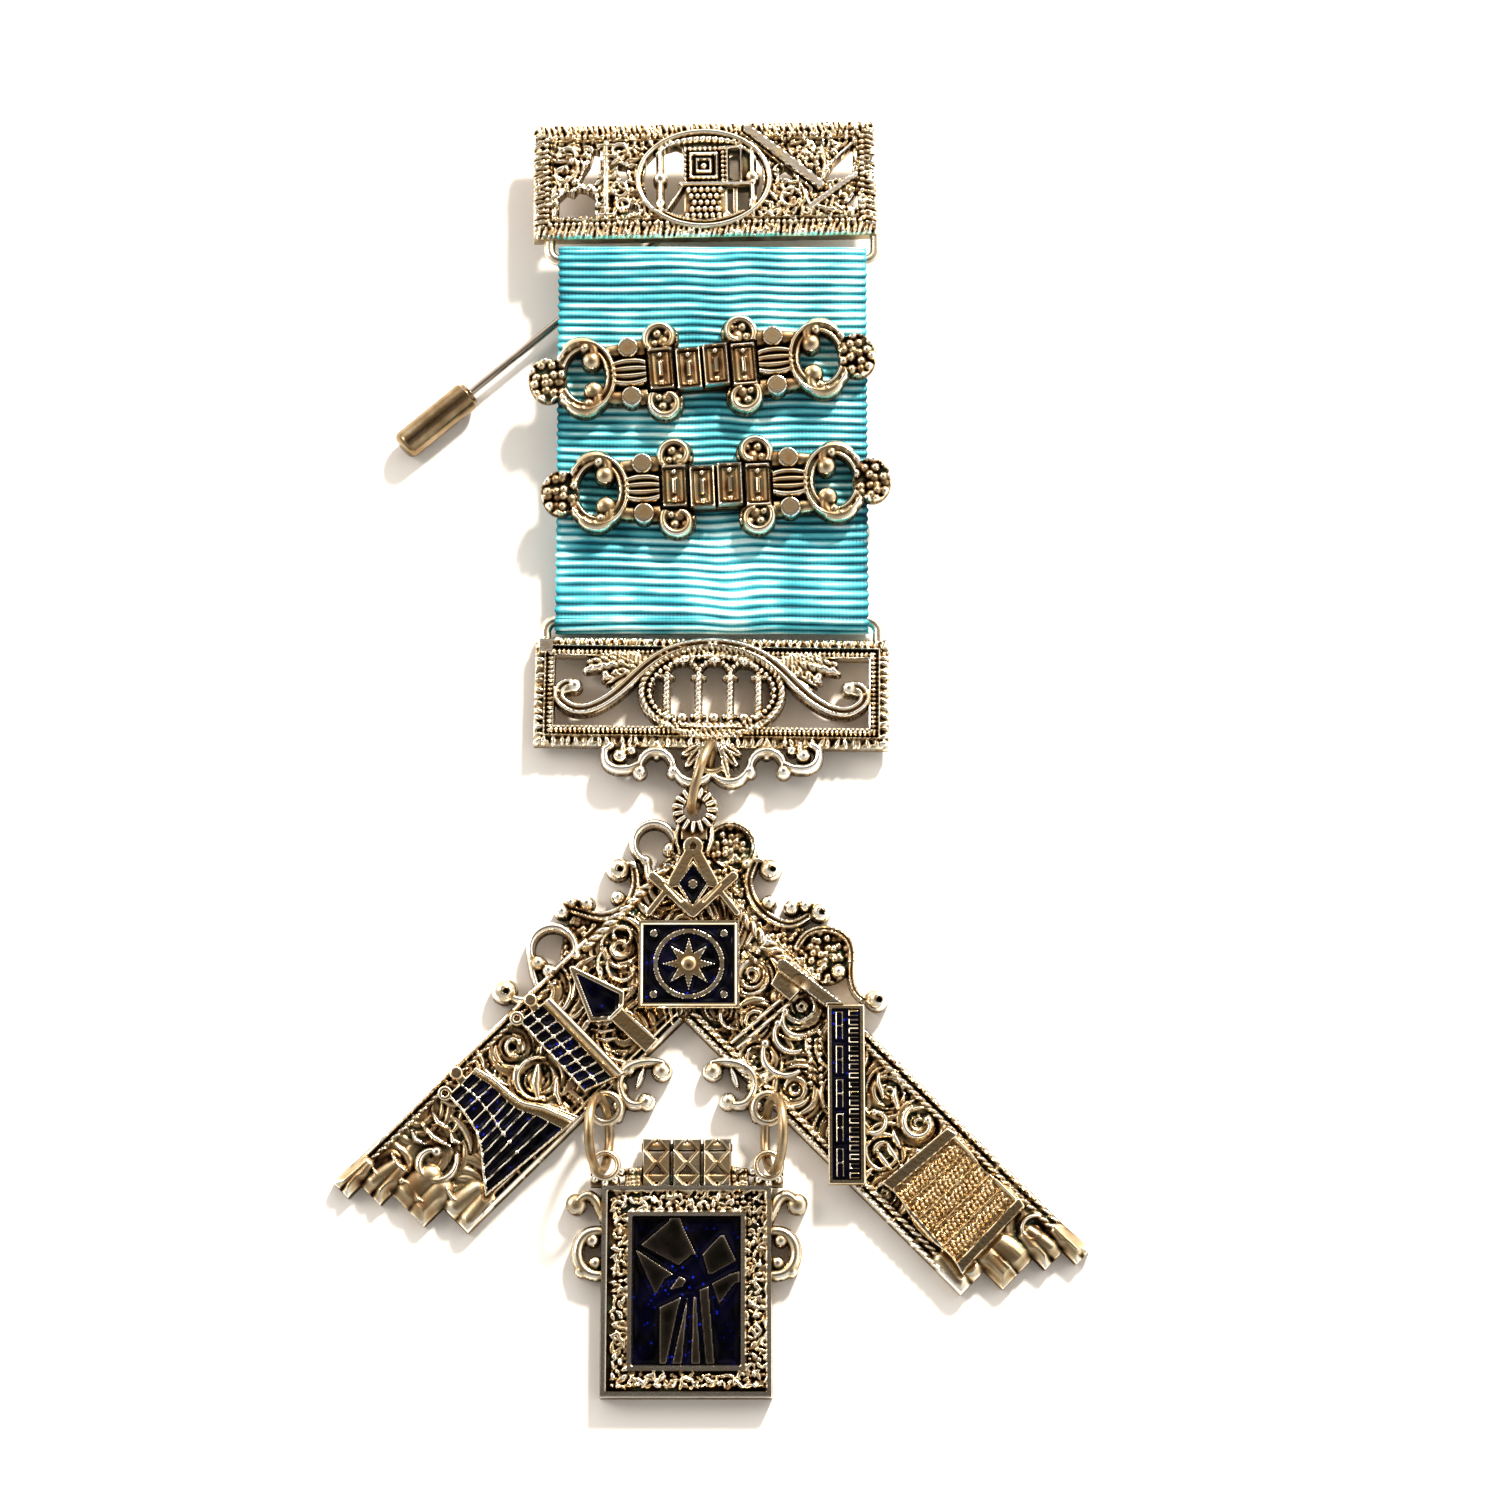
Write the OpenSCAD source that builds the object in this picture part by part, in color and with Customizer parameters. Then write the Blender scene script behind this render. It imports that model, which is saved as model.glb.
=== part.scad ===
/* [Ribbon] */
// Width of the ribbon
ribbon_w = 38; // [32:0.5:44]
// Length of the ribbon between its two wires
ribbon_len = 45.3; // [38:0.1:56]
// Thickness of one layer of the ribbon
ribbon_t = 1.0; // [0.8:0.05:1.2]
// Room between the two layers of the ribbon
layer_gap = 0.2; // [0.1:0.05:0.4]
// Room between a wire and the fold round it
fold_gap = 0.05; // [0.03:0.01:0.15]

/* [Staples] */
// Diameter of the wires that the ribbon folds round
staple_wire = 1.4; // [1:0.1:1.8]
// Room between the ribbon's edge and a leg of the wire
leg_gap = 0.4; // [0.2:0.1:1]
// Drop of the upper wire below the top bar
upper_drop = 2.8; // [2.2:0.1:4.5]
// Rise of the lower wire above the bottom bar
lower_rise = 2.4; // [2.2:0.1:4.5]
// Height of the upper wire's axis above the surface
upper_wire_z = 4.75; // [4.6:0.05:6]
// Height of the lower wire's axis above the surface
lower_wire_z = 1.9; // [1.85:0.05:2.6]

/* [Castings] */
// Thickness of a casting's pierced plate
plate_t = 1.6; // [1.2:0.1:2.2]
// Height of the relief on the two bars and the date bars
bar_relief = 0.8; // [0.5:0.1:1.2]
// Height of the relief on the square
square_relief = 0.6; // [0.4:0.1:0.8]
// Width of the rope along a bar's edge
rope_w = 1.5; // [1:0.1:1.9]

/* [Top bar] */
// How far the top bar reaches past the ribbon on each side
top_overhang = 2.2; // [1.9:0.1:6]
// Height of the top bar
top_bar_h = 15.1; // [13:0.1:18]
// Width of the top bar's frame
top_frame = 2.5; // [2:0.1:3]
// How far the top bar's middle lies left of the ribbon's
top_bar_shift = 1.0; // [0:0.1:1.4]
// Turn of the top bar in degrees
top_bar_turn = 1.0; // [0:0.1:2]

/* [Bottom bar] */
// How far the bottom bar reaches past the ribbon on each side
bottom_overhang = 2.3; // [1.9:0.1:6]
// Height of the bottom bar
bottom_bar_h = 13.5; // [12:0.1:16]
// Width of the bottom bar's frame
bottom_frame = 2.4; // [2:0.1:2.8]
// Depth of the crest that hangs below the bottom bar
crest_h = 4.6; // [4:0.1:6]
// Turn of the bottom bar in degrees
bottom_bar_turn = -0.7; // [-2:0.1:0]

/* [Date bars] */
// Length of a date bar
date_bar_w = 42.4; // [34:0.2:46]
// Height of a date bar over its scrolls
date_bar_h = 12.8; // [11:0.1:14]
// Place of the upper date bar up the ribbon from the lower wire
upper_date_y = 31.0; // [28:0.1:34]
// Place of the lower date bar up the ribbon from the lower wire
lower_date_y = 16.1; // [12:0.1:17]
// Turn of the upper date bar in degrees
upper_date_turn = 4.8; // [0:0.1:6]
// Turn of the lower date bar in degrees
lower_date_turn = 2.5; // [0:0.1:5]
// How far the upper date bar's middle lies right of the ribbon's
upper_date_shift = -1.2; // [-2:0.1:2]
// How far the lower date bar's middle lies right of the ribbon's
lower_date_shift = 0.5; // [-2:0.1:2]
// Room between a date bar and the ribbon
date_gap = 0.05; // [0.02:0.01:0.2]

/* [Jump rings] */
// Outer diameter of a jump ring
ring_od = 9.6; // [9:0.1:11]
// Diameter of a jump ring's wire
ring_wire = 1.1; // [0.8:0.05:1.2]
// Distance between the two eyes that a ring joins
ring_chord = 6.7; // [6.4:0.05:7]
// Height of the eyes above the surface
eye_z = 2.4; // [2.3:0.05:2.6]
// Lean of the two side rings in degrees
side_lean = 14; // [0:1:20]

/* [Square] */
// Width of the left arm
left_arm_w = 15.4; // [14:0.1:17]
// Width of the right arm
right_arm_w = 14.4; // [13.4:0.1:16]
// Length of the left arm's outer edge
left_arm_len = 56.8; // [52:0.2:66]
// Length of the right arm's outer edge
right_arm_len = 67.8; // [64:0.2:78]
// Width of the border along an arm's edges
arm_border = 1.3; // [0.9:0.1:1.6]
// Depth of the stepped end of an arm
stair_depth = 7; // [5:0.1:8]
// Reach of the outer scrollwork from the jewel's middle
scroll_reach = 22; // [20:0.2:24]
// Drop from the eyelet to the top of the square
neck_drop = 4.2; // [3.8:0.1:5]

/* [Emblems] */
// Thickness of the riveted emblems
emblem_t = 1.2; // [1:0.05:1.6]
// Depth of the enamel in an emblem
enamel_t = 0.5; // [0.3:0.05:0.6]
// Width of the metal rim round the enamel
rim_w = 0.7; // [0.5:0.05:0.9]
// Room between an emblem and what it is riveted to
seat_gap = 0.05; // [0.02:0.01:0.1]
// Room round a piece of enamel
enamel_gap = 0.03; // [0.02:0.01:0.05]
// Width of the badge
badge_w = 11.9; // [10.5:0.1:12.5]
// Height of the badge
badge_h = 10.5; // [9:0.1:11.5]
// Span of the compasses' legs
compasses_w = 10.4; // [9:0.1:11.5]
// Height of the compasses
compasses_h = 8.6; // [7.6:0.1:8.8]
// Width of the gauge
gauge_w = 4.3; // [3.6:0.1:5]
// Length of the gauge
gauge_h = 21.1; // [18:0.1:22]
// Length of the gavel's handle
gavel_len = 8.6; // [7:0.1:9.4]
// Width of the gavel's handle
gavel_w = 1.6; // [1.2:0.1:2]

/* [Drop plaque] */
// Width of the plaque
plaque_w = 19.9; // [18:0.1:22]
// Height of the plaque
plaque_h = 24.5; // [22:0.1:28]
// Thickness of the plaque at its frame
plaque_t = 2.5; // [2.2:0.1:3]
// Width of the plaque's outer frame
frame_w = 0.8; // [0.6:0.05:1]
// Width of the pebbled band inside the frame
band_w = 2.2; // [1.8:0.1:2.6]
// Depth of the plaque's sunk panel below its frame
panel_depth = 0.9; // [0.6:0.05:1.2]
// Distance between the plaque's two eyes
eye_spacing = 19; // [17:0.1:21]
// Height of the pierced crown between the eyes
crown_h = 5.6; // [4.6:0.1:6.2]

/* [Brooch pin] */
// Diameter of the pin
pin_d = 1.0; // [0.8:0.05:1.1]
// Length of the pin from its pivot to its point
pin_len = 52; // [49:0.5:56]
// Turn of the pin below the bar, in degrees
pin_turn = 41.2; // [38:0.1:43]
// Height of the pin's axis above the surface
pin_z = 1.9; // [1.85:0.05:1.95]
// Diameter of the guard on the pin's point
guard_d = 3.7; // [3:0.1:3.7]
// Length of the guard
guard_len = 10.8; // [9:0.1:12]
// Distance from the pivot to the guard
guard_start = 43.8; // [42:0.1:45]
// Room round the pin in the guard and round the rivet in the pin's eye
running_gap = 0.06; // [0.04:0.01:0.1]
// Distance from the top bar's middle to the pivot, to the right
pivot_x = 4.2; // [2:0.1:6]
// Distance from the top bar's middle to the pivot, upwards
pivot_y = 2.2; // [0:0.1:4]

/* [Hidden] */

// Colours of the cast metal, the pin, the ribbon and the enamel
metal = "#C8B48E";
steel = "#8E867B";
silk = "#79C8D0";
enamel_blue = "#14165A";

// Depth by which two shapes of one casting run into each other
bite = 0.1;

top_bar_w = ribbon_w + 2 * top_overhang;
bottom_bar_w = ribbon_w + 2 * bottom_overhang;

// Places down the middle, with the bottom bar's middle at zero
lower_wire_y = bottom_bar_h / 2 + lower_rise;
upper_wire_y = lower_wire_y + ribbon_len;
top_bar_y = upper_wire_y + upper_drop + top_bar_h / 2;
ring_mean_r = (ring_od - ring_wire) / 2;
crest_loop_r = 1.8;
crest_loop_drop = 1.2;
crest_loop = [0, -bottom_bar_h / 2 - crest_loop_drop];
crest_loop_tube = 0.4;
top_ring_turn = 17;
top_ring_lean = 3;
eyelet = crest_loop + ring_chord * [-sin(top_ring_turn), -cos(top_ring_turn)];
eyelet_r = 1.9;
eyelet_tube = 0.55;

// The square hangs from its eyelet: this is the top of its middle line
head = eyelet + [-0.2, -neck_drop];
apex_shift = -1.7;
arm_apex = head + [apex_shift, 0];
inner_shift = -0.6;
inner_axis = head[0] + inner_shift;
side_loop_r = 1.7;
side_loop_tube = 0.45;
side_loop_drop = 31.6;
side_loop_y = head[1] - side_loop_drop;
plaque_eye_y = side_loop_y - ring_chord;
plaque_eye_r = 1.5;
plaque_eye_tube = 0.35;
plaque_eye_rise = 2.2;
plaque_top = plaque_eye_y - plaque_eye_rise;
plaque_y = plaque_top - plaque_h / 2;

// Levels above the surface
top_back = upper_wire_z - staple_wire / 2 - bite;
bottom_back = lower_wire_z - staple_wire / 2 - bite;
square_plate = plate_t;
emblem_z = square_plate + square_relief + seat_gap;
emblem_top = emblem_z + emblem_t;
panel_z = plaque_t - panel_depth;

// Slope of the ribbon from the lower wire up to the upper one
wire_climb = upper_wire_z - lower_wire_z;
ribbon_slope = atan(wire_climb / ribbon_len);
ribbon_run = norm([ribbon_len, wire_climb]);
fold_r = staple_wire / 2 + fold_gap + ribbon_t;
half_thick = ribbon_t + layer_gap / 2;

// The whole jewel is moved so that its box has its middle over the origin
left_tip = arm_apex[0] - left_arm_len / sqrt(2);
right_tip = arm_apex[0] + right_arm_len / sqrt(2);
half_turn_rise = (top_bar_w * sin(top_bar_turn) + top_bar_h * cos(top_bar_turn)) / 2;
top_edge = top_bar_y + half_turn_rise;
low_edge = min(plaque_top - plaque_h, arm_apex[1] - (right_arm_len - stair_depth + right_arm_w) / sqrt(2));
to_origin = [-(left_tip + right_tip) / 2, -(top_edge + low_edge) / 2, 0];

// Unit vector along v, and v turned a quarter turn to the left
function unit(v) = v / norm(v);
function left_of(v) = [-v[1], v[0]];
function mix(a, b, t) = a + (b - a) * t;

// Points on a spiral about c whose radius runs from r0 to r1 as the angle runs from a0 to a1
function spiral(c, r0, r1, a0, a1, n = 14) =
    [for (i = [0:n]) let (t = i / n, a = mix(a0, a1, t)) c + mix(r0, r1, t) * [cos(a), sin(a)]];

// Points on a cubic curve from p0 to p3
function curve(p0, p1, p2, p3, n = 14) =
    [for (i = [0:n]) let (t = i / n, s = 1 - t)
        s * s * s * p0 + 3 * s * s * t * p1 + 3 * s * t * t * p2 + t * t * t * p3];

// Point at share u along a line of corners
function along(corners, u) =
    let (k = min(floor(u * (len(corners) - 1)), len(corners) - 2), f = u * (len(corners) - 1) - k)
    mix(corners[k], corners[k + 1], f);

// Flat band along points, wide w0 at its start, wm in its middle and w1 at its end
module band(pts, w0, wm, w1) {
    n = len(pts) - 1;
    function half(i) = let (s = sin(180 * i / n), w = i / n < 0.5 ? w0 : w1) (w + (wm - w) * s) / 2;
    function across(i) = left_of(unit(pts[min(i + 1, n)] - pts[max(i - 1, 0)]));
    polygon(concat([for (i = [0:n]) pts[i] + across(i) * half(i)],
                   [for (i = [n:-1:0]) pts[i] - across(i) * half(i)]));
}

// Scroll: a spiral band that ends in a round ball
module scroll(c, r0, r1, a0, a1, w, ball) {
    pts = spiral(c, r0, r1, a0, a1);
    band(pts, w * 0.7, w, w * 0.6);
    translate(pts[len(pts) - 1]) circle(ball, $fn = 16);
}

// Layer of a casting: a flat shape raised from one level to another
module layer(z0, z1) translate([0, 0, z0]) linear_extrude(z1 - z0) offset(delta = 0) children();

module box2(w, h) square([w, h], center = true);

module oval(rx, ry) scale([rx, ry]) circle(1, $fn = 48);

module oval_ring(rx, ry, w) difference() {
    oval(rx, ry);
    oval(rx - w, ry - w);
}

module frame2(w, h, t) difference() {
    box2(w, h);
    box2(w - 2 * t, h - 2 * t);
}

// Small pillar: a shaft with a wide foot and head
module pillar(h, w) {
    box2(w, h);
    for (s = [-1, 1]) translate([0, s * (h / 2 - w / 3)]) box2(w * 2, w * 0.7);
}

// Round eye with a round rim, lying flat
module eye(c, r, tube) translate([c[0], c[1], eye_z])
    rotate_extrude($fn = 48) translate([r, 0]) circle(tube, $fn = 24);

// Wire staple: two legs and a cross wire joined by quarter bends, out of a bar's edge
module staple(depth, z) {
    r = staple_wire / 2;
    bend = 1.4;
    half = ribbon_w / 2 + leg_gap + r;
    translate([0, 0, z]) {
        translate([-half + bend, -depth, 0]) rotate([0, 90, 0])
            cylinder(r = r, h = 2 * (half - bend), $fn = 32);
        for (s = [0, 1]) mirror([s, 0, 0]) {
            translate([half, bend - depth, 0]) rotate([-90, 0, 0])
                cylinder(r = r, h = depth - bend + 1.8, $fn = 32);
            translate([half - bend, bend - depth, 0]) rotate([0, 0, -90]) rotate_extrude(angle = 90, $fn = 48)
                translate([bend, 0]) circle(r, $fn = 32);
        }
    }
}

// Top bar: pierced field with a column at the left, a building in the oval and a level at the right
oval_x = -0.5;
top_oval = [8.6, top_bar_h / 2 - 0.8];
top_oval_rim = 0.9;
// Blocks of the building in the oval: x, y, width, height
building = [[0.1, 1.6, 5.4, 4.8], [0.6, -0.9, 8.6, 0.8], [-0.1, -3, 4.4, 5]];
// Posts beside the building: distance from its middle, width, radius of the knob
post = [5.5, 0.8, 0.9];

// Corners of the window at the right: distance in from the frame, and y
corner_window = [[4.4, 1.6], [0.4, 4.4], [0.4, 0.2], [3.6, 0]];
// Distance of the left field's column from the frame
column_in = 4.4;

module top_bar_piercing() {
    inner_h = top_bar_h - 2 * top_frame;
    left = -top_bar_w / 2 + top_frame;
    // Shares of the inner height and of the field beside the oval: x, y, width, height
    left_windows = [[0.16, -0.28, 0.34, 0.40], [0.26, 0.14, 0.20, 0.34], [0.72, 0.16, 0.16, 0.30],
                    [0.86, -0.34, 0.12, 0.18]];
    right_windows = [[0.12, 0.08, 0.10, 0.28], [0.34, 0.22, 0.14, 0.16]];
    field = top_bar_w / 2 - top_frame - top_oval[0];
    for (w = left_windows)
        translate([left + 0.5 + w[0] * (field + oval_x), w[1] * inner_h])
            oval(w[2] * field / 2, w[3] * inner_h / 2);
    for (w = right_windows)
        translate([oval_x + top_oval[0] + w[0] * (field - oval_x), w[1] * inner_h])
            oval(w[2] * field / 2, w[3] * inner_h / 2);
    right = top_bar_w / 2 - top_frame;
    polygon([for (c = corner_window) [right - c[0], c[1]]]);
}

module top_oval_field() {
    top = top_oval[1];
    difference() {
        oval(top_oval[0] - 0.5, top_oval[1] - 0.5);
        difference() {
            oval(top_oval[0] - 1, top_oval[1] - 1);
            for (s = [-1, 1]) translate([s * post[0], 0]) {
                box2(post[1], 2 * top);
                circle(post[2], $fn = 16);
            }
            for (q = building) translate([q[0], q[1]]) box2(q[2], q[3]);
            translate([0, top]) box2(1.4 * top_oval[0], 0.4 * top);
        }
    }
}

module top_bar_relief() {
    frame2(top_bar_w, top_bar_h, rope_w);
    translate([oval_x, 0]) {
        oval_ring(top_oval[0], top_oval[1], top_oval_rim);
        hall = building[0];
        translate([hall[0], hall[1]]) {
            frame2(hall[2] - 0.6, hall[3] - 0.6, 0.7);
            box2(hall[2] / 3, hall[3] * 0.3);
        }
        pedestal = building[2];
        translate([pedestal[0], pedestal[1]]) box2(0.6 * pedestal[2], 0.68 * pedestal[3]);
    }
    translate([-top_bar_w / 2 + top_frame + column_in, 0]) pillar(top_bar_h - 2 * rope_w, 1);
    // Tools at the right: start x, start y, end x, end y, width
    tools = [[top_oval[0] - 2.6, top_bar_h / 2 - 0.6, 13.6, 0.2, 1.1], [13, 0.6, 13.9, -1.6, 0.9],
             [13.9, -1.4, 17.6, 3.2, 1]];
    for (q = tools) band([[q[0], q[1]], [q[2], q[3]]], q[4], q[4], q[4]);
}

module top_bar() color(metal) translate(to_origin) {
    translate([-top_bar_shift, top_bar_y, 0]) rotate([0, 0, top_bar_turn]) {
        layer(top_back, top_back + plate_t) {
            difference() {
                box2(top_bar_w, top_bar_h);
                top_bar_piercing();
                translate([oval_x, 0]) oval(top_oval[0] - 0.5, top_oval[1] - 0.5);
            }
            translate([oval_x, 0]) top_oval_field();
        }
        layer(top_back + plate_t, top_back + plate_t + bar_relief) top_bar_relief();
        // Rivet that the pin swivels on, with its head on the surface and a washer above the pin
        washer_z = pin_z + pin_d / 2 + running_gap;
        translate([pivot_x, pivot_y, 0]) {
            cylinder(r = rivet_r, h = top_back + bite, $fn = 32);
            cylinder(r = rivet_head_r, h = pin_z - pin_d / 2 - running_gap, $fn = 32);
            translate([0, 0, washer_z])
            cylinder(r = rivet_head_r + bite, h = top_back + bite - washer_z, $fn = 32);
        }
    }
    translate([0, upper_wire_y + upper_drop, 0]) staple(upper_drop, upper_wire_z);
}

rivet_r = 0.6;
rivet_head_r = 1.6;
pin_eye_r = 1.5;

// Where the rivet stands, and the way that the pin points from it
pivot = [-top_bar_shift + pivot_x * cos(top_bar_turn) - pivot_y * sin(top_bar_turn),
         top_bar_y + pivot_x * sin(top_bar_turn) + pivot_y * cos(top_bar_turn)];
module on_pin()
    translate(to_origin) translate([pivot[0], pivot[1], pin_z]) rotate([0, 0, 180 + pin_turn]) children();

module brooch_pin() color(steel) on_pin() {
    point = 3;
    difference() {
        union() {
            translate([0, 0, -pin_d / 2]) cylinder(r = pin_eye_r, h = pin_d, $fn = 32);
            rotate([0, 90, 0]) cylinder(r = pin_d / 2, h = pin_len - point, $fn = 32);
            translate([pin_len - point, 0, 0]) rotate([0, 90, 0])
                cylinder(r1 = pin_d / 2, r2 = 0.08, h = point, $fn = 32);
        }
        translate([0, 0, -pin_d]) cylinder(r = rivet_r + running_gap, h = 2 * pin_d, $fn = 32);
    }
}

// Guard: a round barrel with a domed end, bored for the pin
module pin_guard() color(metal) on_pin() translate([guard_start, 0, 0]) rotate([0, 90, 0]) {
    r = guard_d / 2;
    dome = 0.9;
    collar = 0.5;
    collar_step = 0.35;
    bore_len = pin_len - guard_start + 0.5;
    difference() {
        rotate_extrude($fn = 48) union() {
            translate([0, collar]) square([r, guard_len - dome - collar]);
            square([r - collar_step, collar + bite]);
            translate([0, guard_len - dome]) square([r - dome, dome]);
            intersection() {
                translate([r - dome, guard_len - dome]) circle(dome, $fn = 32);
                square([r, guard_len]);
            }
        }
        translate([0, 0, -bite]) cylinder(r = pin_d / 2 + running_gap, h = bore_len + bite, $fn = 32);
    }
}

// Ribbon: one loop, seen from its edge, folded round both wires
module ribbon_loop(shrink) {
    r = fold_r - shrink;
    h = half_thick - shrink;
    taper = 7;
    for (s = [0, 1]) translate([s * ribbon_run, 0]) mirror([s, 0]) {
        circle(r, $fn = 40);
        edge = [for (i = [0:10]) [taper * i / 10, mix(r, h, (1 - cos(18 * i)) / 2)]];
        polygon(concat(edge, [for (i = [10:-1:0]) [edge[i][0], -edge[i][1]]]));
    }
    translate([taper - bite, -h]) square([ribbon_run - 2 * taper + 2 * bite, 2 * h]);
}

module on_ribbon() translate(to_origin) translate([0, lower_wire_y, lower_wire_z])
    rotate([ribbon_slope, 0, 0]) children();

module ribbon() color(silk) on_ribbon()
    translate([-ribbon_w / 2, 0, 0]) rotate([90, 0, 90])
        linear_extrude(ribbon_w) offset(delta = 0) difference() {
        ribbon_loop(0);
        ribbon_loop(ribbon_t);
    }

// Date bar: a block of plain cells between sheaves, open rings and shells, in shares of its half width
// for x and of its half height for y
date_cup = [0.224, 0.625, 0.092, 0.29];
date_disc = [0.417, 0.484, 0.2];
date_ring = [0.675, 0.191, 0.75, 0.22];
date_hook = [0.63, 0.3, 0.17];
date_block = [0.646, 0.875];
date_cells = 4;

module date_bar_shape() {
    a = date_bar_w / 2;
    b = date_bar_h / 2;
    function at(x, y) = [x * a, y * b];
    box2(date_block[0] * a, date_block[1] * b);
    for (s = [0, 1], t = [0, 1]) mirror([s, 0]) mirror([0, t]) {
        cup = at(date_cup[0], date_cup[1]);
        translate(cup) oval(date_cup[2] * a, date_cup[3] * b);
        scroll(cup, 0.28 * b, 0.13 * b, -40, 290, 0.19 * b, 0.13 * b);
        disc = at(date_disc[0], date_disc[1]);
        translate(disc) circle(date_disc[2] * b, $fn = 24);
        band([at(0.29, 0.5), disc], 0.29 * b, 0.31 * b, 0.29 * b);
        band([disc, at(0.54, 0.45)], 0.24 * b, 0.25 * b, 0.22 * b);
        hook = at(date_hook[0], date_hook[1]);
        band(curve(at(0.75, 0.55), at(0.708, 0.7), at(0.6, 0.64), hook, 8), 0.17 * b, 0.2 * b, 0.17 * b);
        translate(hook) circle(date_hook[2] * b, $fn = 20);
    }
    for (s = [0, 1]) mirror([s, 0]) {
        translate([date_disc[0] * a, 0]) box2(0.217 * a, 0.547 * b);
        translate([date_ring[0] * a, 0]) oval_ring(date_ring[1] * a, date_ring[2] * b, date_ring[3] * b);
        translate([0.89 * a, 0]) oval(0.11 * a, 0.42 * b);
    }
}

module date_bar_relief() {
    a = date_bar_w / 2;
    b = date_bar_h / 2;
    cell = date_block[0] * a / date_cells;
    for (i = [0:date_cells - 1]) translate([(i - (date_cells - 1) / 2) * cell, 0]) {
        frame2(cell - 0.3, (date_block[1] - 0.09) * b, 0.6);
        box2(0.7, 0.26 * b);
    }
    for (s = [0, 1]) mirror([s, 0]) {
        for (k = [-1:1]) translate([date_disc[0] * a, k * 0.17 * b]) box2(0.18 * a, 0.11 * b);
        for (t = [-1, 1]) {
            translate([date_disc[0] * a, t * date_disc[1] * b])
                circle((date_disc[2] - 0.03) * b, $fn = 24);
            translate([date_hook[0] * a, t * date_hook[1] * b])
                circle((date_hook[2] - 0.03) * b, $fn = 20);
        }
        translate([date_ring[0] * a, 0])
            oval_ring((date_ring[1] - 0.007) * a, (date_ring[2] - 0.03) * b, 0.15 * b);
        for (k = [-1:1]) translate([0.925 * a, k * 0.17 * b]) circle(0.11 * b, $fn = 16);
        translate([0.86 * a, 0]) circle(0.14 * b, $fn = 16);
    }
}

module date_bar(y, turn, shift) color(metal) on_ribbon()
    translate([shift, y, half_thick + date_gap]) rotate([0, 0, turn]) {
        layer(0, plate_t) date_bar_shape();
        layer(plate_t, plate_t + bar_relief) date_bar_relief();
    }

module date_bar_upper() date_bar(upper_date_y, upper_date_turn, upper_date_shift);
module date_bar_lower() date_bar(lower_date_y, lower_date_turn, lower_date_shift);

// Bottom bar: a rope frame, an arch of two long scrolls over an oval, and a crest below
bottom_oval = [8.9, bottom_bar_h / 2 - 0.9];
pillar_places = [-5.4, -1.6, 2.2, 5.6];

function arch_scroll() =
    let (a = bottom_bar_w / 2, b = bottom_bar_h / 2)
    concat(curve([0, 0.86 * b], [-0.3 * a, 0.84 * b], [-0.38 * a, 0.26 * b], [-0.6 * a, -0.16 * b], 10),
           curve([-0.64 * a, -0.22 * b], [-0.74 * a, -0.46 * b], [-0.86 * a, -0.4 * b],
                 [-0.84 * a, 0.02 * b], 8));

module arch_scrolls(w) for (s = [0, 1]) mirror([s, 0]) {
    pts = arch_scroll();
    band(pts, w, w * 1.1, w * 0.8);
    translate(pts[len(pts) - 1]) circle(w * 0.75, $fn = 16);
}

module leaf_sprays(w) for (s = [0, 1]) mirror([s, 0]) {
    a = bottom_bar_w / 2;
    b = bottom_bar_h / 2;
    root = [-0.36 * a, 0.46 * b];
    for (tip = [[-0.74, 0.50], [-0.76, 0.34], [-0.66, 0.18]])
        band(curve(root, root + [-2, 0.6], [tip[0] * a + 2, tip[1] * b + 0.4], [tip[0] * a, tip[1] * b], 6),
             w, w * 1.3, w * 0.4);
}

module bottom_field() {
    b = bottom_bar_h / 2;
    oval_ring(bottom_oval[0], bottom_oval[1], 1.2);
    arch_scrolls(1.3);
    leaf_sprays(0.8);
    intersection() {
        oval(bottom_oval[0], bottom_oval[1]);
        union() {
            for (x = pillar_places) translate([x, 0]) box2(1.1, 2 * b);
            translate([0, -0.5 * b]) box2(2 * bottom_oval[0], 0.18 * b);
            translate([0, 0.72 * b]) box2(2 * bottom_oval[0], 0.3 * b);
        }
    }
}

// Scrolls of the crest: x, then shares of its depth for y, start radius and end radius, then start
// and end angle
crest_scrolls = [[10.4, -0.26, 0.42, 0.36, 20, -200], [6.2, -0.36, 0.36, 0.34, -10, 200]];
crest_scroll_w = 0.9;
crest_ball = [8.6, -0.62];
crest_ball_r = 0.7;
crest_link = [4.2, -0.44];

module crest_shape() {
    h = crest_h;
    ball = [crest_ball[0], crest_ball[1] * h];
    link = [crest_link[0], crest_link[1] * h];
    for (s = [0, 1]) mirror([s, 0]) translate([0, -bottom_bar_h / 2]) {
        for (q = crest_scrolls)
            scroll([q[0], q[1] * h], q[2] * h, q[3] * h, q[4], q[5], crest_scroll_w, 0.6);
        translate(ball) circle(crest_ball_r, $fn = 16);
        band([ball, [ball[0] + 1, 2 * bite]], crest_scroll_w, crest_scroll_w, crest_scroll_w);
        band([link, [link[0], 3 * bite]], crest_scroll_w, crest_scroll_w, crest_scroll_w);
    }
}

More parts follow.
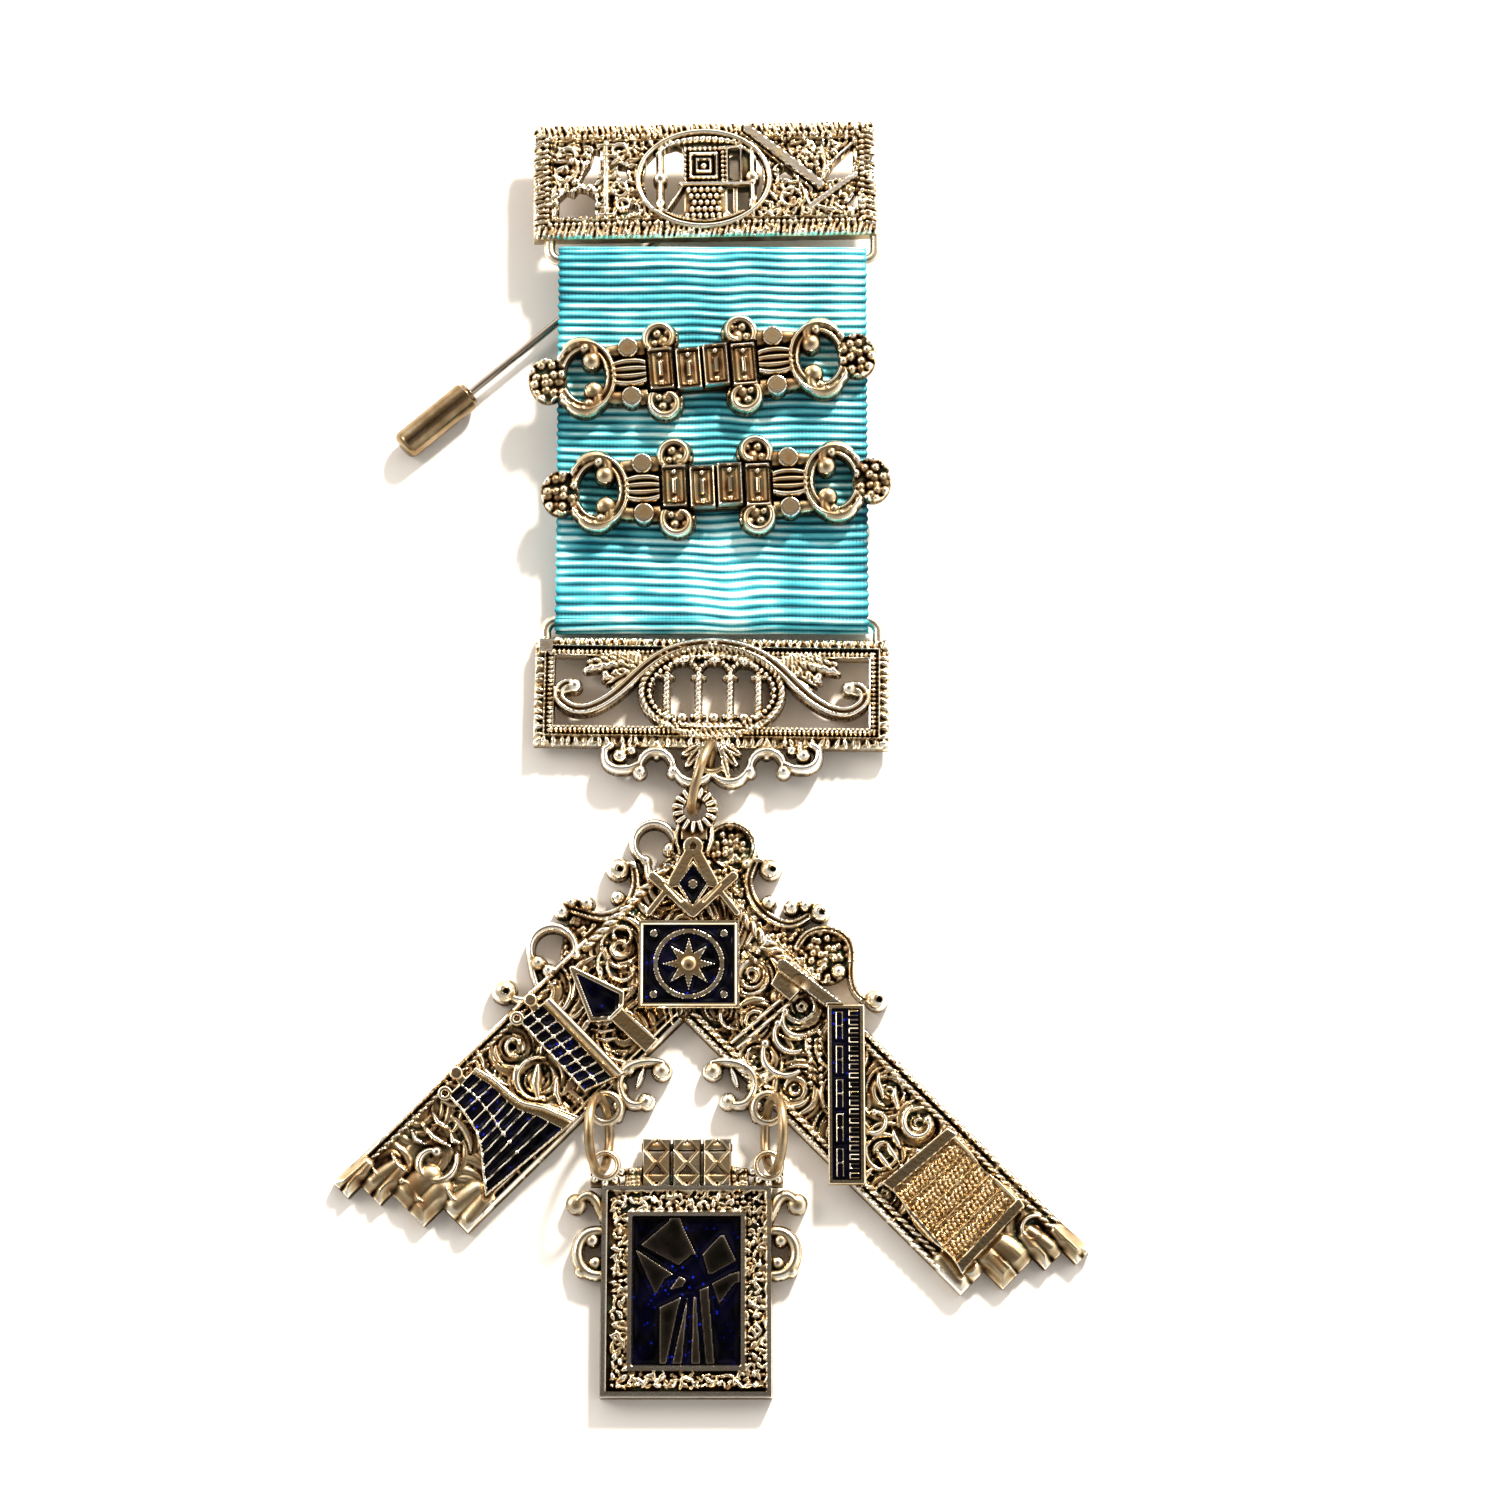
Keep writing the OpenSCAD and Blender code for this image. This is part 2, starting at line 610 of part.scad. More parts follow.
module bottom_bar() color(metal) translate(to_origin) {
    rotate([0, 0, bottom_bar_turn]) {
        layer(bottom_back, bottom_back + plate_t) {
            frame2(bottom_bar_w, bottom_bar_h, bottom_frame);
            intersection() {
                box2(bottom_bar_w - bite, bottom_bar_h - bite);
                bottom_field();
            }
        }
        layer(bottom_back + plate_t, bottom_back + plate_t + bar_relief) difference() {
            union() {
                frame2(bottom_bar_w, bottom_bar_h, rope_w);
                oval_ring(bottom_oval[0] - 0.1, bottom_oval[1] - 0.1, 0.7);
                arch_scrolls(0.9);
                for (x = pillar_places) translate([x, 0]) pillar(bottom_bar_h - 2 * rope_w - 0.4, 0.8);
            }
            translate(crest_loop + [0, 0.6]) circle(crest_loop_r + crest_loop_tube, $fn = 24);
        }
    }
    layer(bottom_back + bite, bottom_back + plate_t + 0.4 * bar_relief) difference() {
        crest_shape();
        translate(crest_loop) circle(crest_loop_r + 0.8, $fn = 24);
    }
    // Fan below the bar's middle, thin enough for the ring to pass under it
    layer(eye_z - 0.6, bottom_back + plate_t + 0.4 * bar_relief) difference() {
        translate([0, -bottom_bar_h / 2]) oval(0.72 * crest_h, crest_h);
        translate([0, crest_h - bottom_bar_h / 2 + 3 * bite]) box2(2 * crest_h, 2 * crest_h);
        translate(crest_loop) circle(crest_loop_r, $fn = 24);
    }
    eye(crest_loop, crest_loop_r, crest_loop_tube);
    translate([0, bottom_bar_h / 2, 0]) rotate([0, 0, 180]) staple(lower_rise, lower_wire_z);
}

// Jump ring that joins the eyes p and q, leaning to one side
module jump_ring(p, q, lean) color(metal) translate(to_origin) {
    half = norm(q - p) / 2;
    rise = sqrt(ring_mean_r * ring_mean_r - half * half);
    translate([(p[0] + q[0]) / 2, (p[1] + q[1]) / 2, eye_z])
        rotate([0, 0, atan2(q[1] - p[1], q[0] - p[0])]) rotate([lean, 0, 0]) translate([0, 0, rise])
            rotate([90, 0, 0]) rotate_extrude($fn = 64)
                translate([ring_mean_r, 0]) circle(ring_wire / 2, $fn = 24);
}

module top_jump_ring() jump_ring(crest_loop, eyelet, top_ring_lean);
left_loop = [inner_axis - eye_spacing / 2, side_loop_y];
right_loop = [inner_axis + eye_spacing / 2, side_loop_y];
left_eye = [left_loop[0], plaque_eye_y];
right_eye = [right_loop[0], plaque_eye_y];
module left_jump_ring() jump_ring(left_loop, left_eye, side_lean);
module right_jump_ring() jump_ring(right_loop, right_eye, -side_lean);

// Arms of the square: along an arm from the apex, and in from its outer edge
function left_arm(s, t) = arm_apex + [-s + t, -s - t] / sqrt(2);
function right_arm(s, t) = arm_apex + [s - t, -s - t] / sqrt(2);

// Stairs of an arm's end: share of the width where a step ends, share of the depth that it stands back
stairs = [[0.17, 0], [0.38, 0.3], [0.73, 0.57], [1, 1]];

module arm_outline(len, w, right) {
    function at(s, t) = right ? right_arm(s, t) : left_arm(s, t);
    polygon(concat([at(0, 0)],
        [for (i = [0:len(stairs) - 1]) for (k = [0, 1])
            at(len - stairs[i][1] * stair_depth,
                w * (k == 0 ? (i == 0 ? 0 : stairs[i - 1][0]) : stairs[i][0]))],
        [at(0, w)]));
}

module arm_borders(len, w, right) {
    function at(s, t) = right ? right_arm(s, t) : left_arm(s, t);
    inset = arm_border / 2 + 0.1;
    band([at(inset, inset), at(len - 1, inset)], arm_border, arm_border, arm_border);
    band([at((right ? left_arm_w : right_arm_w) - inset, w - inset), at(len - stair_depth - 0.3, w - inset)],
         arm_border, arm_border, arm_border);
}

// Outer scrollwork, in shares of its reach: x, y, start radius, end radius, start angle, end angle,
// width, ball
outer_scrolls = [[0.209, -0.02, 0.125, 0.12, 10, 250, 0.055, 0.03],
                 [0.725, -0.57, 0.125, 0.115, -20, 230, 0.055, 0.05]];
// Balls of the outer scrollwork in the same shares: x, y, radius
outer_balls = [[0.41, -0.14, 0.068], [0.70, -0.345, 0.046], [0.57, -0.305, 0.05], [0.405, -0.305, 0.045],
               [0.985, -0.81, 0.06]];
// Stems that carry them: start x, y, end x, y
outer_stems = [[0.33, -0.08, 0.42, -0.30], [0.41, -0.14, 0.44, -0.24], [0.57, -0.305, 0.44, -0.38],
               [0.405, -0.305, 0.46, -0.42], [0.70, -0.345, 0.62, -0.44], [0.985, -0.81, 0.80, -0.79],
               [0.57, -0.305, 0.66, -0.42]];

module outer_scrollwork() {
    u = scroll_reach;
    for (side = [0, 1]) translate(head) rotate(side == 1 ? -3.5 : 0) mirror([1 - side, 0]) {
        for (q = outer_scrolls) scroll([q[0], q[1]] * u, q[2] * u, q[3] * u, q[4], q[5], q[6] * u, q[7] * u);
        for (q = outer_balls) translate([q[0], q[1]] * u) circle(q[2] * u, $fn = 20);
        for (q = outer_stems) band([[q[0], q[1]] * u, [q[2], q[3]] * u], 0.06 * u, 0.06 * u, 0.07 * u);
        // On the right both scrolls are filled, and a leaf runs from the lower one down to the last ball
        if (side == 1) {
            for (q = outer_scrolls) translate([q[0], q[1]] * u) circle(q[2] * u, $fn = 24);
            band(curve([0.70, -0.6] * u, [0.74, -0.74] * u, [0.86, -0.76] * u, [0.985, -0.81] * u),
                 0.2 * u, 0.1 * u, 0.05 * u);
            band([[0.6, -0.5] * u, [0.74, -0.66] * u], 0.12 * u, 0.16 * u, 0.12 * u);
        }
    }
}

// Inner scrollwork: a curl under each arm that carries the loop of a side ring
module inner_scrollwork() for (side = [0, 1]) translate([inner_axis, side_loop_y]) mirror([side, 0]) {
    x = -eye_spacing / 2;
    band(curve([x + 6.6, 5.4], [x + 4, 5.6], [x + 1.4, 5], [x + 1.6, 2.4]), 0.9, 1.1, 1.1);
    band(curve([x + 1.6, 2.6], [x + 1.8, 0.8], [x + 3, 0.2], [x + 4.4, 0.6]), 1.1, 1.1, 0.9);
    translate([x + 6.5, 4.5]) circle(1.15, $fn = 20);
    translate([x + 4.6, 0.9]) circle(0.95, $fn = 20);
    band([[x + 2.2, 1.2], [x + 1.2, -1.2]], 1, 1, 1);
    band([[x + 1.6, 2.4], [x + 0.4, 3.4]], 1.2, 1.2, 1.2);
}

// Leaf scrolls raised on the arms: along the arm, in from its outer edge, radius, start angle, end angle
arm_scrolls = [[46, 0.62, 2.4, 200, 20], [42.5, 0.3, 1.7, 60, 300], [51, 0.3, 1.5, 100, -120]];

// Neck between the arms and the eyelet, and the higher block that carries the eyelet above the compasses
neck_size = [5, 7];
module square_neck() {
    translate(head + [0, -1]) box2(neck_size[0], neck_size[1]);
    translate(mix(head, eyelet, 0.45)) box2(2.6, neck_drop * 0.5);
}

module eyelet_block() {
    low = head[1] + compasses_head_r - compasses_drop + 2 * seat_gap;
    high = eyelet[1] - eyelet_r + bite;
    translate([(eyelet[0] + head[0]) / 2, (low + high) / 2]) box2(2, high - low);
}

// Shell of nested arcs on the right arm: the first one's middle from the head, its radius, and the
// step between them
shell_at = [13.4, -20.6];
shell_r = 3.4;
shell_step = 2.3;

module masons_square() color(metal) translate(to_origin) {
    layer(0, square_plate) {
        arm_outline(left_arm_len, left_arm_w, false);
        arm_outline(right_arm_len, right_arm_w, true);
    }
    layer(0.4, square_plate + square_relief) {
        outer_scrollwork();
        inner_scrollwork();
        square_neck();
    }
    layer(square_plate, square_plate + square_relief) {
        arm_borders(left_arm_len, left_arm_w, false);
        arm_borders(right_arm_len, right_arm_w, true);
        for (q = arm_scrolls) {
            scroll(left_arm(q[0], q[1] * left_arm_w), q[2], q[2] * 0.6, q[3], q[4], 0.9, 0.6);
            scroll(right_arm(q[0] + 12, q[1] * right_arm_w), q[2], q[2] * 0.6, q[4], q[3], 0.9, 0.6);
        }
        for (k = [0:2])
            band(spiral(head + shell_at - [0, shell_step * k], shell_r, shell_r, 160, 320, 10),
                0.6, 1.1, 0.6);
    }
    layer(eye_z - eyelet_tube, eye_z + eyelet_tube * 0.6) eyelet_block();
    eye(eyelet, eyelet_r, eyelet_tube);
    eye(left_loop, side_loop_r, side_loop_tube);
    eye(right_loop, side_loop_r, side_loop_tube);
    for (side = [0, 1]) translate([inner_axis, side_loop_y, 0]) mirror([side, 0, 0])
        layer(square_plate, eye_z + side_loop_tube * 0.6) {
            x = -eye_spacing / 2;
            band([[x + 1.9, 1.4], [x + 1.7, -0.6]], 1, 1, 1);
            band([[x - 0.9, 1.6], [x + 1.2, 1.8]], 0.8, 0.8, 0.8);
        }
}

// Emblem: metal plate with a sunk floor, and the enamel that fills what the raised design leaves free
module emblem_metal() {
    layer(emblem_z, emblem_top - enamel_t) children(0);
    layer(emblem_top - enamel_t, emblem_top) difference() {
        children(0);
        children(1);
    }
}

module emblem_enamel() translate([0, 0, emblem_top - enamel_t + enamel_gap])
    linear_extrude(enamel_t - 2 * enamel_gap) offset(delta = -enamel_gap) children();

// Compasses over a small square, with enamel in the diamond between them
compasses_drop = 0.5;
compasses_head_r = 1.25;
module compasses_shape() {
    h = compasses_h;
    w = compasses_w;
    leg = 1.5;
    for (s = [-1, 1]) {
        band([[0, 0], [s * w / 2, -h + leg / 2]], leg, leg, 0.7);
        band([[0, -h + 0.6], [s * 0.46 * w, -0.42 * h]], 1.2, 1.2, 1.2);
    }
    circle(compasses_head_r, $fn = 24);
    polygon(diamond(0));
}

function diamond(inset) =
    let (h = compasses_h, w = compasses_w)
    [[0, -0.2 * h - inset], [-0.2 * w + inset, -0.52 * h],
     [0, -0.88 * h + inset], [0.2 * w - inset, -0.52 * h]];

module compasses_pocket() difference() {
    polygon(diamond(0.45));
    translate([0, -0.53 * compasses_h]) circle(0.62, $fn = 20);
}

compasses_at = [head[0], head[1] - compasses_drop, 0];
module compasses() color(metal) translate(to_origin) translate(compasses_at) emblem_metal() {
    compasses_shape();
    compasses_pocket();
}
module compasses_enamel() color(enamel_blue) translate(to_origin) translate(compasses_at) emblem_enamel()
    compasses_pocket();

// Badge: a framed panel with an eight-pointed star in a ring
badge_shift = -0.45;
badge_space = 0.3;
badge_at = [head[0] + badge_shift, compasses_at[1] - compasses_h - badge_space - badge_h / 2, 0];
module star(points, r0, r1) polygon([for (i = [0:2 * points - 1])
    let (r = i % 2 == 0 ? r1 : r0, a = 180 * i / points) r * [sin(a), cos(a)]]);

module badge_pocket() difference() {
    box2(badge_w - 2 * rim_w, badge_h - 2 * rim_w);
    star(8, 0.13 * badge_h, 0.3 * badge_h);
    difference() {
        circle(0.4 * badge_h, $fn = 40);
        circle(0.345 * badge_h, $fn = 40);
    }
    for (sx = [-1, 1]) for (sy = [-1, 1])
        translate([sx * (badge_w / 2 - rim_w - 1.2), sy * (badge_h / 2 - rim_w - 1.0)])
            circle(0.45, $fn = 12);
}

module badge() color(metal) translate(to_origin) translate(badge_at) emblem_metal() {
    box2(badge_w, badge_h);
    badge_pocket();
}
module badge_enamel() color(enamel_blue)
    translate(to_origin) translate(badge_at) emblem_enamel() badge_pocket();

// Trowel: a kite blade of enamel and a slanting handle plate
trowel_blade = [[-14.2, -15.2], [-8.3, -18.1], [-8.5, -21.0], [-11.8, -21.3]];
trowel_handle = [[-8.9, -20.6], [-4.8, -24.4]];
trowel_handle_w = 1.9;
trowel_rim = 0.5;
module trowel_shape() {
    offset(delta = trowel_rim / 2) polygon(trowel_blade);
    band(trowel_handle, trowel_handle_w, trowel_handle_w, trowel_handle_w);
}
module trowel_pocket() offset(delta = -trowel_rim / 2) polygon(trowel_blade);
module on_head() translate(to_origin) translate([head[0], head[1], 0]) children();
module trowel() color(metal) on_head() emblem_metal() {
    trowel_shape();
    trowel_pocket();
}
module trowel_enamel() color(enamel_blue) on_head() emblem_enamel() trowel_pocket();

// Tiled roof between a ridge line and an eave line, with pockets for the enamel tiles
function on_roof(ridge, eave, u, v) = mix(along(ridge, u), along(eave, u), v);

// Strip of the roof from level v0 to level v1 between ridge and eave
module roof_strip(ridge, eave, v0, v1, end = 1) {
    n = 15;
    polygon(concat([for (i = [0:n]) on_roof(ridge, eave, end * i / n, v0)],
                   [for (i = [n:-1:0]) on_roof(ridge, eave, end * i / n, v1)]));
}

// Tiles: the strip below the ridge bar, cut by webs and by the gap between the rows up to its end
module roof_tiles(ridge, eave, count, first, rows_end) difference() {
    web = 0.22;
    middle = mix(first, 1, 0.5);
    offset(delta = -web) roof_strip(ridge, eave, first, 0.99);
    for (i = [1:count - 1]) let (u = i / count)
        band([on_roof(ridge, eave, u, first - 0.1), on_roof(ridge, eave, u, 1.1)], web, web, web);
    roof_strip(ridge, eave, middle - 0.02, middle + 0.02, rows_end);
}

// Corners of each roof's ridge and eave from the head, its number of tiles, and the ridge bar's share
// of its depth
upper_ridge = [[-16.6, -18.6], [-7.8, -27.6]];
upper_eave = [[-20.3, -21.5], [-12.6, -29.8]];
upper_tiles = 9;
upper_bar = 0.27;
lower_ridge = [[-25.2, -26.9], [-22.8, -28.3], [-21, -29.9], [-19.4, -30.9], [-16.7, -31.3], [-13.1, -32.7]];
lower_eave = [[-28.5, -30.3], [-26.9, -31.9], [-25.2, -34.4], [-24.6, -36.4], [-24.3, -39.3], [-23.9, -42]];
lower_tiles = 9;
lower_bar = 0.15;

module upper_roof_tiles() roof_tiles(upper_ridge, upper_eave, upper_tiles, upper_bar, 1);
module lower_roof_tiles() roof_tiles(lower_ridge, lower_eave, lower_tiles, lower_bar, 0.7);

// Curled tip at the low end of a roof's first edge, and the round finial above it
module roof_end(ridge, eave) {
    out = -left_of(unit(ridge[0] - eave[0]));
    tip = eave[0] - 0.45 * out;
    finial = mix(ridge[0], eave[0], 0.45) - 1.2 * out;
    difference() {
        translate(tip) circle(0.85, $fn = 20);
        translate(tip) circle(0.35, $fn = 16);
    }
    translate(finial) circle(0.8, $fn = 20);
    band([finial, mix(ridge[0], eave[0], 0.5) + 0.3 * out], 1, 1.2, 1.4);
}

module roof_upper() color(metal) on_head() emblem_metal() {
    union() {
        roof_strip(upper_ridge, upper_eave, 0, 1);
        roof_end(upper_ridge, upper_eave);
    }
    upper_roof_tiles();
}
module roof_upper_enamel() color(enamel_blue) on_head() emblem_enamel() upper_roof_tiles();

module roof_lower() color(metal) on_head() emblem_metal() {
    union() {
        roof_strip(lower_ridge, lower_eave, 0, 1);
        roof_end(lower_ridge, lower_eave);
    }
    lower_roof_tiles();
}
module roof_lower_enamel() color(enamel_blue) on_head() emblem_enamel() lower_roof_tiles();

// Gavel: a round-edged handle with a block head across it, whose end stops at the gauge's frame
gavel_from = [10.6, -14.9];
gavel_way = unit([7.0, -5.4]);
gavel_head_w = 2.2;
module gavel_handle(w) difference() {
    band([gavel_from, gavel_from + gavel_len * gavel_way], w, w, w);
    translate([gauge_top[0], gauge_top[1] - gauge_h / 2])
        box2(gauge_w + 2 * seat_gap, gauge_h + 2 * seat_gap);
}
module gavel() color(metal) on_head() {
    grip = gavel_from + 0.12 * gavel_len * gavel_way;
    across = left_of(gavel_way);
    layer(emblem_z, emblem_top) {
        gavel_handle(gavel_w);
        band([grip - across * 1.9, grip + across * 1.3], gavel_head_w, gavel_head_w, gavel_head_w);
    }
    layer(emblem_top, emblem_top + 0.25) gavel_handle(gavel_w / 2);
}

// Gauge: a framed strip with two columns of fret steps, placed by the middle of its top edge from the head
gauge_top = [18, -19.5];
gauge_at = [head[0] + gauge_top[0], head[1] + gauge_top[1] - gauge_h / 2, 0];
module gauge_pocket() {
    rim = rim_w - 0.1;
    w = gauge_w - 2 * rim;
    h = gauge_h - 2 * rim;
    steps = 19;
    pitch = h / steps;
    line = 0.22;
    step_h = 0.36;
    difference() {
        box2(w, h);
        translate([-0.14 * w, 0]) box2(line, h - 1);
        for (i = [0:steps - 1]) translate([0.2 * w, (i - (steps - 1) / 2) * pitch]) box2(0.36 * w, step_h);
    }
}
module gauge() color(metal) translate(to_origin) translate(gauge_at) emblem_metal() {
    box2(gauge_w, gauge_h);
    gauge_pocket();
}
module gauge_enamel() color(enamel_blue)
    translate(to_origin) translate(gauge_at) emblem_enamel() gauge_pocket();

// Scroll board: a sheet with wavy sides, a smooth bar at each end and rows of hatching. Its corners
// are set from a point on the right arm that keeps its distance from the arm's end.
board_back = 8.6;
board_at = right_arm(right_arm_len - board_back, right_arm_w / 2) - head;
board_corners = [[-5.4, 12.95], [-13.1, 6.55], [-3.9, -4.05], [3.5, 3.75]];
board = [for (c = board_corners) board_at + c];
board_relief = 0.3;
// Point on the board: share along it from its upper end, and share across it
function on_board(e, c) = mix(mix(board[0], board[3], e), mix(board[1], board[2], e), c);
module board_outline() {
    n = 12;
    function wave(i) = 0.25 * sin(540 * i / n) * [1, 1];
    polygon(concat([for (i = [0:n]) on_board(i / n, 1) + wave(i)],
                   [for (i = [n:-1:0]) on_board(i / n, 0) + wave(i)]));
}
module scroll_board() color(metal) on_head() {
    rows = 5;
    end_bar = 0.06;
    bar_w = 1.5;
    row_w = 0.8;
    layer(emblem_z, emblem_top - board_relief) board_outline();
    layer(emblem_top - board_relief, emblem_top) {
        for (e = [end_bar, 1 - end_bar]) band([on_board(e, 0), on_board(e, 1)], bar_w, bar_w, bar_w);
        for (k = [1:rows]) let (e = mix(end_bar, 1 - end_bar, k / (rows + 1)))
            band([on_board(e, 0.08), on_board(e, 0.92)], row_w, row_w, row_w);
    }
}

// Drop plaque: a framed panel with the squares on the sides of a right triangle, cut by their lines
panel_w = plaque_w - 4 * frame_w - 2 * band_w;
panel_h = plaque_h - 4 * frame_w - 2 * band_w;

// Facets of the raised figure in shares of the panel: the x and y of four corners in turn
facets = [[-0.46, 0.30, -0.11, 0.47, 0.09, 0.24, -0.07, 0.17],
          [0.15, 0.25, 0.33, 0.38, 0.46, 0.21, 0.22, 0.11],
          [-0.47, 0.26, -0.13, 0.11, -0.29, -0.02, -0.42, 0.18],
          [-0.16, 0.01, -0.07, 0.09, 0, 0.07, -0.05, 0.02],
          [0.24, 0.05, 0.47, 0.12, 0.45, 0.05, 0.31, -0.09],
          [-0.25, -0.11, -0.06, -0.05, -0.18, -0.47, -0.25, -0.47],
          [-0.02, -0.05, 0.02, -0.04, -0.03, -0.47, -0.12, -0.47],
          [0.05, -0.04, 0.09, -0.04, 0.13, -0.47, 0.05, -0.47],
          [0.12, 0, 0.2, 0.03, 0.26, -0.47, 0.19, -0.47]];

module three_squares() for (f = facets)
    polygon([for (k = [0:3]) [f[2 * k] * panel_w, f[2 * k + 1] * panel_h]]);

module plaque_pocket() difference() {
    box2(panel_w, panel_h);
    three_squares();
}

module plaque_side_scrolls() for (s = [0, 1]) mirror([s, 0]) {
    x = plaque_w / 2;
    top = plaque_h / 2;
    translate([x + 2.8, top - 2.2]) circle(1.15, $fn = 20);
    band(curve([x + 2.6, top - 2], [x + 1.2, top - 0.4], [x + 0.4, top - 1.6], [x - 0.2, top - 4]),
        1.1, 1.2, 1);
    band(curve([x - 0.3, top - 5.4], [x + 3.4, top - 4.6], [x + 3.4, top - 11], [x - 0.3, top - 10.4]),
        0.9, 1.1, 0.9);
    translate([x + 1.1, top - 8]) circle(0.9, $fn = 16);
}

module plaque_crown() {
    cells = 3;
    w = eye_spacing - 2 * plaque_eye_r - 5.4;
    cell = w / cells;
    low = plaque_h / 2 - bite;
    translate([0, low + crown_h / 2]) difference() {
        box2(w, crown_h);
        for (i = [0:cells - 1]) for (j = [-1, 1])
            translate([(i - (cells - 1) / 2) * cell, j * crown_h / 4]) box2(cell - 1.9, crown_h / 2 - 1.5);
    }
    band([[-eye_spacing / 2 - 1.6, low + 0.5], [eye_spacing / 2 + 1.6, low + 0.5]], 1.2, 1.2, 1.2);
}

plaque_at = [inner_axis, plaque_y, 0];
// Level of the pebbled band, and of the raised figure and the crown
band_z = plaque_t - 0.5;
figure_z = plaque_t - 0.2;
crown_back = 0.9;
module plaque() color(metal) translate(to_origin) {
    translate(plaque_at) {
        layer(0, panel_z) box2(plaque_w, plaque_h);
        layer(panel_z, band_z) difference() {
            box2(plaque_w, plaque_h);
            plaque_pocket();
        }
        layer(band_z, plaque_t) {
            frame2(plaque_w, plaque_h, frame_w);
            frame2(panel_w + 2 * frame_w, panel_h + 2 * frame_w, frame_w);
        }
        layer(band_z, figure_z) three_squares();
        layer(0.6, band_z + bite) plaque_side_scrolls();
        layer(crown_back, figure_z) plaque_crown();
    }
    eye_low = eye_z - 0.5;
    eye_top = eye_z + 0.2;
    for (p = [left_eye, right_eye]) {
        eye(p, plaque_eye_r, plaque_eye_tube);
        layer(eye_low, eye_top) translate(p + [0, -plaque_eye_rise / 2 - 0.6]) box2(1.2, 1.0);
        layer(crown_back, eye_top) translate(p + [0, -plaque_eye_r - plaque_eye_tube]) box2(2.2, 0.8);
    }
}
module plaque_enamel() color(enamel_blue) translate(to_origin) translate(plaque_at)
    translate([0, 0, panel_z + enamel_gap]) linear_extrude(band_z - panel_z - enamel_gap)
        offset(delta = -enamel_gap) plaque_pocket();

top_bar();
brooch_pin();
pin_guard();
ribbon();
date_bar_upper();
date_bar_lower();
bottom_bar();
top_jump_ring();
masons_square();
compasses();
compasses_enamel();
badge();
badge_enamel();
trowel();
trowel_enamel();
roof_upper();
roof_upper_enamel();
roof_lower();
roof_lower_enamel();
gavel();
gauge();
gauge_enamel();
scroll_board();
left_jump_ring();
right_jump_ring();
plaque();
plaque_enamel();
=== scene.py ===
"""Breast jewel: two cast bars, a folded ribbon with date bars, an enamelled square and a drop plaque.

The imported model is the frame. Lengths are millimetres until a mesh is made, which is in metres.
"""

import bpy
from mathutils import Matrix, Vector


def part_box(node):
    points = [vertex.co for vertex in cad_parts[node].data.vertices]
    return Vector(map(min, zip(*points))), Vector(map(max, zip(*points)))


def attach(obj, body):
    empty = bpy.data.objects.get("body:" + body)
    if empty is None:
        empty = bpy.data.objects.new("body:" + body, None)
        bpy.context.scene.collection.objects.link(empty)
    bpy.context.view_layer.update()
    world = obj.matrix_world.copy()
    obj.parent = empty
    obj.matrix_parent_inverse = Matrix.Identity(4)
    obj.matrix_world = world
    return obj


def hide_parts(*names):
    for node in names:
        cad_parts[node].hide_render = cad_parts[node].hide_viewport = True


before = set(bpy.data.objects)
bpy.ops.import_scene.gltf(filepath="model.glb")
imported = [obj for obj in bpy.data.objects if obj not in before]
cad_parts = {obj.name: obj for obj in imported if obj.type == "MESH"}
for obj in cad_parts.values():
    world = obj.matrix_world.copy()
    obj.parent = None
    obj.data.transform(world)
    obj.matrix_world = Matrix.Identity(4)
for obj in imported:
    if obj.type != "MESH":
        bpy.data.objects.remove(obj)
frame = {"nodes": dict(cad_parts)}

import copy
import logging
import math
from collections.abc import Iterator
from dataclasses import dataclass
from enum import Enum
from functools import partial

import bpy
import numpy as np
from mathutils import Matrix, geometry

MM = 0.001
LOG = logging.getLogger("jewel")
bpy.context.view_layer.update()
Array = np.ndarray
Point = tuple[float, float] | Array


class Profile(Enum):
    """Cross-section of a raised stroke."""

    ROUND = "half round"
    FLAT = "flat with a narrow bevel"
    GROOVED = "half round with a groove down its middle"
    ROPE = "half round with slanting strands"
    BEADS = "row of beads"


ROUND, FLAT, GROOVED, ROPE, BEADS = Profile


def heading(angle: float) -> Array:
    """Returns the unit vector at an angle in radians."""
    return np.array([math.cos(angle), math.sin(angle)])


def ramp(value: Array, width: float) -> Array:
    """Returns a smooth step from 0 to 1 as the value runs from 0 to the width."""
    t = np.clip(value / width, 0, 1)
    return t * t * (3 - 2 * t)


def spiral(centre: Point, start: float, end: float, first: float, last: float, count: int = 18) -> Array:
    """Returns points whose radius runs from start to end as the angle runs from first to last, in degrees."""
    t = np.linspace(0, 1, count)
    angle = np.radians(first + (last - first) * t)
    radius = start + (end - start) * t
    return np.stack([centre[0] + radius * np.cos(angle), centre[1] + radius * np.sin(angle)], 1)


def curve(*corners: Point, count: int = 14) -> Array:
    """Returns points on the cubic curve with four control points."""
    t = np.linspace(0, 1, count)[:, None]
    weights = [(1 - t) ** 3, 3 * (1 - t) ** 2 * t, 3 * (1 - t) * t ** 2, t ** 3]
    return sum(w * np.array(c, float) for w, c in zip(weights, corners))


def eased(corners: list[Point], rounds: int = 3) -> Array:
    """Returns a line with its corners cut off at their quarter points, over and over; its ends stay."""
    points = np.array(corners, float)
    for _ in range(rounds):
        a, b = points[:-1], points[1:]
        cut = np.stack([0.75 * a + 0.25 * b, 0.25 * a + 0.75 * b], 1).reshape(-1, 2)
        points = np.vstack([points[:1], cut[1:-1], points[-1:]])
    return points


def mix(a: Point, b: Point, share: float) -> Array:
    """Returns the point at a share of the way from a to b."""
    return np.array(a, float) + (np.array(b, float) - np.array(a, float)) * share


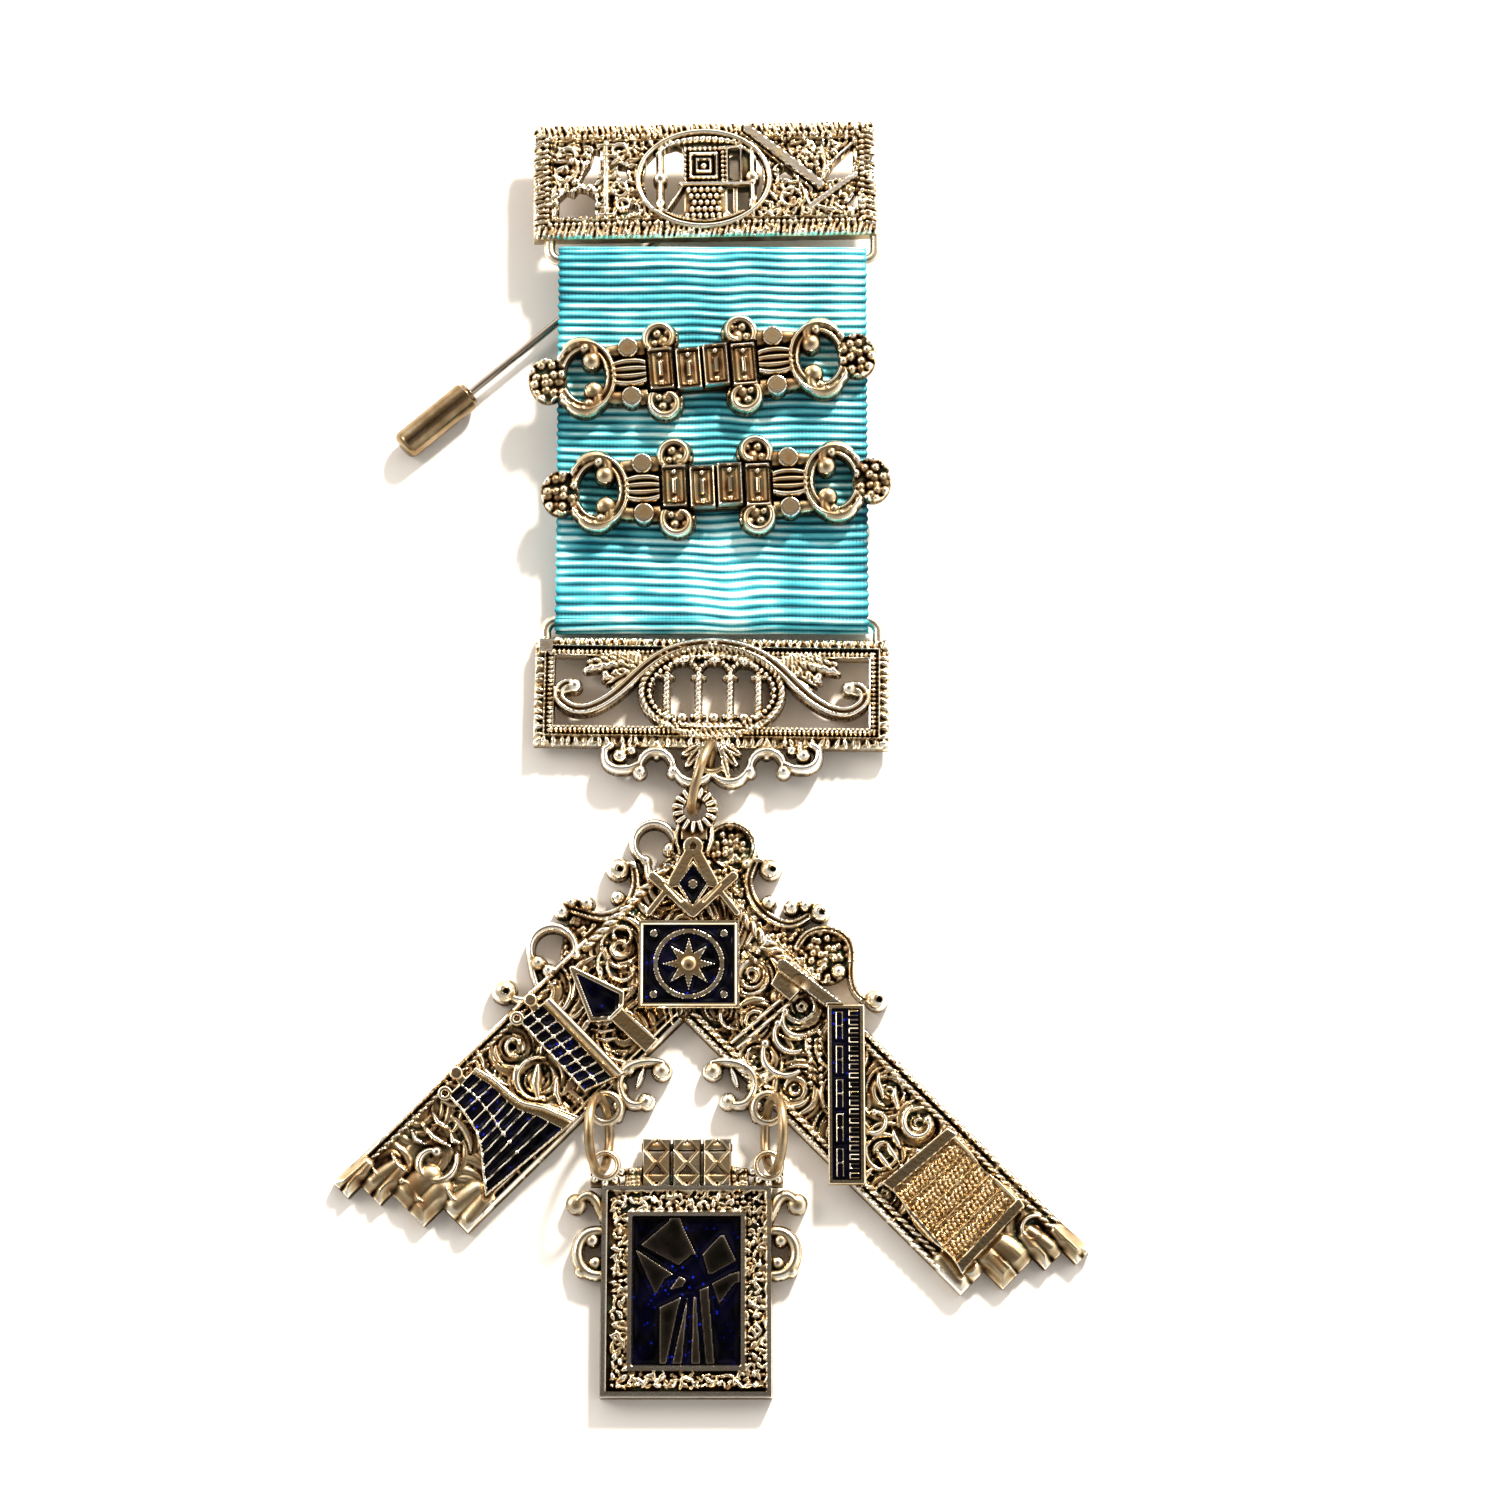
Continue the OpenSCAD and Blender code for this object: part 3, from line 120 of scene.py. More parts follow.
@dataclass
class Solid:
    """One closed shell: its points, its four- and three-sided faces, and each point's colour level, which
    stands for rubbing and tarnish and for painted shade in recesses and painted highlight on crowns.
    """

    points: Array
    quads: Array
    tris: Array
    crest: Array


@dataclass(frozen=True)
class Place:
    """Where a sub-assembly's own axes lie in the jewel: an origin and three unit axes, in millimetres."""

    origin: tuple[float, float, float]
    axes: tuple[tuple[float, float, float], ...] = ((1, 0, 0), (0, 1, 0), (0, 0, 1))

    def lay(self, points: Array) -> Array:
        """Returns the points in the jewel's frame."""
        return np.array(self.origin) + points @ np.array(self.axes, float)

    def moved(self, x: float, y: float, z: float = 0.0, turn: float = 0.0, tip: float = 0.0) -> "Place":
        """Returns this place moved along its own axes, then turned about Z or tipped about X, in degrees."""
        a, b = math.radians(turn), math.radians(tip)
        about_z = np.array([[math.cos(a), math.sin(a), 0], [-math.sin(a), math.cos(a), 0], [0, 0, 1]])
        about_x = np.array([[1, 0, 0], [0, math.cos(b), math.sin(b)], [0, -math.sin(b), math.cos(b)]])
        axes = about_x @ about_z @ np.array(self.axes, float)
        origin = self.lay(np.array([[x, y, z]], float))[0]
        return Place(tuple(origin), tuple(map(tuple, axes)))

    @property
    def mirrored(self) -> bool:
        """Whether the axes are left-handed, so that faces have to be turned over."""
        return float(np.linalg.det(np.array(self.axes, float))) < 0


class Relief:
    """A cast sheet on a grid: how far each point lies outside its outline, and how high its face stands."""

    # Strokes and balls are multiplied by this, so a pair is written once and drawn on both sides.
    flip = np.ones(2)

    def __init__(self, low: Point, high: Point, level: float, pitch: float = 0.13) -> None:
        """Lays an empty grid from low to high, with every face point at the level."""
        self.pitch = pitch
        self.level = level
        self.x, self.y = np.meshgrid(np.arange(low[0], high[0] + pitch, pitch),
                                     np.arange(low[1], high[1] + pitch, pitch))
        self.clear()

    @classmethod
    def about(cls, half_w: float, half_h: float, level: float, pitch: float = 0.13) -> "Relief":
        """Returns an empty sheet that reaches as far to all sides of its middle."""
        return cls((-half_w, -half_h), (half_w, half_h), level, pitch)

    def clear(self) -> None:
        """Empties the outline, levels the face and drops all polish."""
        self.out = np.full(self.x.shape, 9.0)
        self.face = np.full(self.x.shape, self.level)
        self.shine = np.zeros(self.x.shape)

    def both(self) -> Iterator[None]:
        """Runs the loop's strokes and balls twice, first with left and right swapped."""
        for side in (-1, 1):
            self.flip = np.array([side, 1])
            yield
        self.flip = np.ones(2)

    def near(self, points: Array, margin: float) -> tuple[slice, slice]:
        """Returns the part of the grid within the margin of the points."""
        spans = []
        for axis, start, count in ((1, self.y[0, 0], self.y.shape[0]), (0, self.x[0, 0], self.x.shape[1])):
            low = (points[:, axis].min() - margin - start) / self.pitch
            high = (points[:, axis].max() + margin - start) / self.pitch
            spans.append(slice(int(np.clip(low, 0, count)), int(np.clip(high + 2, 0, count))))
        return spans[0], spans[1]

    def to_line(self, points: Array, part: tuple[slice, slice]) -> tuple[Array, Array, Array]:
        """Finds the nearest place on a line for each grid point.

        Args:
            points: corners of the line.
            part: the part of the grid that is wanted.

        Returns:
            The signed distance (positive to the left), and the length and share along the line.
        """
        a, b = points[:-1], points[1:]
        step = b - a
        size = np.maximum(np.hypot(step[:, 0], step[:, 1]), 1e-9)
        px, py = self.x[part][..., None] - a[:, 0], self.y[part][..., None] - a[:, 1]
        share = np.clip((px * step[:, 0] + py * step[:, 1]) / size ** 2, 0, 1)
        gap = np.hypot(px - share * step[:, 0], py - share * step[:, 1])
        nearest = gap.argmin(-1)[..., None]
        side = np.take_along_axis(px * -step[:, 1] + py * step[:, 0], nearest, -1)[..., 0]
        start = np.concatenate([[0], np.cumsum(size)[:-1]])
        along = np.take_along_axis(start + share * size, nearest, -1)[..., 0]
        gap = np.take_along_axis(gap, nearest, -1)[..., 0]
        return np.where(side < 0, -gap, gap), along, along / size.sum()

    def polygon(self, corners: Array) -> Array:
        """Returns the distance outside a polygon, negative inside, by nearest side and crossing count."""
        corners = np.asarray(corners, float)
        loop = np.vstack([corners, corners[:1]])
        gap = np.abs(self.to_line(loop, np.s_[:, :])[0])
        a, b = loop[:-1], loop[1:]
        x, y = self.x[..., None], self.y[..., None]
        crosses = (a[:, 1] > y) != (b[:, 1] > y)
        rise = np.where(np.abs(b[:, 1] - a[:, 1]) < 1e-9, 1e-9, b[:, 1] - a[:, 1])
        left = x < a[:, 0] + (y - a[:, 1]) * (b[:, 0] - a[:, 0]) / rise
        inside = (crosses & left).sum(-1) % 2 == 1
        return np.where(inside, -gap, gap)

    def oval(self, cx: float, cy: float, rx: float, ry: float) -> Array:
        """Returns the distance outside an ellipse: k (k - 1) / |gradient|, where k is its scaled radius."""
        x, y = self.x - cx, self.y - cy
        k = np.hypot(x / rx, y / ry)
        slope = np.maximum(np.hypot(x / rx ** 2, y / ry ** 2), 1e-6)
        return k * (k - 1) / slope

    def box(self, cx: float, cy: float, w: float, h: float) -> Array:
        """Returns the distance outside a rectangle."""
        x, y = np.abs(self.x - cx) - w / 2, np.abs(self.y - cy) - h / 2
        return np.hypot(np.maximum(x, 0), np.maximum(y, 0)) + np.minimum(np.maximum(x, y), 0)

    def add(self, gap: Array) -> None:
        """Joins a shape, given as its distance field, to the outline."""
        self.out = np.minimum(self.out, gap)

    def cut(self, gap: Array) -> None:
        """Pierces the sheet with a shape."""
        self.out = np.maximum(self.out, -gap)

    def plate(self, gap: Array, top: float, bevel: float = 0.15, shine: float = 1.0) -> None:
        """Sets the face inside a shape to a flat top, with a bevel inwards from its edge."""
        share = ramp(-gap, bevel)
        self.face = self.face + (top - self.face) * share
        self.shine = np.maximum(self.shine * (1 - share), shine * share)

    def stroke(self, points: Array, width: float, rise: float, profile: Profile = ROUND, tip: float = 0.6,
               solid: bool = False, strand: float = 0.8, level: float | None = None) -> None:
        """Raises a band along a line.

        Args:
            points: corners of the line.
            width: width in the middle of the line.
            rise: height of the crown above the level.
            profile: the cross-section.
            tip: width at both ends as a share of the width.
            solid: whether the band is part of the outline too.
            strand: spacing of strands or beads along the band.
            level: the height that it rises from, or the sheet's level.
        """
        points = np.asarray(points, float) * self.flip
        part = self.near(points, width)
        side, along, share = self.to_line(points, part)
        half = width / 2 * (tip + (1 - tip) * np.sin(np.pi * share))
        gap = np.abs(side)
        crown = np.sqrt(np.clip(1 - (gap / half) ** 2, 0, 1))
        if profile is FLAT:
            crown = ramp(half - gap, 0.16)
        elif profile is GROOVED:
            crown = crown * (1 - 0.5 * np.exp(-(gap / (0.3 * half)) ** 2))
        elif profile is ROPE:
            turns = along / strand + side / width
            crown = crown * (0.5 + 0.5 * np.abs(np.sin(np.pi * turns)) ** 0.7)
        elif profile is BEADS:
            off = (along / strand) % 1 - 0.5
            crown = np.sqrt(np.clip(1 - (gap / half) ** 2 - (2 * off) ** 2, 0, 1))
        base = self.level if level is None else level
        raised = np.where(gap < half, base + rise * crown, -9)
        self.face[part] = np.maximum(self.face[part], raised)
        if profile is FLAT:
            self.shine[part] = np.maximum(self.shine[part], crown)
        if solid:
            self.out[part] = np.minimum(self.out[part], gap - half)

    def ball(self, centre: Point, radius: float, rise: float, solid: bool = False, flat: float = 0.0,
             level: float | None = None) -> None:
        """Raises a dome, rise * sqrt(1 - (r / radius)^2), or a disc that is flat over a share of it."""
        points = np.array([centre], float) * self.flip
        part = self.near(points, radius * 1.2)
        gap = np.hypot(self.x[part] - points[0, 0], self.y[part] - points[0, 1])
        off = np.clip((gap / radius - flat) / (1 - flat), 0, 1)
        crown = np.sqrt(np.clip(1 - off ** 2, 0, 1))
        base = self.level if level is None else level
        self.face[part] = np.maximum(self.face[part], np.where(gap < radius, base + rise * crown, -9))
        if flat > 0:
            self.shine[part] = np.maximum(self.shine[part], ramp(radius * flat - gap, 0.1))
        if solid:
            self.out[part] = np.minimum(self.out[part], gap - radius)

    def hoop(self, centre: Point, rx: float, ry: float, width: float, rise: float, profile: Profile = ROUND,
             solid: bool = False, strand: float = 0.8, count: int = 49) -> None:
        """Raises an even band along an ellipse."""
        angle = np.linspace(0, 2 * np.pi, count)
        rim = np.stack([centre[0] + rx * np.cos(angle), centre[1] + ry * np.sin(angle)], 1)
        self.stroke(rim, width, rise, profile, 1.0, solid, strand)

    def border(self, centre: Point, half_w: float, half_h: float, width: float, rise: float, profile: Profile,
               strand: float) -> None:
        """Raises four straight bands round a rectangle."""
        x, y = centre
        left, right, low, high = x - half_w, x + half_w, y - half_h, y + half_h
        loop = [(left, low), (right, low), (right, high), (left, high), (left, low)]
        for start, end in zip(loop, loop[1:]):
            self.stroke([start, end], width, rise, profile, 1.0, strand=strand)

    def scroll(self, centre: Point, start: float, end: float, first: float, last: float, width: float,
               rise: float, ball: float = 0.0) -> None:
        """Raises a spiral band that may end in a ball."""
        points = spiral(centre, start, end, first, last)
        self.stroke(points, width, rise, tip=0.65)
        if ball:
            self.ball(points[-1], ball, rise * 1.15)

    def pebbles(self, share: Array, size: float, rise: float, seed: int) -> None:
        """Packs round grains where the share is one: the crown of the nearest grain of a jittered grid."""
        rng = np.random.default_rng(seed)
        col, row = np.floor(self.x / size).astype(int), np.floor(self.y / size).astype(int)
        shape = (row.max() - row.min() + 3, col.max() - col.min() + 3)
        shift = rng.uniform(-0.34, 0.34, (*shape, 2))
        lift = rng.uniform(0.45, 1.0, shape)
        crown = np.zeros(self.x.shape)
        for down in (-1, 0, 1):
            for across in (-1, 0, 1):
                i, j = row - row.min() + 1 + down, col - col.min() + 1 + across
                dx = self.x / size - (col + across + 0.5 + shift[i, j, 0])
                dy = self.y / size - (row + down + 0.5 + shift[i, j, 1])
                crown = np.maximum(crown, lift[i, j] * np.sqrt(np.clip(1 - (dx ** 2 + dy ** 2) / 0.36, 0, 1)))
        self.face = self.face + share * rise * crown

    def shell(self, gap: Array, low: float, rise: float, size: float, seed: int) -> None:
        """Joins a shape to the outline as a sunk ground full of grains."""
        share = ramp(-gap, 0.2)
        self.add(gap)
        self.face = self.face + (low - self.face) * share
        self.pebbles(share, size, rise, seed)

    def gravel(self, gap: Array, spacing: float, rise: float, seed: int) -> None:
        """Strews short stubs of uneven width and direction over a shape, given as its distance field."""
        rng = np.random.default_rng(seed)
        for x in np.arange(self.x.min(), self.x.max(), spacing):
            for y in np.arange(self.y.min(), self.y.max(), spacing):
                spot = np.array((x, y)) + rng.uniform(-0.35, 0.35, 2) * spacing
                turn, reach, width, up = rng.uniform((0, 0.1, 0.5, 0.5), (np.pi, 0.5, 0.8, 1.0))
                i = min(int((y - self.y[0, 0]) / self.pitch), gap.shape[0] - 1)
                j = min(int((x - self.x[0, 0]) / self.pitch), gap.shape[1] - 1)
                if gap[i, j] < 0:
                    way = heading(turn) * reach
                    self.stroke([spot - way, spot + way], width, rise * up, tip=0.6)

    def crest(self) -> Array:
        """Returns how far each point stands above its surroundings, from 0 in a recess to 1 on a crown."""
        rough = np.where(self.out < 0, self.face, self.level - 0.4)
        smooth = rough
        cells = max(2, int(0.45 / self.pitch))
        for _ in range(2):
            for axis in (0, 1):
                pad = [(cells + 1, cells) if a == axis else (0, 0) for a in (0, 1)]
                total = np.cumsum(np.pad(smooth, pad, mode="edge"), axis)
                n = smooth.shape[axis]
                high = np.take(total, np.arange(2 * cells + 1, 2 * cells + 1 + n), axis)
                smooth = (high - np.take(total, np.arange(n), axis)) / (2 * cells + 1)
        # This level colours the metal: low in recesses for tarnish and painted shade, high on crowns for
        # rubbed brightness and painted highlight.
        return np.clip(0.52 + (rough - smooth) / 0.75 + 0.1 * self.shine, 0, 1)

    def outside(self, points: Array) -> Array:
        """Returns the distance outside the outline at any points, from the four grid points round each."""
        u, v = ((points - (self.x[0, 0], self.y[0, 0])) / self.pitch).T
        i = np.clip(v.astype(int), 0, self.out.shape[0] - 2)
        j = np.clip(u.astype(int), 0, self.out.shape[1] - 2)
        u, v = u - j, v - i
        low = self.out[i, j] * (1 - u) + self.out[i, j + 1] * u
        high = self.out[i + 1, j] * (1 - u) + self.out[i + 1, j + 1] * u
        return low * (1 - v) + high * v

    def close_loops(self, points: Array, sides: Array) -> Array:
        """Fills the border's loops with triangles that face down, and leaves the holes open.

        Args:
            points: the loops' points, in the plane.
            sides: pairs of points.

        Returns:
            Triangles as indices of the points.
        """
        corners = [tuple(p) for p in points.tolist()]
        made = geometry.delaunay_2d_cdt(corners, sides.tolist(), [], 0, 1e-9, True)
        source = np.array([first[0] if first else -1 for first in made[3]])
        tris = source[np.array(made[2])]
        tris = tris[(tris >= 0).all(1)]
        a, b, c = (points[tris[:, k]] for k in range(3))
        tris = tris[self.outside((a + b + c) / 3) < 0]
        a, b, c = (points[tris[:, k]] for k in range(3))
        area = (b[:, 0] - a[:, 0]) * (c[:, 1] - a[:, 1]) - (b[:, 1] - a[:, 1]) * (c[:, 0] - a[:, 0])
        return np.where((area > 0)[:, None], tris[:, ::-1], tris)

    def solid(self, back: float, edge: float = 0.22) -> Solid:
        """Makes the closed sheet.

        The outline is where the distance field crosses zero: each grid cell is clipped by it, which gives
        the face and its border. A wall runs down from the border, and a flat back closes it.

        Args:
            back: height of the flat back.
            edge: radius of the rounding along the border.

        Returns:
            The sheet in its own axes.
        """
        rows, cols = self.x.shape
        inner = np.clip(-self.out / edge, 0, 1)
        drop = edge * (1 - np.sqrt(1 - (1 - inner) ** 2))
        face = np.maximum(self.face - drop, back + 0.1)
        crest = self.crest()
        inside = self.out < 0
        ids = np.arange(rows * cols).reshape(rows, cols)
        side_x = rows * cols + np.arange(rows * (cols - 1)).reshape(rows, cols - 1)
        side_y = side_x[-1, -1] + 1 + np.arange((rows - 1) * cols).reshape(rows - 1, cols)
        field = np.stack([self.x, self.y, face, crest], -1)

        def crossing(a: np.s_, b: np.s_) -> Array:
            """Returns the grid's values where the outline crosses the sides from a to b."""
            with np.errstate(divide="ignore", invalid="ignore"):
                t = np.where(inside[a] != inside[b], self.out[a] / (self.out[a] - self.out[b]), 0.5)
            t = np.clip(t, 0.04, 0.96)[..., None]
            return field[a] * (1 - t) + field[b] * t

        table = np.vstack([field.reshape(-1, 4), crossing(np.s_[:, :-1], np.s_[:, 1:]).reshape(-1, 4),
                           crossing(np.s_[:-1, :], np.s_[1:, :]).reshape(-1, 4)])
        corner = [ids[:-1, :-1], ids[:-1, 1:], ids[1:, 1:], ids[1:, :-1],
                  side_x[:-1], side_y[:, 1:], side_x[1:], side_y[:, :-1]]
        code = sum(inside.ravel()[corner[k]].astype(int) << k for k in range(4))
        quads, tris, border = [], [], []
        for mask in range(1, 16):
            here = code == mask
            if not here.any():
                continue
            walk = []
            for k in range(4):
                if mask >> k & 1:
                    walk.append(k)
                if (mask >> k & 1) != (mask >> (k + 1) % 4 & 1):
                    walk.append(4 + k)
            ring = np.stack([corner[k][here] for k in walk], 1)
            if mask == 15:
                quads.append(ring)
                continue
            tris += [ring[:, [0, k, k + 1]] for k in range(1, len(walk) - 1)]
            for k, after in zip(range(len(walk)), list(range(1, len(walk))) + [0]):
                if walk[k] > 3 and walk[after] > 3:
                    border.append(ring[:, [k, after]])
        quads, tris, border = np.vstack(quads), np.vstack(tris), np.vstack(border)
        used, flat = np.unique(np.concatenate([quads.ravel(), tris.ravel()]), return_inverse=True)
        top = table[used]
        quads, tris = flat[:quads.size].reshape(-1, 4), flat[quads.size:].reshape(-1, 3)
        rim = np.searchsorted(used, border)
        rim_ids, low = np.unique(rim, return_inverse=True)
        low = low.reshape(-1, 2)
        count = len(top)
        under = np.column_stack([top[rim_ids, 0], top[rim_ids, 1], np.full(len(rim_ids), back)])
        walls = np.stack([rim[:, 1], rim[:, 0], count + low[:, 0], count + low[:, 1]], 1)
        closing = self.close_loops(under[:, :2], low)
        # The face points keep their level of rubbing with painted shade and highlight; the back gets a
        # middling one.
        wear_and_shade = np.concatenate([top[:, 3], np.full(len(under), 0.45)])
        return Solid(np.vstack([top[:, :3], under]), np.vstack([quads, walls]),
                     np.vstack([tris, count + closing]), wear_and_shade)


class Seen(Relief):
    """Another relief's grid in the axes of a different place, to measure what lies over it."""

    def __init__(self, other: Relief, place: Place, axes: Place) -> None:
        """Carries the other relief's points from its own place into the axes."""
        flat = np.stack([other.x, other.y, np.zeros(other.x.shape)], -1).reshape(-1, 3)
        points = (place.lay(flat) - np.array(axes.origin)) @ np.array(axes.axes, float).T
        self.x, self.y = (points[:, k].reshape(other.x.shape) for k in (0, 1))
        self.pitch, self.level = other.pitch, 0.0
        self.clear()

    def near(self, points: Array, margin: float) -> tuple[slice, slice]:
        """Returns the whole grid, which needn't run along these axes."""
        return np.s_[:, :]


def grid_faces(rows: int, cols: int, round_rows: bool, round_cols: bool) -> Array:
    """Returns the quads of a grid of points that may close on itself in either direction."""
    i = np.arange(rows if round_rows else rows - 1)[:, None]
    j = np.arange(cols if round_cols else cols - 1)[None, :]
    up, over = (i + 1) % rows, (j + 1) % cols
    return np.stack([i * cols + j, i * cols + over, up * cols + over, up * cols + j], -1).reshape(-1, 4)


def tube(path: Array, normal: Array, radius: Array | float, sides: int = 14, closed: bool = False,
         crest: float = 0.75) -> Solid:
    """Carries a circle along a flat path.

    A point is path + r (cos a * across + sin a * normal), where across is at right angles to the path.

    Args:
        path: points of the path.
        normal: unit vector at right angles to the path's plane.
        radius: one radius, or one for each point.
        sides: corners of the circle.
        closed: whether the path is a ring.
        crest: the point on the metal's colour ramp, which runs from tarnish and painted shade to rubbed
            brightness and painted highlight.

    Returns:
        The tube, with flat ends where it isn't a ring.
    """
    path, normal = np.asarray(path, float), np.asarray(normal, float)
    ahead = np.roll(path, -1, 0) - np.roll(path, 1, 0) if closed else np.gradient(path, axis=0)
    ahead = ahead / np.linalg.norm(ahead, axis=1, keepdims=True)
    across = np.cross(ahead, normal)
    angle = np.linspace(0, 2 * np.pi, sides, endpoint=False)
    radius = np.broadcast_to(np.asarray(radius, float), (len(path),))[:, None, None]
    ring = np.cos(angle)[None, :, None] * across[:, None] + np.sin(angle)[None, :, None] * normal
    points = (path[:, None] + radius * ring).reshape(-1, 3)
    quads = grid_faces(len(path), sides, closed, True)[:, ::-1]
    tris = np.zeros((0, 3), int)
    if not closed:
        around = np.arange(sides)
        last = (len(path) - 1) * sides
        first_cap = np.stack([np.full(sides, len(points)), around, (around + 1) % sides], 1)
        last_cap = np.stack([np.full(sides, len(points) + 1), last + (around + 1) % sides, last + around], 1)
        points = np.vstack([points, path[0], path[-1]])
        tris = np.vstack([first_cap, last_cap])[:, ::-1]
    return Solid(points, quads, tris, np.full(len(points), crest))


def ring(centre: Array, normal: Array, start: Array, radius: float, wire: float, sides: int = 16,
         steps: int = 72, crest: float = 0.75) -> Solid:
    """Makes a closed wire ring in the plane of a normal; the start vector lies in that plane."""
    normal, start = np.asarray(normal, float), np.asarray(start, float)
    angle = np.linspace(0, 2 * np.pi, steps, endpoint=False)[:, None]
    way = np.cos(angle) * start + np.sin(angle) * np.cross(normal, start)
    return tube(np.asarray(centre, float) + radius * way, normal, wire / 2, sides, True, crest)


def lathe(profile: Array, sides: int = 40, crest: float = 0.8) -> Solid:
    """Turns a profile of (radius, height) pairs about Z and closes its two poles."""
    profile = np.asarray(profile, float)
    angle = np.linspace(0, 2 * np.pi, sides, endpoint=False)
    x, y = profile[:, :1] * np.cos(angle), profile[:, :1] * np.sin(angle)
    points = np.stack([x, y, np.broadcast_to(profile[:, 1:], x.shape)], -1).reshape(-1, 3)
    quads = grid_faces(len(profile), sides, False, True)
    around, last = np.arange(sides), (len(profile) - 1) * sides
    low = np.stack([np.full(sides, len(points)), (around + 1) % sides, around], 1)
    high = np.stack([np.full(sides, len(points) + 1), last + around, last + (around + 1) % sides], 1)
    ends = np.array([[0, 0, profile[0, 1]], [0, 0, profile[-1, 1]]])
    points = np.vstack([points, ends])
    return Solid(points, quads, np.vstack([low, high]), np.full(len(points), crest))


def laid(solid: Solid, place: Place) -> Solid:
    """Returns the solid moved to its place, with its faces turned over where the axes are left-handed."""
    quads, tris = (solid.quads[:, ::-1], solid.tris[:, ::-1]) if place.mirrored else (solid.quads, solid.tris)
    return Solid(place.lay(solid.points), quads, tris, solid.crest)


def make_piece(name: str, solids: list[Solid], node: str, finish: "Finish | None" = None, body: str = "jewel",
               crease: float = 48.0) -> bpy.types.Object:
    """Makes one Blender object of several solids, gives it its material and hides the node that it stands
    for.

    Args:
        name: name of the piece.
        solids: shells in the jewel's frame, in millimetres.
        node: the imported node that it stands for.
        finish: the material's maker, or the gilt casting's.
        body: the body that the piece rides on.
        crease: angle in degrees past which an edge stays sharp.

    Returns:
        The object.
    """
    start = np.cumsum([0] + [len(s.points) for s in solids])
    points = np.vstack([s.points for s in solids]) * MM
    quads = np.vstack([s.quads + n for s, n in zip(solids, start)]).astype(np.int32)
    tris = np.vstack([s.tris.reshape(-1, 3) + n for s, n in zip(solids, start)]).astype(np.int32)
    mesh = bpy.data.meshes.new(name)
    mesh.vertices.add(len(points))
    mesh.vertices.foreach_set("co", points.astype(np.float32).ravel())
    mesh.loops.add(quads.size + tris.size)
    mesh.polygons.add(len(quads) + len(tris))
    starts = np.concatenate([np.arange(len(quads)) * 4, quads.size + np.arange(len(tris)) * 3])
    mesh.polygons.foreach_set("loop_start", starts.astype(np.int32))
    mesh.polygons.foreach_set("vertices", np.concatenate([quads.ravel(), tris.ravel()]))
    mesh.update(calc_edges=True)
    mesh.shade_smooth()
    mesh.set_sharp_from_angle(angle=math.radians(crease))
    # The crest attribute carries rubbing with painted shade and highlight to the material.
    wear_and_shade = mesh.attributes.new("crest", "FLOAT", "POINT")
    wear_and_shade.data.foreach_set("value", np.concatenate([s.crest for s in solids]).astype(np.float32))
    mesh.materials.append((finish or CAST).material())
    piece = bpy.data.objects.new(name, mesh)
    bpy.context.scene.collection.objects.link(piece)
    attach(piece, body)
    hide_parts(node)
    LOG.info("%s: %d triangles", name, 2 * len(quads) + len(tris))
    return piece


def linear(hex_colour: str) -> tuple[float, float, float, float]:
    """Returns an sRGB hex colour as linear red, green, blue and alpha."""
    channels = [int(hex_colour[k:k + 2], 16) / 255 for k in (1, 3, 5)]
    return (*[c / 12.92 if c <= 0.04045 else ((c + 0.055) / 1.055) ** 2.4 for c in channels], 1.0)


def add_node(tree: bpy.types.NodeTree, kind: str, inputs: dict | None = None, **settings) -> bpy.types.Node:
    """Adds one node.

    Args:
        tree: the tree that it goes into.
        kind: the shader node's type.
        inputs: socket name or number to a value, or to another node's output socket.
        settings: the node's own properties.

    Returns:
        The node.
    """
    node = tree.nodes.new("ShaderNode" + kind)
    for name, value in settings.items():
        setattr(node, name, value)
    for name, value in (inputs or {}).items():
        if isinstance(value, bpy.types.NodeSocket):
            tree.links.new(value, node.inputs[name])
        else:
            node.inputs[name].default_value = value
    return node


def colour_ramp(tree: bpy.types.NodeTree, factor: bpy.types.NodeSocket,
                stops: tuple[tuple[float, str], ...]) -> bpy.types.NodeSocket:
    """Adds a ramp through (position, hex colour) stops and returns its colour."""
    node = add_node(tree, "ValToRGB", {"Fac": factor})
    while len(node.color_ramp.elements) < len(stops):
        node.color_ramp.elements.new(0.5)
    for element, (position, colour) in zip(node.color_ramp.elements, stops):
        element.position = position
        element.color = linear(colour)
    return node.outputs["Color"]


class Finish:
    """Maker of one procedural material, kept once made."""

    name: str

    def dress(self, tree: bpy.types.NodeTree, shader: bpy.types.Node) -> None:
        """Adds the material's nodes; each finish has its own."""
        raise NotImplementedError

    def material(self) -> bpy.types.Material:
        """Returns the material, made the first time."""
        made = bpy.data.materials.get(self.name)
        if made is None:
            made = bpy.data.materials.new(self.name)
            made.use_nodes = True
            shader = made.node_tree.nodes["Principled BSDF"]
            self.dress(made.node_tree, shader)
        return made


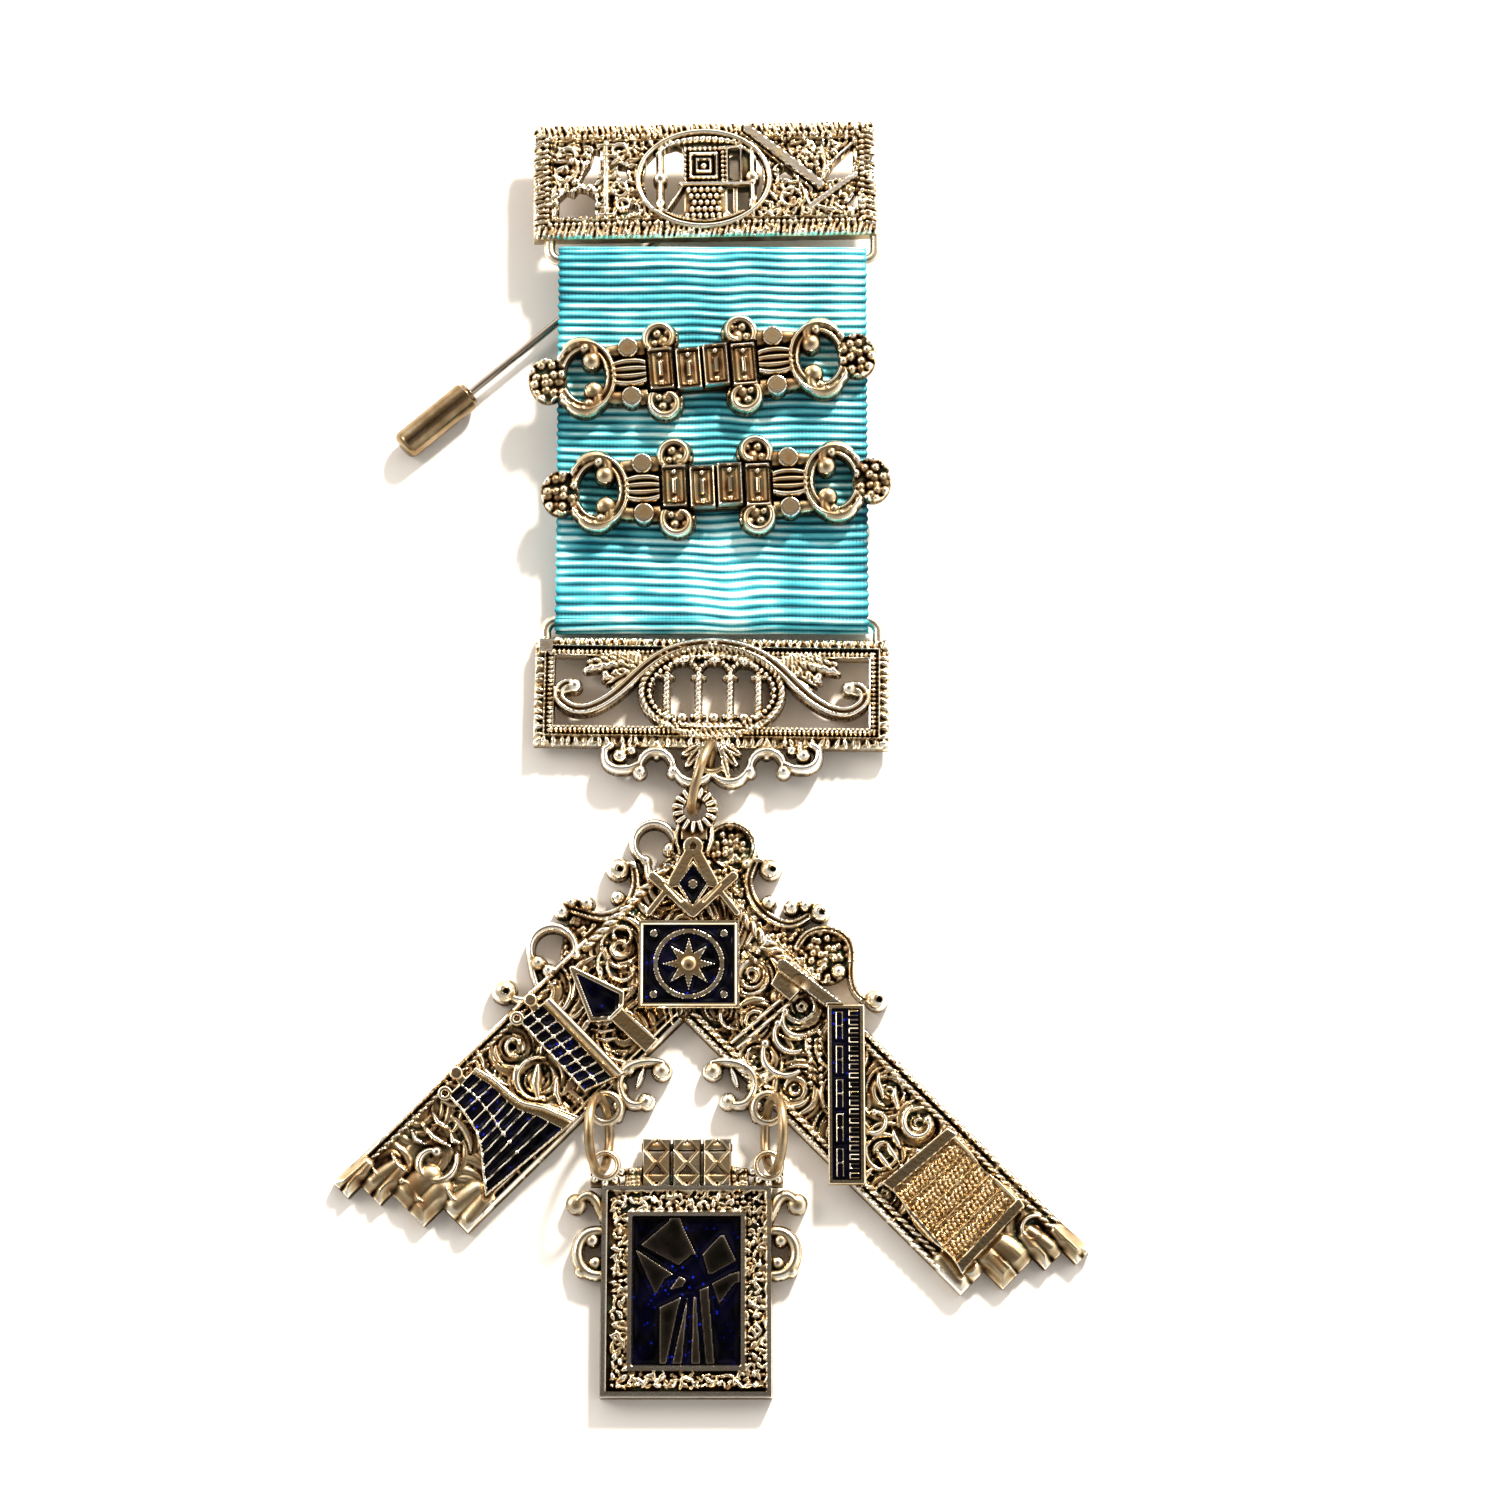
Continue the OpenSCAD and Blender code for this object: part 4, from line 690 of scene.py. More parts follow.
@dataclass(frozen=True)
class WearAndShadeMetal(Finish):
    """Plated metal: its colour runs from dark recesses to bright crowns, partly rubbing and tarnish and
    partly painted shade in the recesses and painted highlight on the crowns, with a fine grain.
    """

    name: str
    stops: tuple
    tarnish: str
    grain_mm: float
    rough_low: float
    rough_high: float

    def dress(self, tree: bpy.types.NodeTree, shader: bpy.types.Node) -> None:
        """Mixes the crest level (rubbing with painted shade and highlight), tarnish blotches and the grain.
        """
        new = partial(add_node, tree)
        place = new("TexCoord").outputs["Object"]
        wear_and_shade = new("Attribute", attribute_name="crest").outputs["Fac"]
        blotch = new("TexNoise", {"Vector": place, "Scale": 1 / (2.6 * MM), "Detail": 3.0}).outputs["Fac"]
        shifted = new("Math", {0: blotch, 1: -0.5}, operation="ADD").outputs[0]
        wear_shade_level = new("Math", {0: shifted, 1: 0.45, 2: wear_and_shade}, operation="MULTIPLY_ADD",
                   use_clamp=True).outputs[0]
        deep = new("MapRange", {"Value": wear_shade_level, "From Min": 0.6, "From Max": 0.25}).outputs[0]
        green = new("MapRange", {"Value": blotch, "From Min": 0.45, "From Max": 0.7}).outputs[0]
        patch = new("Math", {0: deep, 1: green}, operation="MULTIPLY").outputs[0]
        # The ramp paints shade into the recesses and highlight onto the crowns, over the rubbing.
        tone = colour_ramp(tree, wear_shade_level, self.stops)
        tinted = new("Mix", {"Factor": patch, 6: tone, 7: linear(self.tarnish)}, data_type="RGBA")
        rough = new("MapRange", {"Value": wear_shade_level, "From Min": 0.25, "From Max": 0.75, "To Min": self.rough_low,
                                 "To Max": self.rough_high})
        grain = new("TexNoise", {"Vector": place, "Scale": 1 / (self.grain_mm * MM), "Detail": 2.0})
        bump = new("Bump", {"Height": grain.outputs["Fac"], "Strength": 0.3, "Distance": 0.05 * MM})
        tree.links.new(tinted.outputs[2], shader.inputs["Base Color"])
        tree.links.new(rough.outputs[0], shader.inputs["Roughness"])
        tree.links.new(bump.outputs[0], shader.inputs["Normal"])
        shader.inputs["Metallic"].default_value = 1.0


@dataclass(frozen=True)
class NavyEnamel(Finish):
    """Vitreous enamel, fired and glossy: near black navy with sparse blue glints painted into its colour, for
    light caught by the foil under it.
    """

    name: str = "vitreous_enamel_navy"
    colour: str = "#05051C"
    deep: str = "#010104"
    glint: str = "#1E34D8"
    fleck_mm: float = 0.4

    def dress(self, tree: bpy.types.NodeTree, shader: bpy.types.Node) -> None:
        """Scatters painted glints of the foil by cell, thick in some patches, and lets the depth of colour
        drift.
        """
        new = partial(add_node, tree)
        place = new("TexCoord").outputs["Object"]
        drift = new("TexNoise", {"Vector": place, "Scale": 1 / (3.2 * MM), "Detail": 2.0}).outputs["Fac"]
        body = colour_ramp(tree, drift, ((0.42, self.deep), (0.7, self.colour)))
        cells = new("TexVoronoi", {"Vector": place, "Scale": 1 / (self.fleck_mm * MM)}).outputs
        pick = new("SeparateColor", {0: cells["Color"]}).outputs[0]
        rare = new("MapRange", {"Value": pick, "From Min": 0.8, "From Max": 0.98}).outputs[0]
        small = new("MapRange", {"Value": cells["Distance"], "From Min": 0.46, "From Max": 0.12}).outputs[0]
        patch = new("MapRange", {"Value": drift, "From Min": 0.48, "From Max": 0.6}).outputs[0]
        fleck = new("Math", {0: rare, 1: small}, operation="MULTIPLY").outputs[0]
        fleck = new("Math", {0: fleck, 1: patch}, operation="MULTIPLY").outputs[0]
        tone = new("Mix", {"Factor": fleck, 6: body, 7: linear(self.glint)}, data_type="RGBA")
        tree.links.new(tone.outputs[2], shader.inputs["Base Color"])
        shader.inputs["Roughness"].default_value = 0.12
        shader.inputs["IOR"].default_value = 1.52
        shader.inputs["Specular IOR Level"].default_value = 0.3


@dataclass(frozen=True)
class RibbedSilk(Finish):
    """Corded silk, woven and watered: teal cords with thin painted highlight along their crowns and deep teal
    painted shade between them.
    """

    name: str = "corded_silk_watered"
    # The brightest colour is painted highlight for the cords' crowns, and the deep one painted shade for the
    # grooves between them.
    painted_highlight: str = "#D2F4F8"
    light: str = "#6CC3D0"
    body: str = "#2E9AAC"
    deep: str = "#0A5566"
    thread_mm: float = 0.22

    def dress(self, tree: bpy.types.NodeTree, shader: bpy.types.Node) -> None:
        """Colours the cords by their height as painted highlight and shade, paints patches of sheen for the
        watering with long noise, and bumps the threads with a fine wave.
        """
        new = partial(add_node, tree)
        place = new("TexCoord").outputs["Object"]
        level = new("Attribute", attribute_name="crest").outputs["Fac"]
        # Long noise lifts the level in patches: painted sheen for the watering.
        waves = (((190, 1000, 190), 5.0, 1.0, False), ((150, 60, 150), 1.0, 1.2, True))
        for scale, detail, share, clamp in waves:
            way = new("Mapping", {"Vector": place, "Scale": scale}).outputs[0]
            noise = new("TexNoise", {"Vector": way, "Scale": 1.0, "Detail": detail}).outputs["Fac"]
            lift = new("Math", {0: noise, 1: -0.5}, operation="ADD").outputs[0]
            level = new("Math", {0: lift, 1: share, 2: level}, operation="MULTIPLY_ADD",
                        use_clamp=clamp).outputs[0]
        # Low levels are painted shade, high ones painted highlight.
        stops = ((0.12, self.deep), (0.4, self.body), (0.72, self.light), (0.95, self.painted_highlight))
        tone = colour_ramp(tree, level, stops)
        tree.links.new(tone, shader.inputs["Base Color"])
        close = 1 / (self.thread_mm * MM) / 6.28
        threads = new("TexWave", {"Vector": place, "Scale": close, "Distortion": 1.5}, wave_type="BANDS",
                      bands_direction="X")
        bump = new("Bump", {"Height": threads.outputs["Fac"], "Strength": 0.35, "Distance": 0.05 * MM})
        tree.links.new(bump.outputs[0], shader.inputs["Normal"])
        shader.inputs["Roughness"].default_value = 0.5
        shader.inputs["Sheen Weight"].default_value = 0.05
        shader.inputs["Sheen Roughness"].default_value = 0.35
        shader.inputs["Sheen Tint"].default_value = linear(self.light)
        shader.inputs["Specular IOR Level"].default_value = 0.38


@dataclass(frozen=True)
class Paper(Finish):
    """Matt white card, pressed: the surface that the jewel lies on."""

    name: str = "white_card_matt"
    colour: str = "#F4F2EF"

    def dress(self, tree: bpy.types.NodeTree, shader: bpy.types.Node) -> None:
        """Sets a pale matt face with a faint tooth."""
        new = partial(add_node, tree)
        place = new("TexCoord").outputs["Object"]
        tooth = new("TexNoise", {"Vector": place, "Scale": 1 / (0.8 * MM), "Detail": 2.0})
        bump = new("Bump", {"Height": tooth.outputs["Fac"], "Strength": 0.08, "Distance": 0.05 * MM})
        tree.links.new(bump.outputs[0], shader.inputs["Normal"])
        shader.inputs["Base Color"].default_value = linear(self.colour)
        shader.inputs["Roughness"].default_value = 0.9


# Gilt brass, lost-wax cast: near white crowns, rubbed bright and with painted highlight; brown recesses,
# partly tarnish and partly painted shade, with a faint green tarnish.
CAST = WearAndShadeMetal(
    "gilt_brass_cast",
    ((0.0, "#100A06"), (0.2, "#402D1D"), (0.42, "#937A5B"), (0.62, "#D2C1A1"),
     (0.82, "#F6F0E3"), (1.0, "#FFFDF7")),
    tarnish="#46584A", grain_mm=0.2, rough_low=0.5, rough_high=0.2
)
# Gilt brass, polished flat: warm tan faces, edges painted bright as highlight, and hairline scratches.
POLISHED = WearAndShadeMetal(
    "gilt_brass_polished",
    ((0.0, "#33241A"), (0.35, "#8E704A"), (0.55, "#D0B284"), (0.8, "#F0DFBD"),
     (1.0, "#FDF7E8")),
    tarnish="#8A7A5C", grain_mm=0.5, rough_low=0.3, rough_high=0.16
)
# Brass, polished flat and blackened: dark grey bronze faces, with edges painted lighter as highlight.
FACETED = WearAndShadeMetal(
    "blackened_brass_polished",
    ((0.0, "#12100F"), (0.2, "#3E3934"), (0.42, "#8A8276"), (0.7, "#D6CFC2"),
     (1.0, "#F8F5EF")),
    tarnish="#2C2A2A", grain_mm=0.6, rough_low=0.26, rough_high=0.15
)
# Nickel-plated steel wire, drawn: grey brown with long soft streaks.
STEEL = WearAndShadeMetal(
    "nickel_steel_drawn",
    ((0.0, "#4A423A"), (0.4, "#7C7166"), (0.6, "#9A8F84"), (0.8, "#B4AAA0"),
     (1.0, "#D8D2CA")),
    tarnish="#6A5F54", grain_mm=0.6, rough_low=0.36, rough_high=0.24
)
# Bronze-coloured plating, tumbled: warm brown faces with bright soft edges.
GUARD_METAL = WearAndShadeMetal(
    "bronze_plate_tumbled",
    ((0.0, "#30281E"), (0.4, "#6A5943"), (0.6, "#8E7A5E"), (0.8, "#BCA98D"),
     (1.0, "#EDE3D2")),
    tarnish="#655A4E", grain_mm=0.5, rough_low=0.32, rough_high=0.2
)
ENAMEL = NavyEnamel()
SILK = RibbedSilk()


@dataclass(frozen=True)
class Layout:
    """Sizes that place the sub-assemblies down the jewel's middle line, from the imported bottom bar."""

    bar_h: float = 13.5
    lower_rise: float = 2.4
    staple_wire: float = 1.4
    ribbon_len: float = 45.3
    upper_drop: float = 2.8
    top_h: float = 15.1
    lower_wire_z: float = 1.9
    upper_wire_z: float = 4.75
    eye_z: float = 2.4
    ring_chord: float = 6.7
    eye_spacing: float = 19.0

    @property
    def middle(self) -> Place:
        """The bottom bar's middle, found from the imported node's box."""
        low, high = (np.array(c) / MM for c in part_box("bottom_bar"))
        rise = self.bar_h / 2 + self.lower_rise + self.staple_wire / 2
        return Place(((low[0] + high[0]) / 2, high[1] - rise, 0.0))

    @property
    def head(self) -> Place:
        """The top of the square's middle line, found from the compasses' box."""
        low, high = (np.array(c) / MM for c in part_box("compasses"))
        return Place(((low[0] + high[0]) / 2, high[1] - 0.75, 0.0))

    @property
    def lower_wire_y(self) -> float:
        """Height of the lower wire above the bottom bar's middle."""
        return self.bar_h / 2 + self.lower_rise

    @property
    def ribbon_run(self) -> float:
        """Length of the ribbon between the wires, along its slope."""
        return math.hypot(self.ribbon_len, self.upper_wire_z - self.lower_wire_z)

    @property
    def upper_wire_y(self) -> float:
        """Height of the upper wire above the bottom bar's middle."""
        return self.lower_wire_y + self.ribbon_len

    @property
    def ribbon(self) -> Place:
        """The ribbon's own axes: X across it, Y up its length, Z out of its face."""
        slope = math.degrees(math.atan2(self.upper_wire_z - self.lower_wire_z, self.ribbon_len))
        return self.middle.moved(0, self.lower_wire_y, self.lower_wire_z, tip=slope)

    @property
    def top_bar(self) -> Place:
        """The top bar's middle, a little left of the ribbon's and turned one degree."""
        return self.middle.moved(-1.0, self.upper_wire_y + self.upper_drop + self.top_h / 2, turn=1.0)

    @property
    def pivot(self) -> Place:
        """Where the pin's rivet stands behind the top bar."""
        return self.top_bar.moved(4.2, 2.2)

    @property
    def side_eyes(self) -> Place:
        """The point midway between the two loops that carry the side rings."""
        return self.head.moved(-0.6, -31.6)


LAYOUT = Layout()


@dataclass
class Staple:
    """Wire staple that the ribbon folds round: a cross wire, two quarter bends and two legs."""

    place: Place
    depth: float
    z: float
    upward: bool
    wire: float = 1.4
    half: float = 20.1
    bend: float = 1.4
    root: float = 1.6

    def solid(self) -> Solid:
        """Carries the wire along legs and bends."""
        t = np.radians(np.linspace(0, 90, 9))
        turn = np.stack([self.half - self.bend + self.bend * np.cos(t),
                         -self.depth + self.bend * (1 - np.sin(t))], 1)
        leg = [[self.half, self.root], [self.half, self.root / 2]]
        right = np.vstack([leg, turn])
        path = np.vstack([right, right[::-1] * [-1, 1]])
        path = path * (1, -1 if self.upward else 1)
        points = np.column_stack([path, np.full(len(path), self.z)])
        return laid(tube(points, (0, 0, 1), self.wire / 2, 16), self.place)


@dataclass
class TopBar:
    """Pierced brooch bar: a pleated frame, a building in an oval, a gavel at the right."""

    w: float = 42.4
    h: float = 15.1
    back: float = 3.95
    plate: float = 1.6
    rise: float = 0.75
    frame: float = 2.5
    oval_x: float = -0.1
    rx: float = 8.5
    ry: float = 6.6

    def relief(self) -> Relief:
        """Draws the bar's piercing and raised work."""
        r = Relief.about(self.w / 2 + 0.5, self.h / 2 + 0.5, self.back + self.plate)
        body = r.box(0, 0, self.w, self.h)
        r.add(body)
        r.pebbles(ramp(-body, 0.3), 0.72, 0.6, 3)
        self.leaves(r)
        self.borders(r)
        for corners in SIDE_WINDOWS:
            r.cut(r.polygon(corners))
        for corners in OVAL_WINDOWS:
            r.cut(r.polygon(np.array(corners) + (self.oval_x, 0)))
        self.oval_work(r, self.oval_x)
        self.side_work(r)
        return r

    def leaves(self, r: Relief) -> None:
        """Packs short slanting leaves over both fields, jittered by a seeded generator."""
        rng = np.random.default_rng(15)
        a, b = self.w / 2 - self.frame, self.h / 2 - self.frame
        for x in np.arange(-a, a, 0.95):
            for y in np.arange(-b, b + 0.4, 0.95):
                spot = np.array((x, y)) + rng.uniform(-0.35, 0.35, 2)
                way = heading(rng.uniform(0, np.pi)) * rng.uniform(0.3, 0.8)
                r.stroke([spot - way, spot + way], rng.uniform(0.5, 0.75), rng.uniform(0.4, 0.8), tip=0.4)

    def borders(self, r: Relief) -> None:
        """Runs uneven pleats round the edge, a row of beads inside them and a thin rail."""
        rng = np.random.default_rng(9)
        a, b = self.w / 2, self.h / 2
        for long, short, first, last, turned in ((a, b, 0.5, 0.3, 1), (b, a, 1.4, 1.2, -1)):
            for side in (-1, 1):
                for at in np.arange(-long + first, long - last, 0.66):
                    near, lean = at + rng.uniform(-0.12, 0.12), rng.uniform(0.1, 0.5)
                    pleat = np.array([(near, side * (short - 0.25)), (near + lean, side * (short - 1.35))])
                    r.stroke(pleat[:, ::turned], 0.6, rng.uniform(0.45, 0.8), tip=0.7)
        for inset, width, profile, strand in ((1.75, 0.85, BEADS, 0.72), (2.35, 0.3, ROUND, 1.0)):
            r.border((0, 0), a - inset, b - inset, width, self.rise, profile, strand)

    def oval_work(self, r: Relief, ox: float) -> None:
        """Raises the oval's two rims and the building, posts and pedestal inside it."""
        r.plate(r.oval(ox, 0, self.rx, self.ry), r.level, 0.3, 0.0)
        for inset, width, up in ((0.35, 0.85, 1.2), (1.1, 0.5, 0.9)):
            r.hoop((ox, 0), self.rx - inset, self.ry - inset, width, self.rise * up)
        for x in (-5.4, 6.0):
            r.stroke([(ox + x, 4.9), (ox + x, -4.9)], 0.75, self.rise, tip=1.0, solid=True)
            for y, radius, up in ((0.2, 0.9, 1.1), (4.3, 0.65, 1), (-3.0, 0.6, 1)):
                r.ball((ox + x, y), radius, self.rise * up, True)
        for w, h, width, profile in ((4.7, 4.6, 0.62, BEADS), (3.2, 3.1, 0.5, ROUND),
                                     (1.7, 1.6, 0.45, ROUND)):
            r.border((ox, 1.75), w / 2, h / 2, width, self.rise, profile, 0.62)
        r.ball((ox, 1.75), 0.45, self.rise)
        for x0, y0, x1, y1, width, up in ((-2.9, -0.65, 6.2, -0.65, 0.6, 1.1), (2.9, 4.0, 2.9, -0.4, 0.5, 1),
                                          (4.6, 4.0, 4.6, -0.4, 0.5, 1), (2.7, 4.1, 4.8, 4.1, 0.6, 1)):
            r.stroke([(ox + x0, y0), (ox + x1, y1)], width, self.rise * up, tip=1.0, solid=True)
        for y, half in ((-1.4, 2.3), (-2.25, 2.0), (-3.1, 1.6), (-3.95, 1.9), (-4.8, 2.5)):
            r.stroke([(ox - half, y), (ox + half, y)], 0.85, self.rise, BEADS, 1.0, strand=0.78)
        r.stroke([(ox - 2.6, -0.9), (ox - 4.9, -4.4)], 0.5, self.rise * 0.6, solid=True)
        for x in np.arange(-4.8, 5.2, 0.78):
            r.ball((ox + x, 5.3 - 0.03 * x * x), 0.45, self.rise)

    def side_work(self, r: Relief) -> None:
        """Raises the column and leaves at the left, and the crossed tools at the right."""
        for corners, width, up, profile, tip in SIDE_STROKES:
            r.stroke(corners, width, self.rise * up, profile, tip)
        for x, y, radius, first, last in LEFT_CURLS:
            r.scroll((x, y), radius, radius * 0.5, first, last, 0.7, self.rise, 0.5)
        r.stroke([(5.4, 6.4), (14.2, -1.1)], 1.45, self.rise * 1.5, FLAT, 0.9, solid=True)
        r.scroll((10.6, -2.7), 1.3, 1.0, 0, 350, 0.65, self.rise)
        for k in range(5):
            r.stroke([(8.8 + k, -5.0), (9.3 + k, -4.0)], 0.6, self.rise)
            r.stroke([(13.6 + 0.7 * k, -2.0 - 0.2 * k), (13.2 + 0.8 * k, -4.6)], 0.4, self.rise * 0.8)

    def build(self) -> None:
        """Makes the bar with its staple and the rivet behind it."""
        drop = LAYOUT.middle.moved(0, LAYOUT.upper_wire_y + LAYOUT.upper_drop)
        rivet = lathe([(1.5, 0.02), (1.6, 0.15), (1.6, 1.3), (0.6, 1.34), (0.6, 2.46), (1.7, 2.5),
                       (1.7, 4.1)])
        make_piece("top_bar_casting", [laid(self.relief().solid(self.back), LAYOUT.top_bar),
                                       Staple(drop, LAYOUT.upper_drop, LAYOUT.upper_wire_z, False).solid(),
                                       laid(rivet, LAYOUT.pivot)], "top_bar")


SIDE_WINDOWS = [
    [(-18.1, -4.7), (-13.6, -4.7), (-13.6, -1.9), (-14.7, -1.1), (-15.6, -0.9), (-16.2, -1.7), (-17.1, -1.3),
     (-18.0, -2.2)],
    [(-15.5, -0.2), (-13.6, -0.5), (-12.9, 1.6), (-12.9, 3.9), (-13.6, 4.1), (-14.1, 2.4), (-14.9, 1.2)],
    [(-10.7, 2.0), (-9.8, 1.9), (-9.4, 0.4), (-10.0, -0.3), (-10.6, 0.6)],
    [(-9.5, -4.2), (-8.1, -4.3), (-8.4, -3.3), (-9.2, -3.1)],
    [(9.2, -0.1), (10.8, -0.2), (10.9, 0.9), (10.0, 1.6), (9.2, 1.0)],
    [(14.6, -0.4), (18.3, 0.1), (18.4, 4.2), (17.4, 3.2), (16.0, 1.9)],
    [(17.4, -3.9), (18.9, -3.9), (18.9, -1.7)],
    [(13.3, -2.0), (15.0, -2.0), (14.4, -0.9), (13.3, -1.2)],
]
SIDE_STROKES = [
    ([(-12.2, 4.9), (-12.2, -4.9)], 0.9, 1, ROUND, 1.0), ([(-13.1, 4.6), (-11.3, 4.6)], 0.7, 1, ROUND, 0.9),
    ([(-13.1, 3.2), (-11.3, 3.2)], 0.7, 1, ROUND, 0.9), ([(-13.1, -4.6), (-11.3, -4.6)], 0.7, 1, ROUND, 0.9),
    ([(5.0, 5.6), (13.5, -1.8)], 0.4, 1.1, ROUND, 1.0), ([(13.0, -3.9), (18.6, 0.2)], 0.9, 1.2, FLAT, 1.0),
    ([(14.6, 0.9), (18.8, 4.9)], 0.55, 1, ROUND, 0.9),
    ([(12.0, -1.2), (12.9, -3.6), (16.9, -4.7)], 0.7, 1, ROUND, 0.6),
]
OVAL_WINDOWS = [
    [(-7.0, -2.8), (-5.9, -4.2), (-5.9, 3.9), (-7.1, 2.6), (-7.5, 0)],
    [(-4.9, -4.4), (-2.5, -4.4), (-2.5, 4.1), (-3.4, 4.5), (-4.9, 4.1)],
    [(2.9, -4.0), (3.5, -4.6), (3.5, -1.2), (2.9, -1.2)],
    [(4.2, -4.3), (5.5, -4.1), (5.5, -1.1), (4.2, -1.1)],
    [(6.5, -3.4), (7.1, -2.0), (7.4, 0), (7.2, 2.1), (6.5, 3.4)],
    [(3.2, 0.0), (4.3, 0.0), (4.3, 3.8), (3.2, 3.8)],
]
LEFT_CURLS = [
    (-16.8, 3.2, 1.4, 200, -60), (-10.6, 3.8, 1.2, -20, 240), (-10.6, -1.4, 1.2, 90, -160),
    (-10.2, -3.4, 1.0, 0, 260), (-17.4, 0.6, 1.2, 90, 330)
]


@dataclass
class BottomBar:
    """Pierced lower bar: bead frame, two long scrolls over an oval arcade, and a crest with the eye."""

    w: float = 42.6
    h: float = 13.5
    back: float = 1.1
    plate: float = 1.6
    rise: float = 0.8
    rx: float = 8.9
    ry: float = 5.9
    pillars: tuple = (-5.4, -1.6, 2.2, 5.6)

    def relief(self) -> Relief:
        """Draws the bar with its windows and raised work."""
        r = Relief.about(self.w / 2 + 0.5, self.h / 2 + 0.5, self.back + self.plate - 0.25)
        r.add(np.maximum(r.box(0, 0, self.w, self.h), -r.box(0, 0, self.w - 4.9, self.h - 4.9)))
        r.add(np.maximum(r.oval(0, 0, self.rx, self.ry), -r.oval(0, 0, self.rx - 1.9, self.ry - 1.6)))
        r.pebbles(np.ones(r.x.shape), 0.6, 0.3, 5)
        self.scrolls(r)
        self.arcade(r)
        self.borders(r)
        return r

    def scrolls(self, r: Relief) -> None:
        """Runs a long double scroll from the top middle out to each side, with a leaf spray above it."""
        stem = np.vstack([curve((0, 6.1), (-5.4, 5.9), (-7.4, 3.8), (-10.2, 0.9), count=16),
                          curve((-10.4, 0.7), (-13.0, -1.9), (-15.8, -3.2), (-17.6, -1.7), count=12),
                          spiral((-17.0, -0.3), 1.5, 1.1, -115, -300, 12)])
        for _ in r.both():
            for tip, bend, width in (((-15.2, 2.6), 1.2, 1.5), ((-14.9, 3.6), 2.2, 1.3),
                                     ((-13.4, 4.3), 2.6, 1.2), ((-13.0, 1.5), 0.4, 1.4),
                                     ((-11.2, 4.4), 2.4, 1.2)):
                leaf = curve((-7.4, 3.8), (-9.6, 3.4 + bend * 0.4), (tip[0] + 2, tip[1] + 0.5), tip)
                r.stroke(leaf, width, self.rise + 0.1, ROPE, 0.5, True, strand=1.0)
            for x, y in ((11.0, 3.5), (12.2, 3.3), (13.4, 3.1), (14.5, 2.9), (10.2, 2.3), (11.6, 2.3),
                         (12.8, 2.1)):
                r.ball((x, y), 0.55, self.rise + 0.15, True)
            r.stroke(stem, 1.7, self.rise + 0.35, GROOVED, 0.85, True)
            r.ball(stem[-1], 0.95, self.rise + 0.45, True)
            r.stroke([(-18.4, -0.2), (-15.9, 0.4)], 0.9, self.rise, solid=True)
            r.stroke([(-9.6, 2.6), (-12.6, 0.9)], 0.7, self.rise, tip=0.5, solid=True)
            r.stroke([(-9.9, 1.9), (-12.0, 0.4)], 0.7, self.rise, tip=0.5, solid=True)

    def arcade(self, r: Relief) -> None:
        """Raises the oval's rope and rim, and an arcade of twisted columns on steps inside it."""
        for inset, width, profile in ((0.45, 1.0, ROPE), (1.4, 0.8, BEADS)):
            r.hoop((0, 0), self.rx - inset, self.ry - inset, width, self.rise * 1.2, profile, True, 0.72, 65)
        for x in self.pillars:
            r.stroke([(x, 1.9), (x, -4.2)], 1.0, self.rise, ROPE, 1.0, True, strand=0.6)
            for y in (1.9, -3.0):
                r.stroke([(x - 0.7, y), (x + 0.7, y)], 0.7, self.rise * 1.1, ROPE, 0.9, True, strand=0.5)
        for a, b in zip(self.pillars, self.pillars[1:]):
            arch = spiral(((a + b) / 2, 2.1), (b - a) / 2, (b - a) / 2, 0, 180, 16)
            r.stroke(arch, 0.8, self.rise, BEADS, 1.0, True, strand=0.55)
            r.ball(((a + b) / 2, 2.1 + (b - a) / 2), 0.62, self.rise * 1.2, True)
            r.ball(((a + b) / 2, -3.1), 0.7, self.rise, True)
        for y, half in ((-4.9, 4.6), (-4.1, 6.0)):
            r.stroke([(-half, y), (half, y)], 0.95, self.rise, ROPE, 0.8, True, strand=0.7)
        for x in (-4.4, -2.6, -0.7, 1.2, 3.0, 4.6):
            r.ball((x, 4.6 - 0.03 * x * x), 0.62, self.rise * 0.9, True)

    def borders(self, r: Relief) -> None:
        """Runs bricks, fine beads and thin ribs round the frame."""
        rng = np.random.default_rng(19)
        w, h = self.w / 2, self.h / 2
        for long, short, turned in ((w, h, 1), (h, w, -1)):
            for side in (-1, 1):
                for at in np.arange(-long + 0.5, long, 0.92):
                    a, b = at + rng.uniform(-0.3, 0.3, 2)
                    brick = np.array([(a, side * (short - 0.3)), (b, side * (short - 1.0))])
                    r.stroke(brick[:, ::turned], 0.8, rng.uniform(0.35, 0.7))
        for inset, width, profile, strand in ((1.9, 0.9, BEADS, 0.56), (1.22, 0.34, ROUND, 1.0),
                                              (2.35, 0.34, ROUND, 1.0)):
            r.border((0, 0), w - inset, h - inset, width, self.rise, profile, strand)
        r.plate(r.box(-20.0, 5.5, 1.9, 1.9), r.level + self.rise + 0.1)

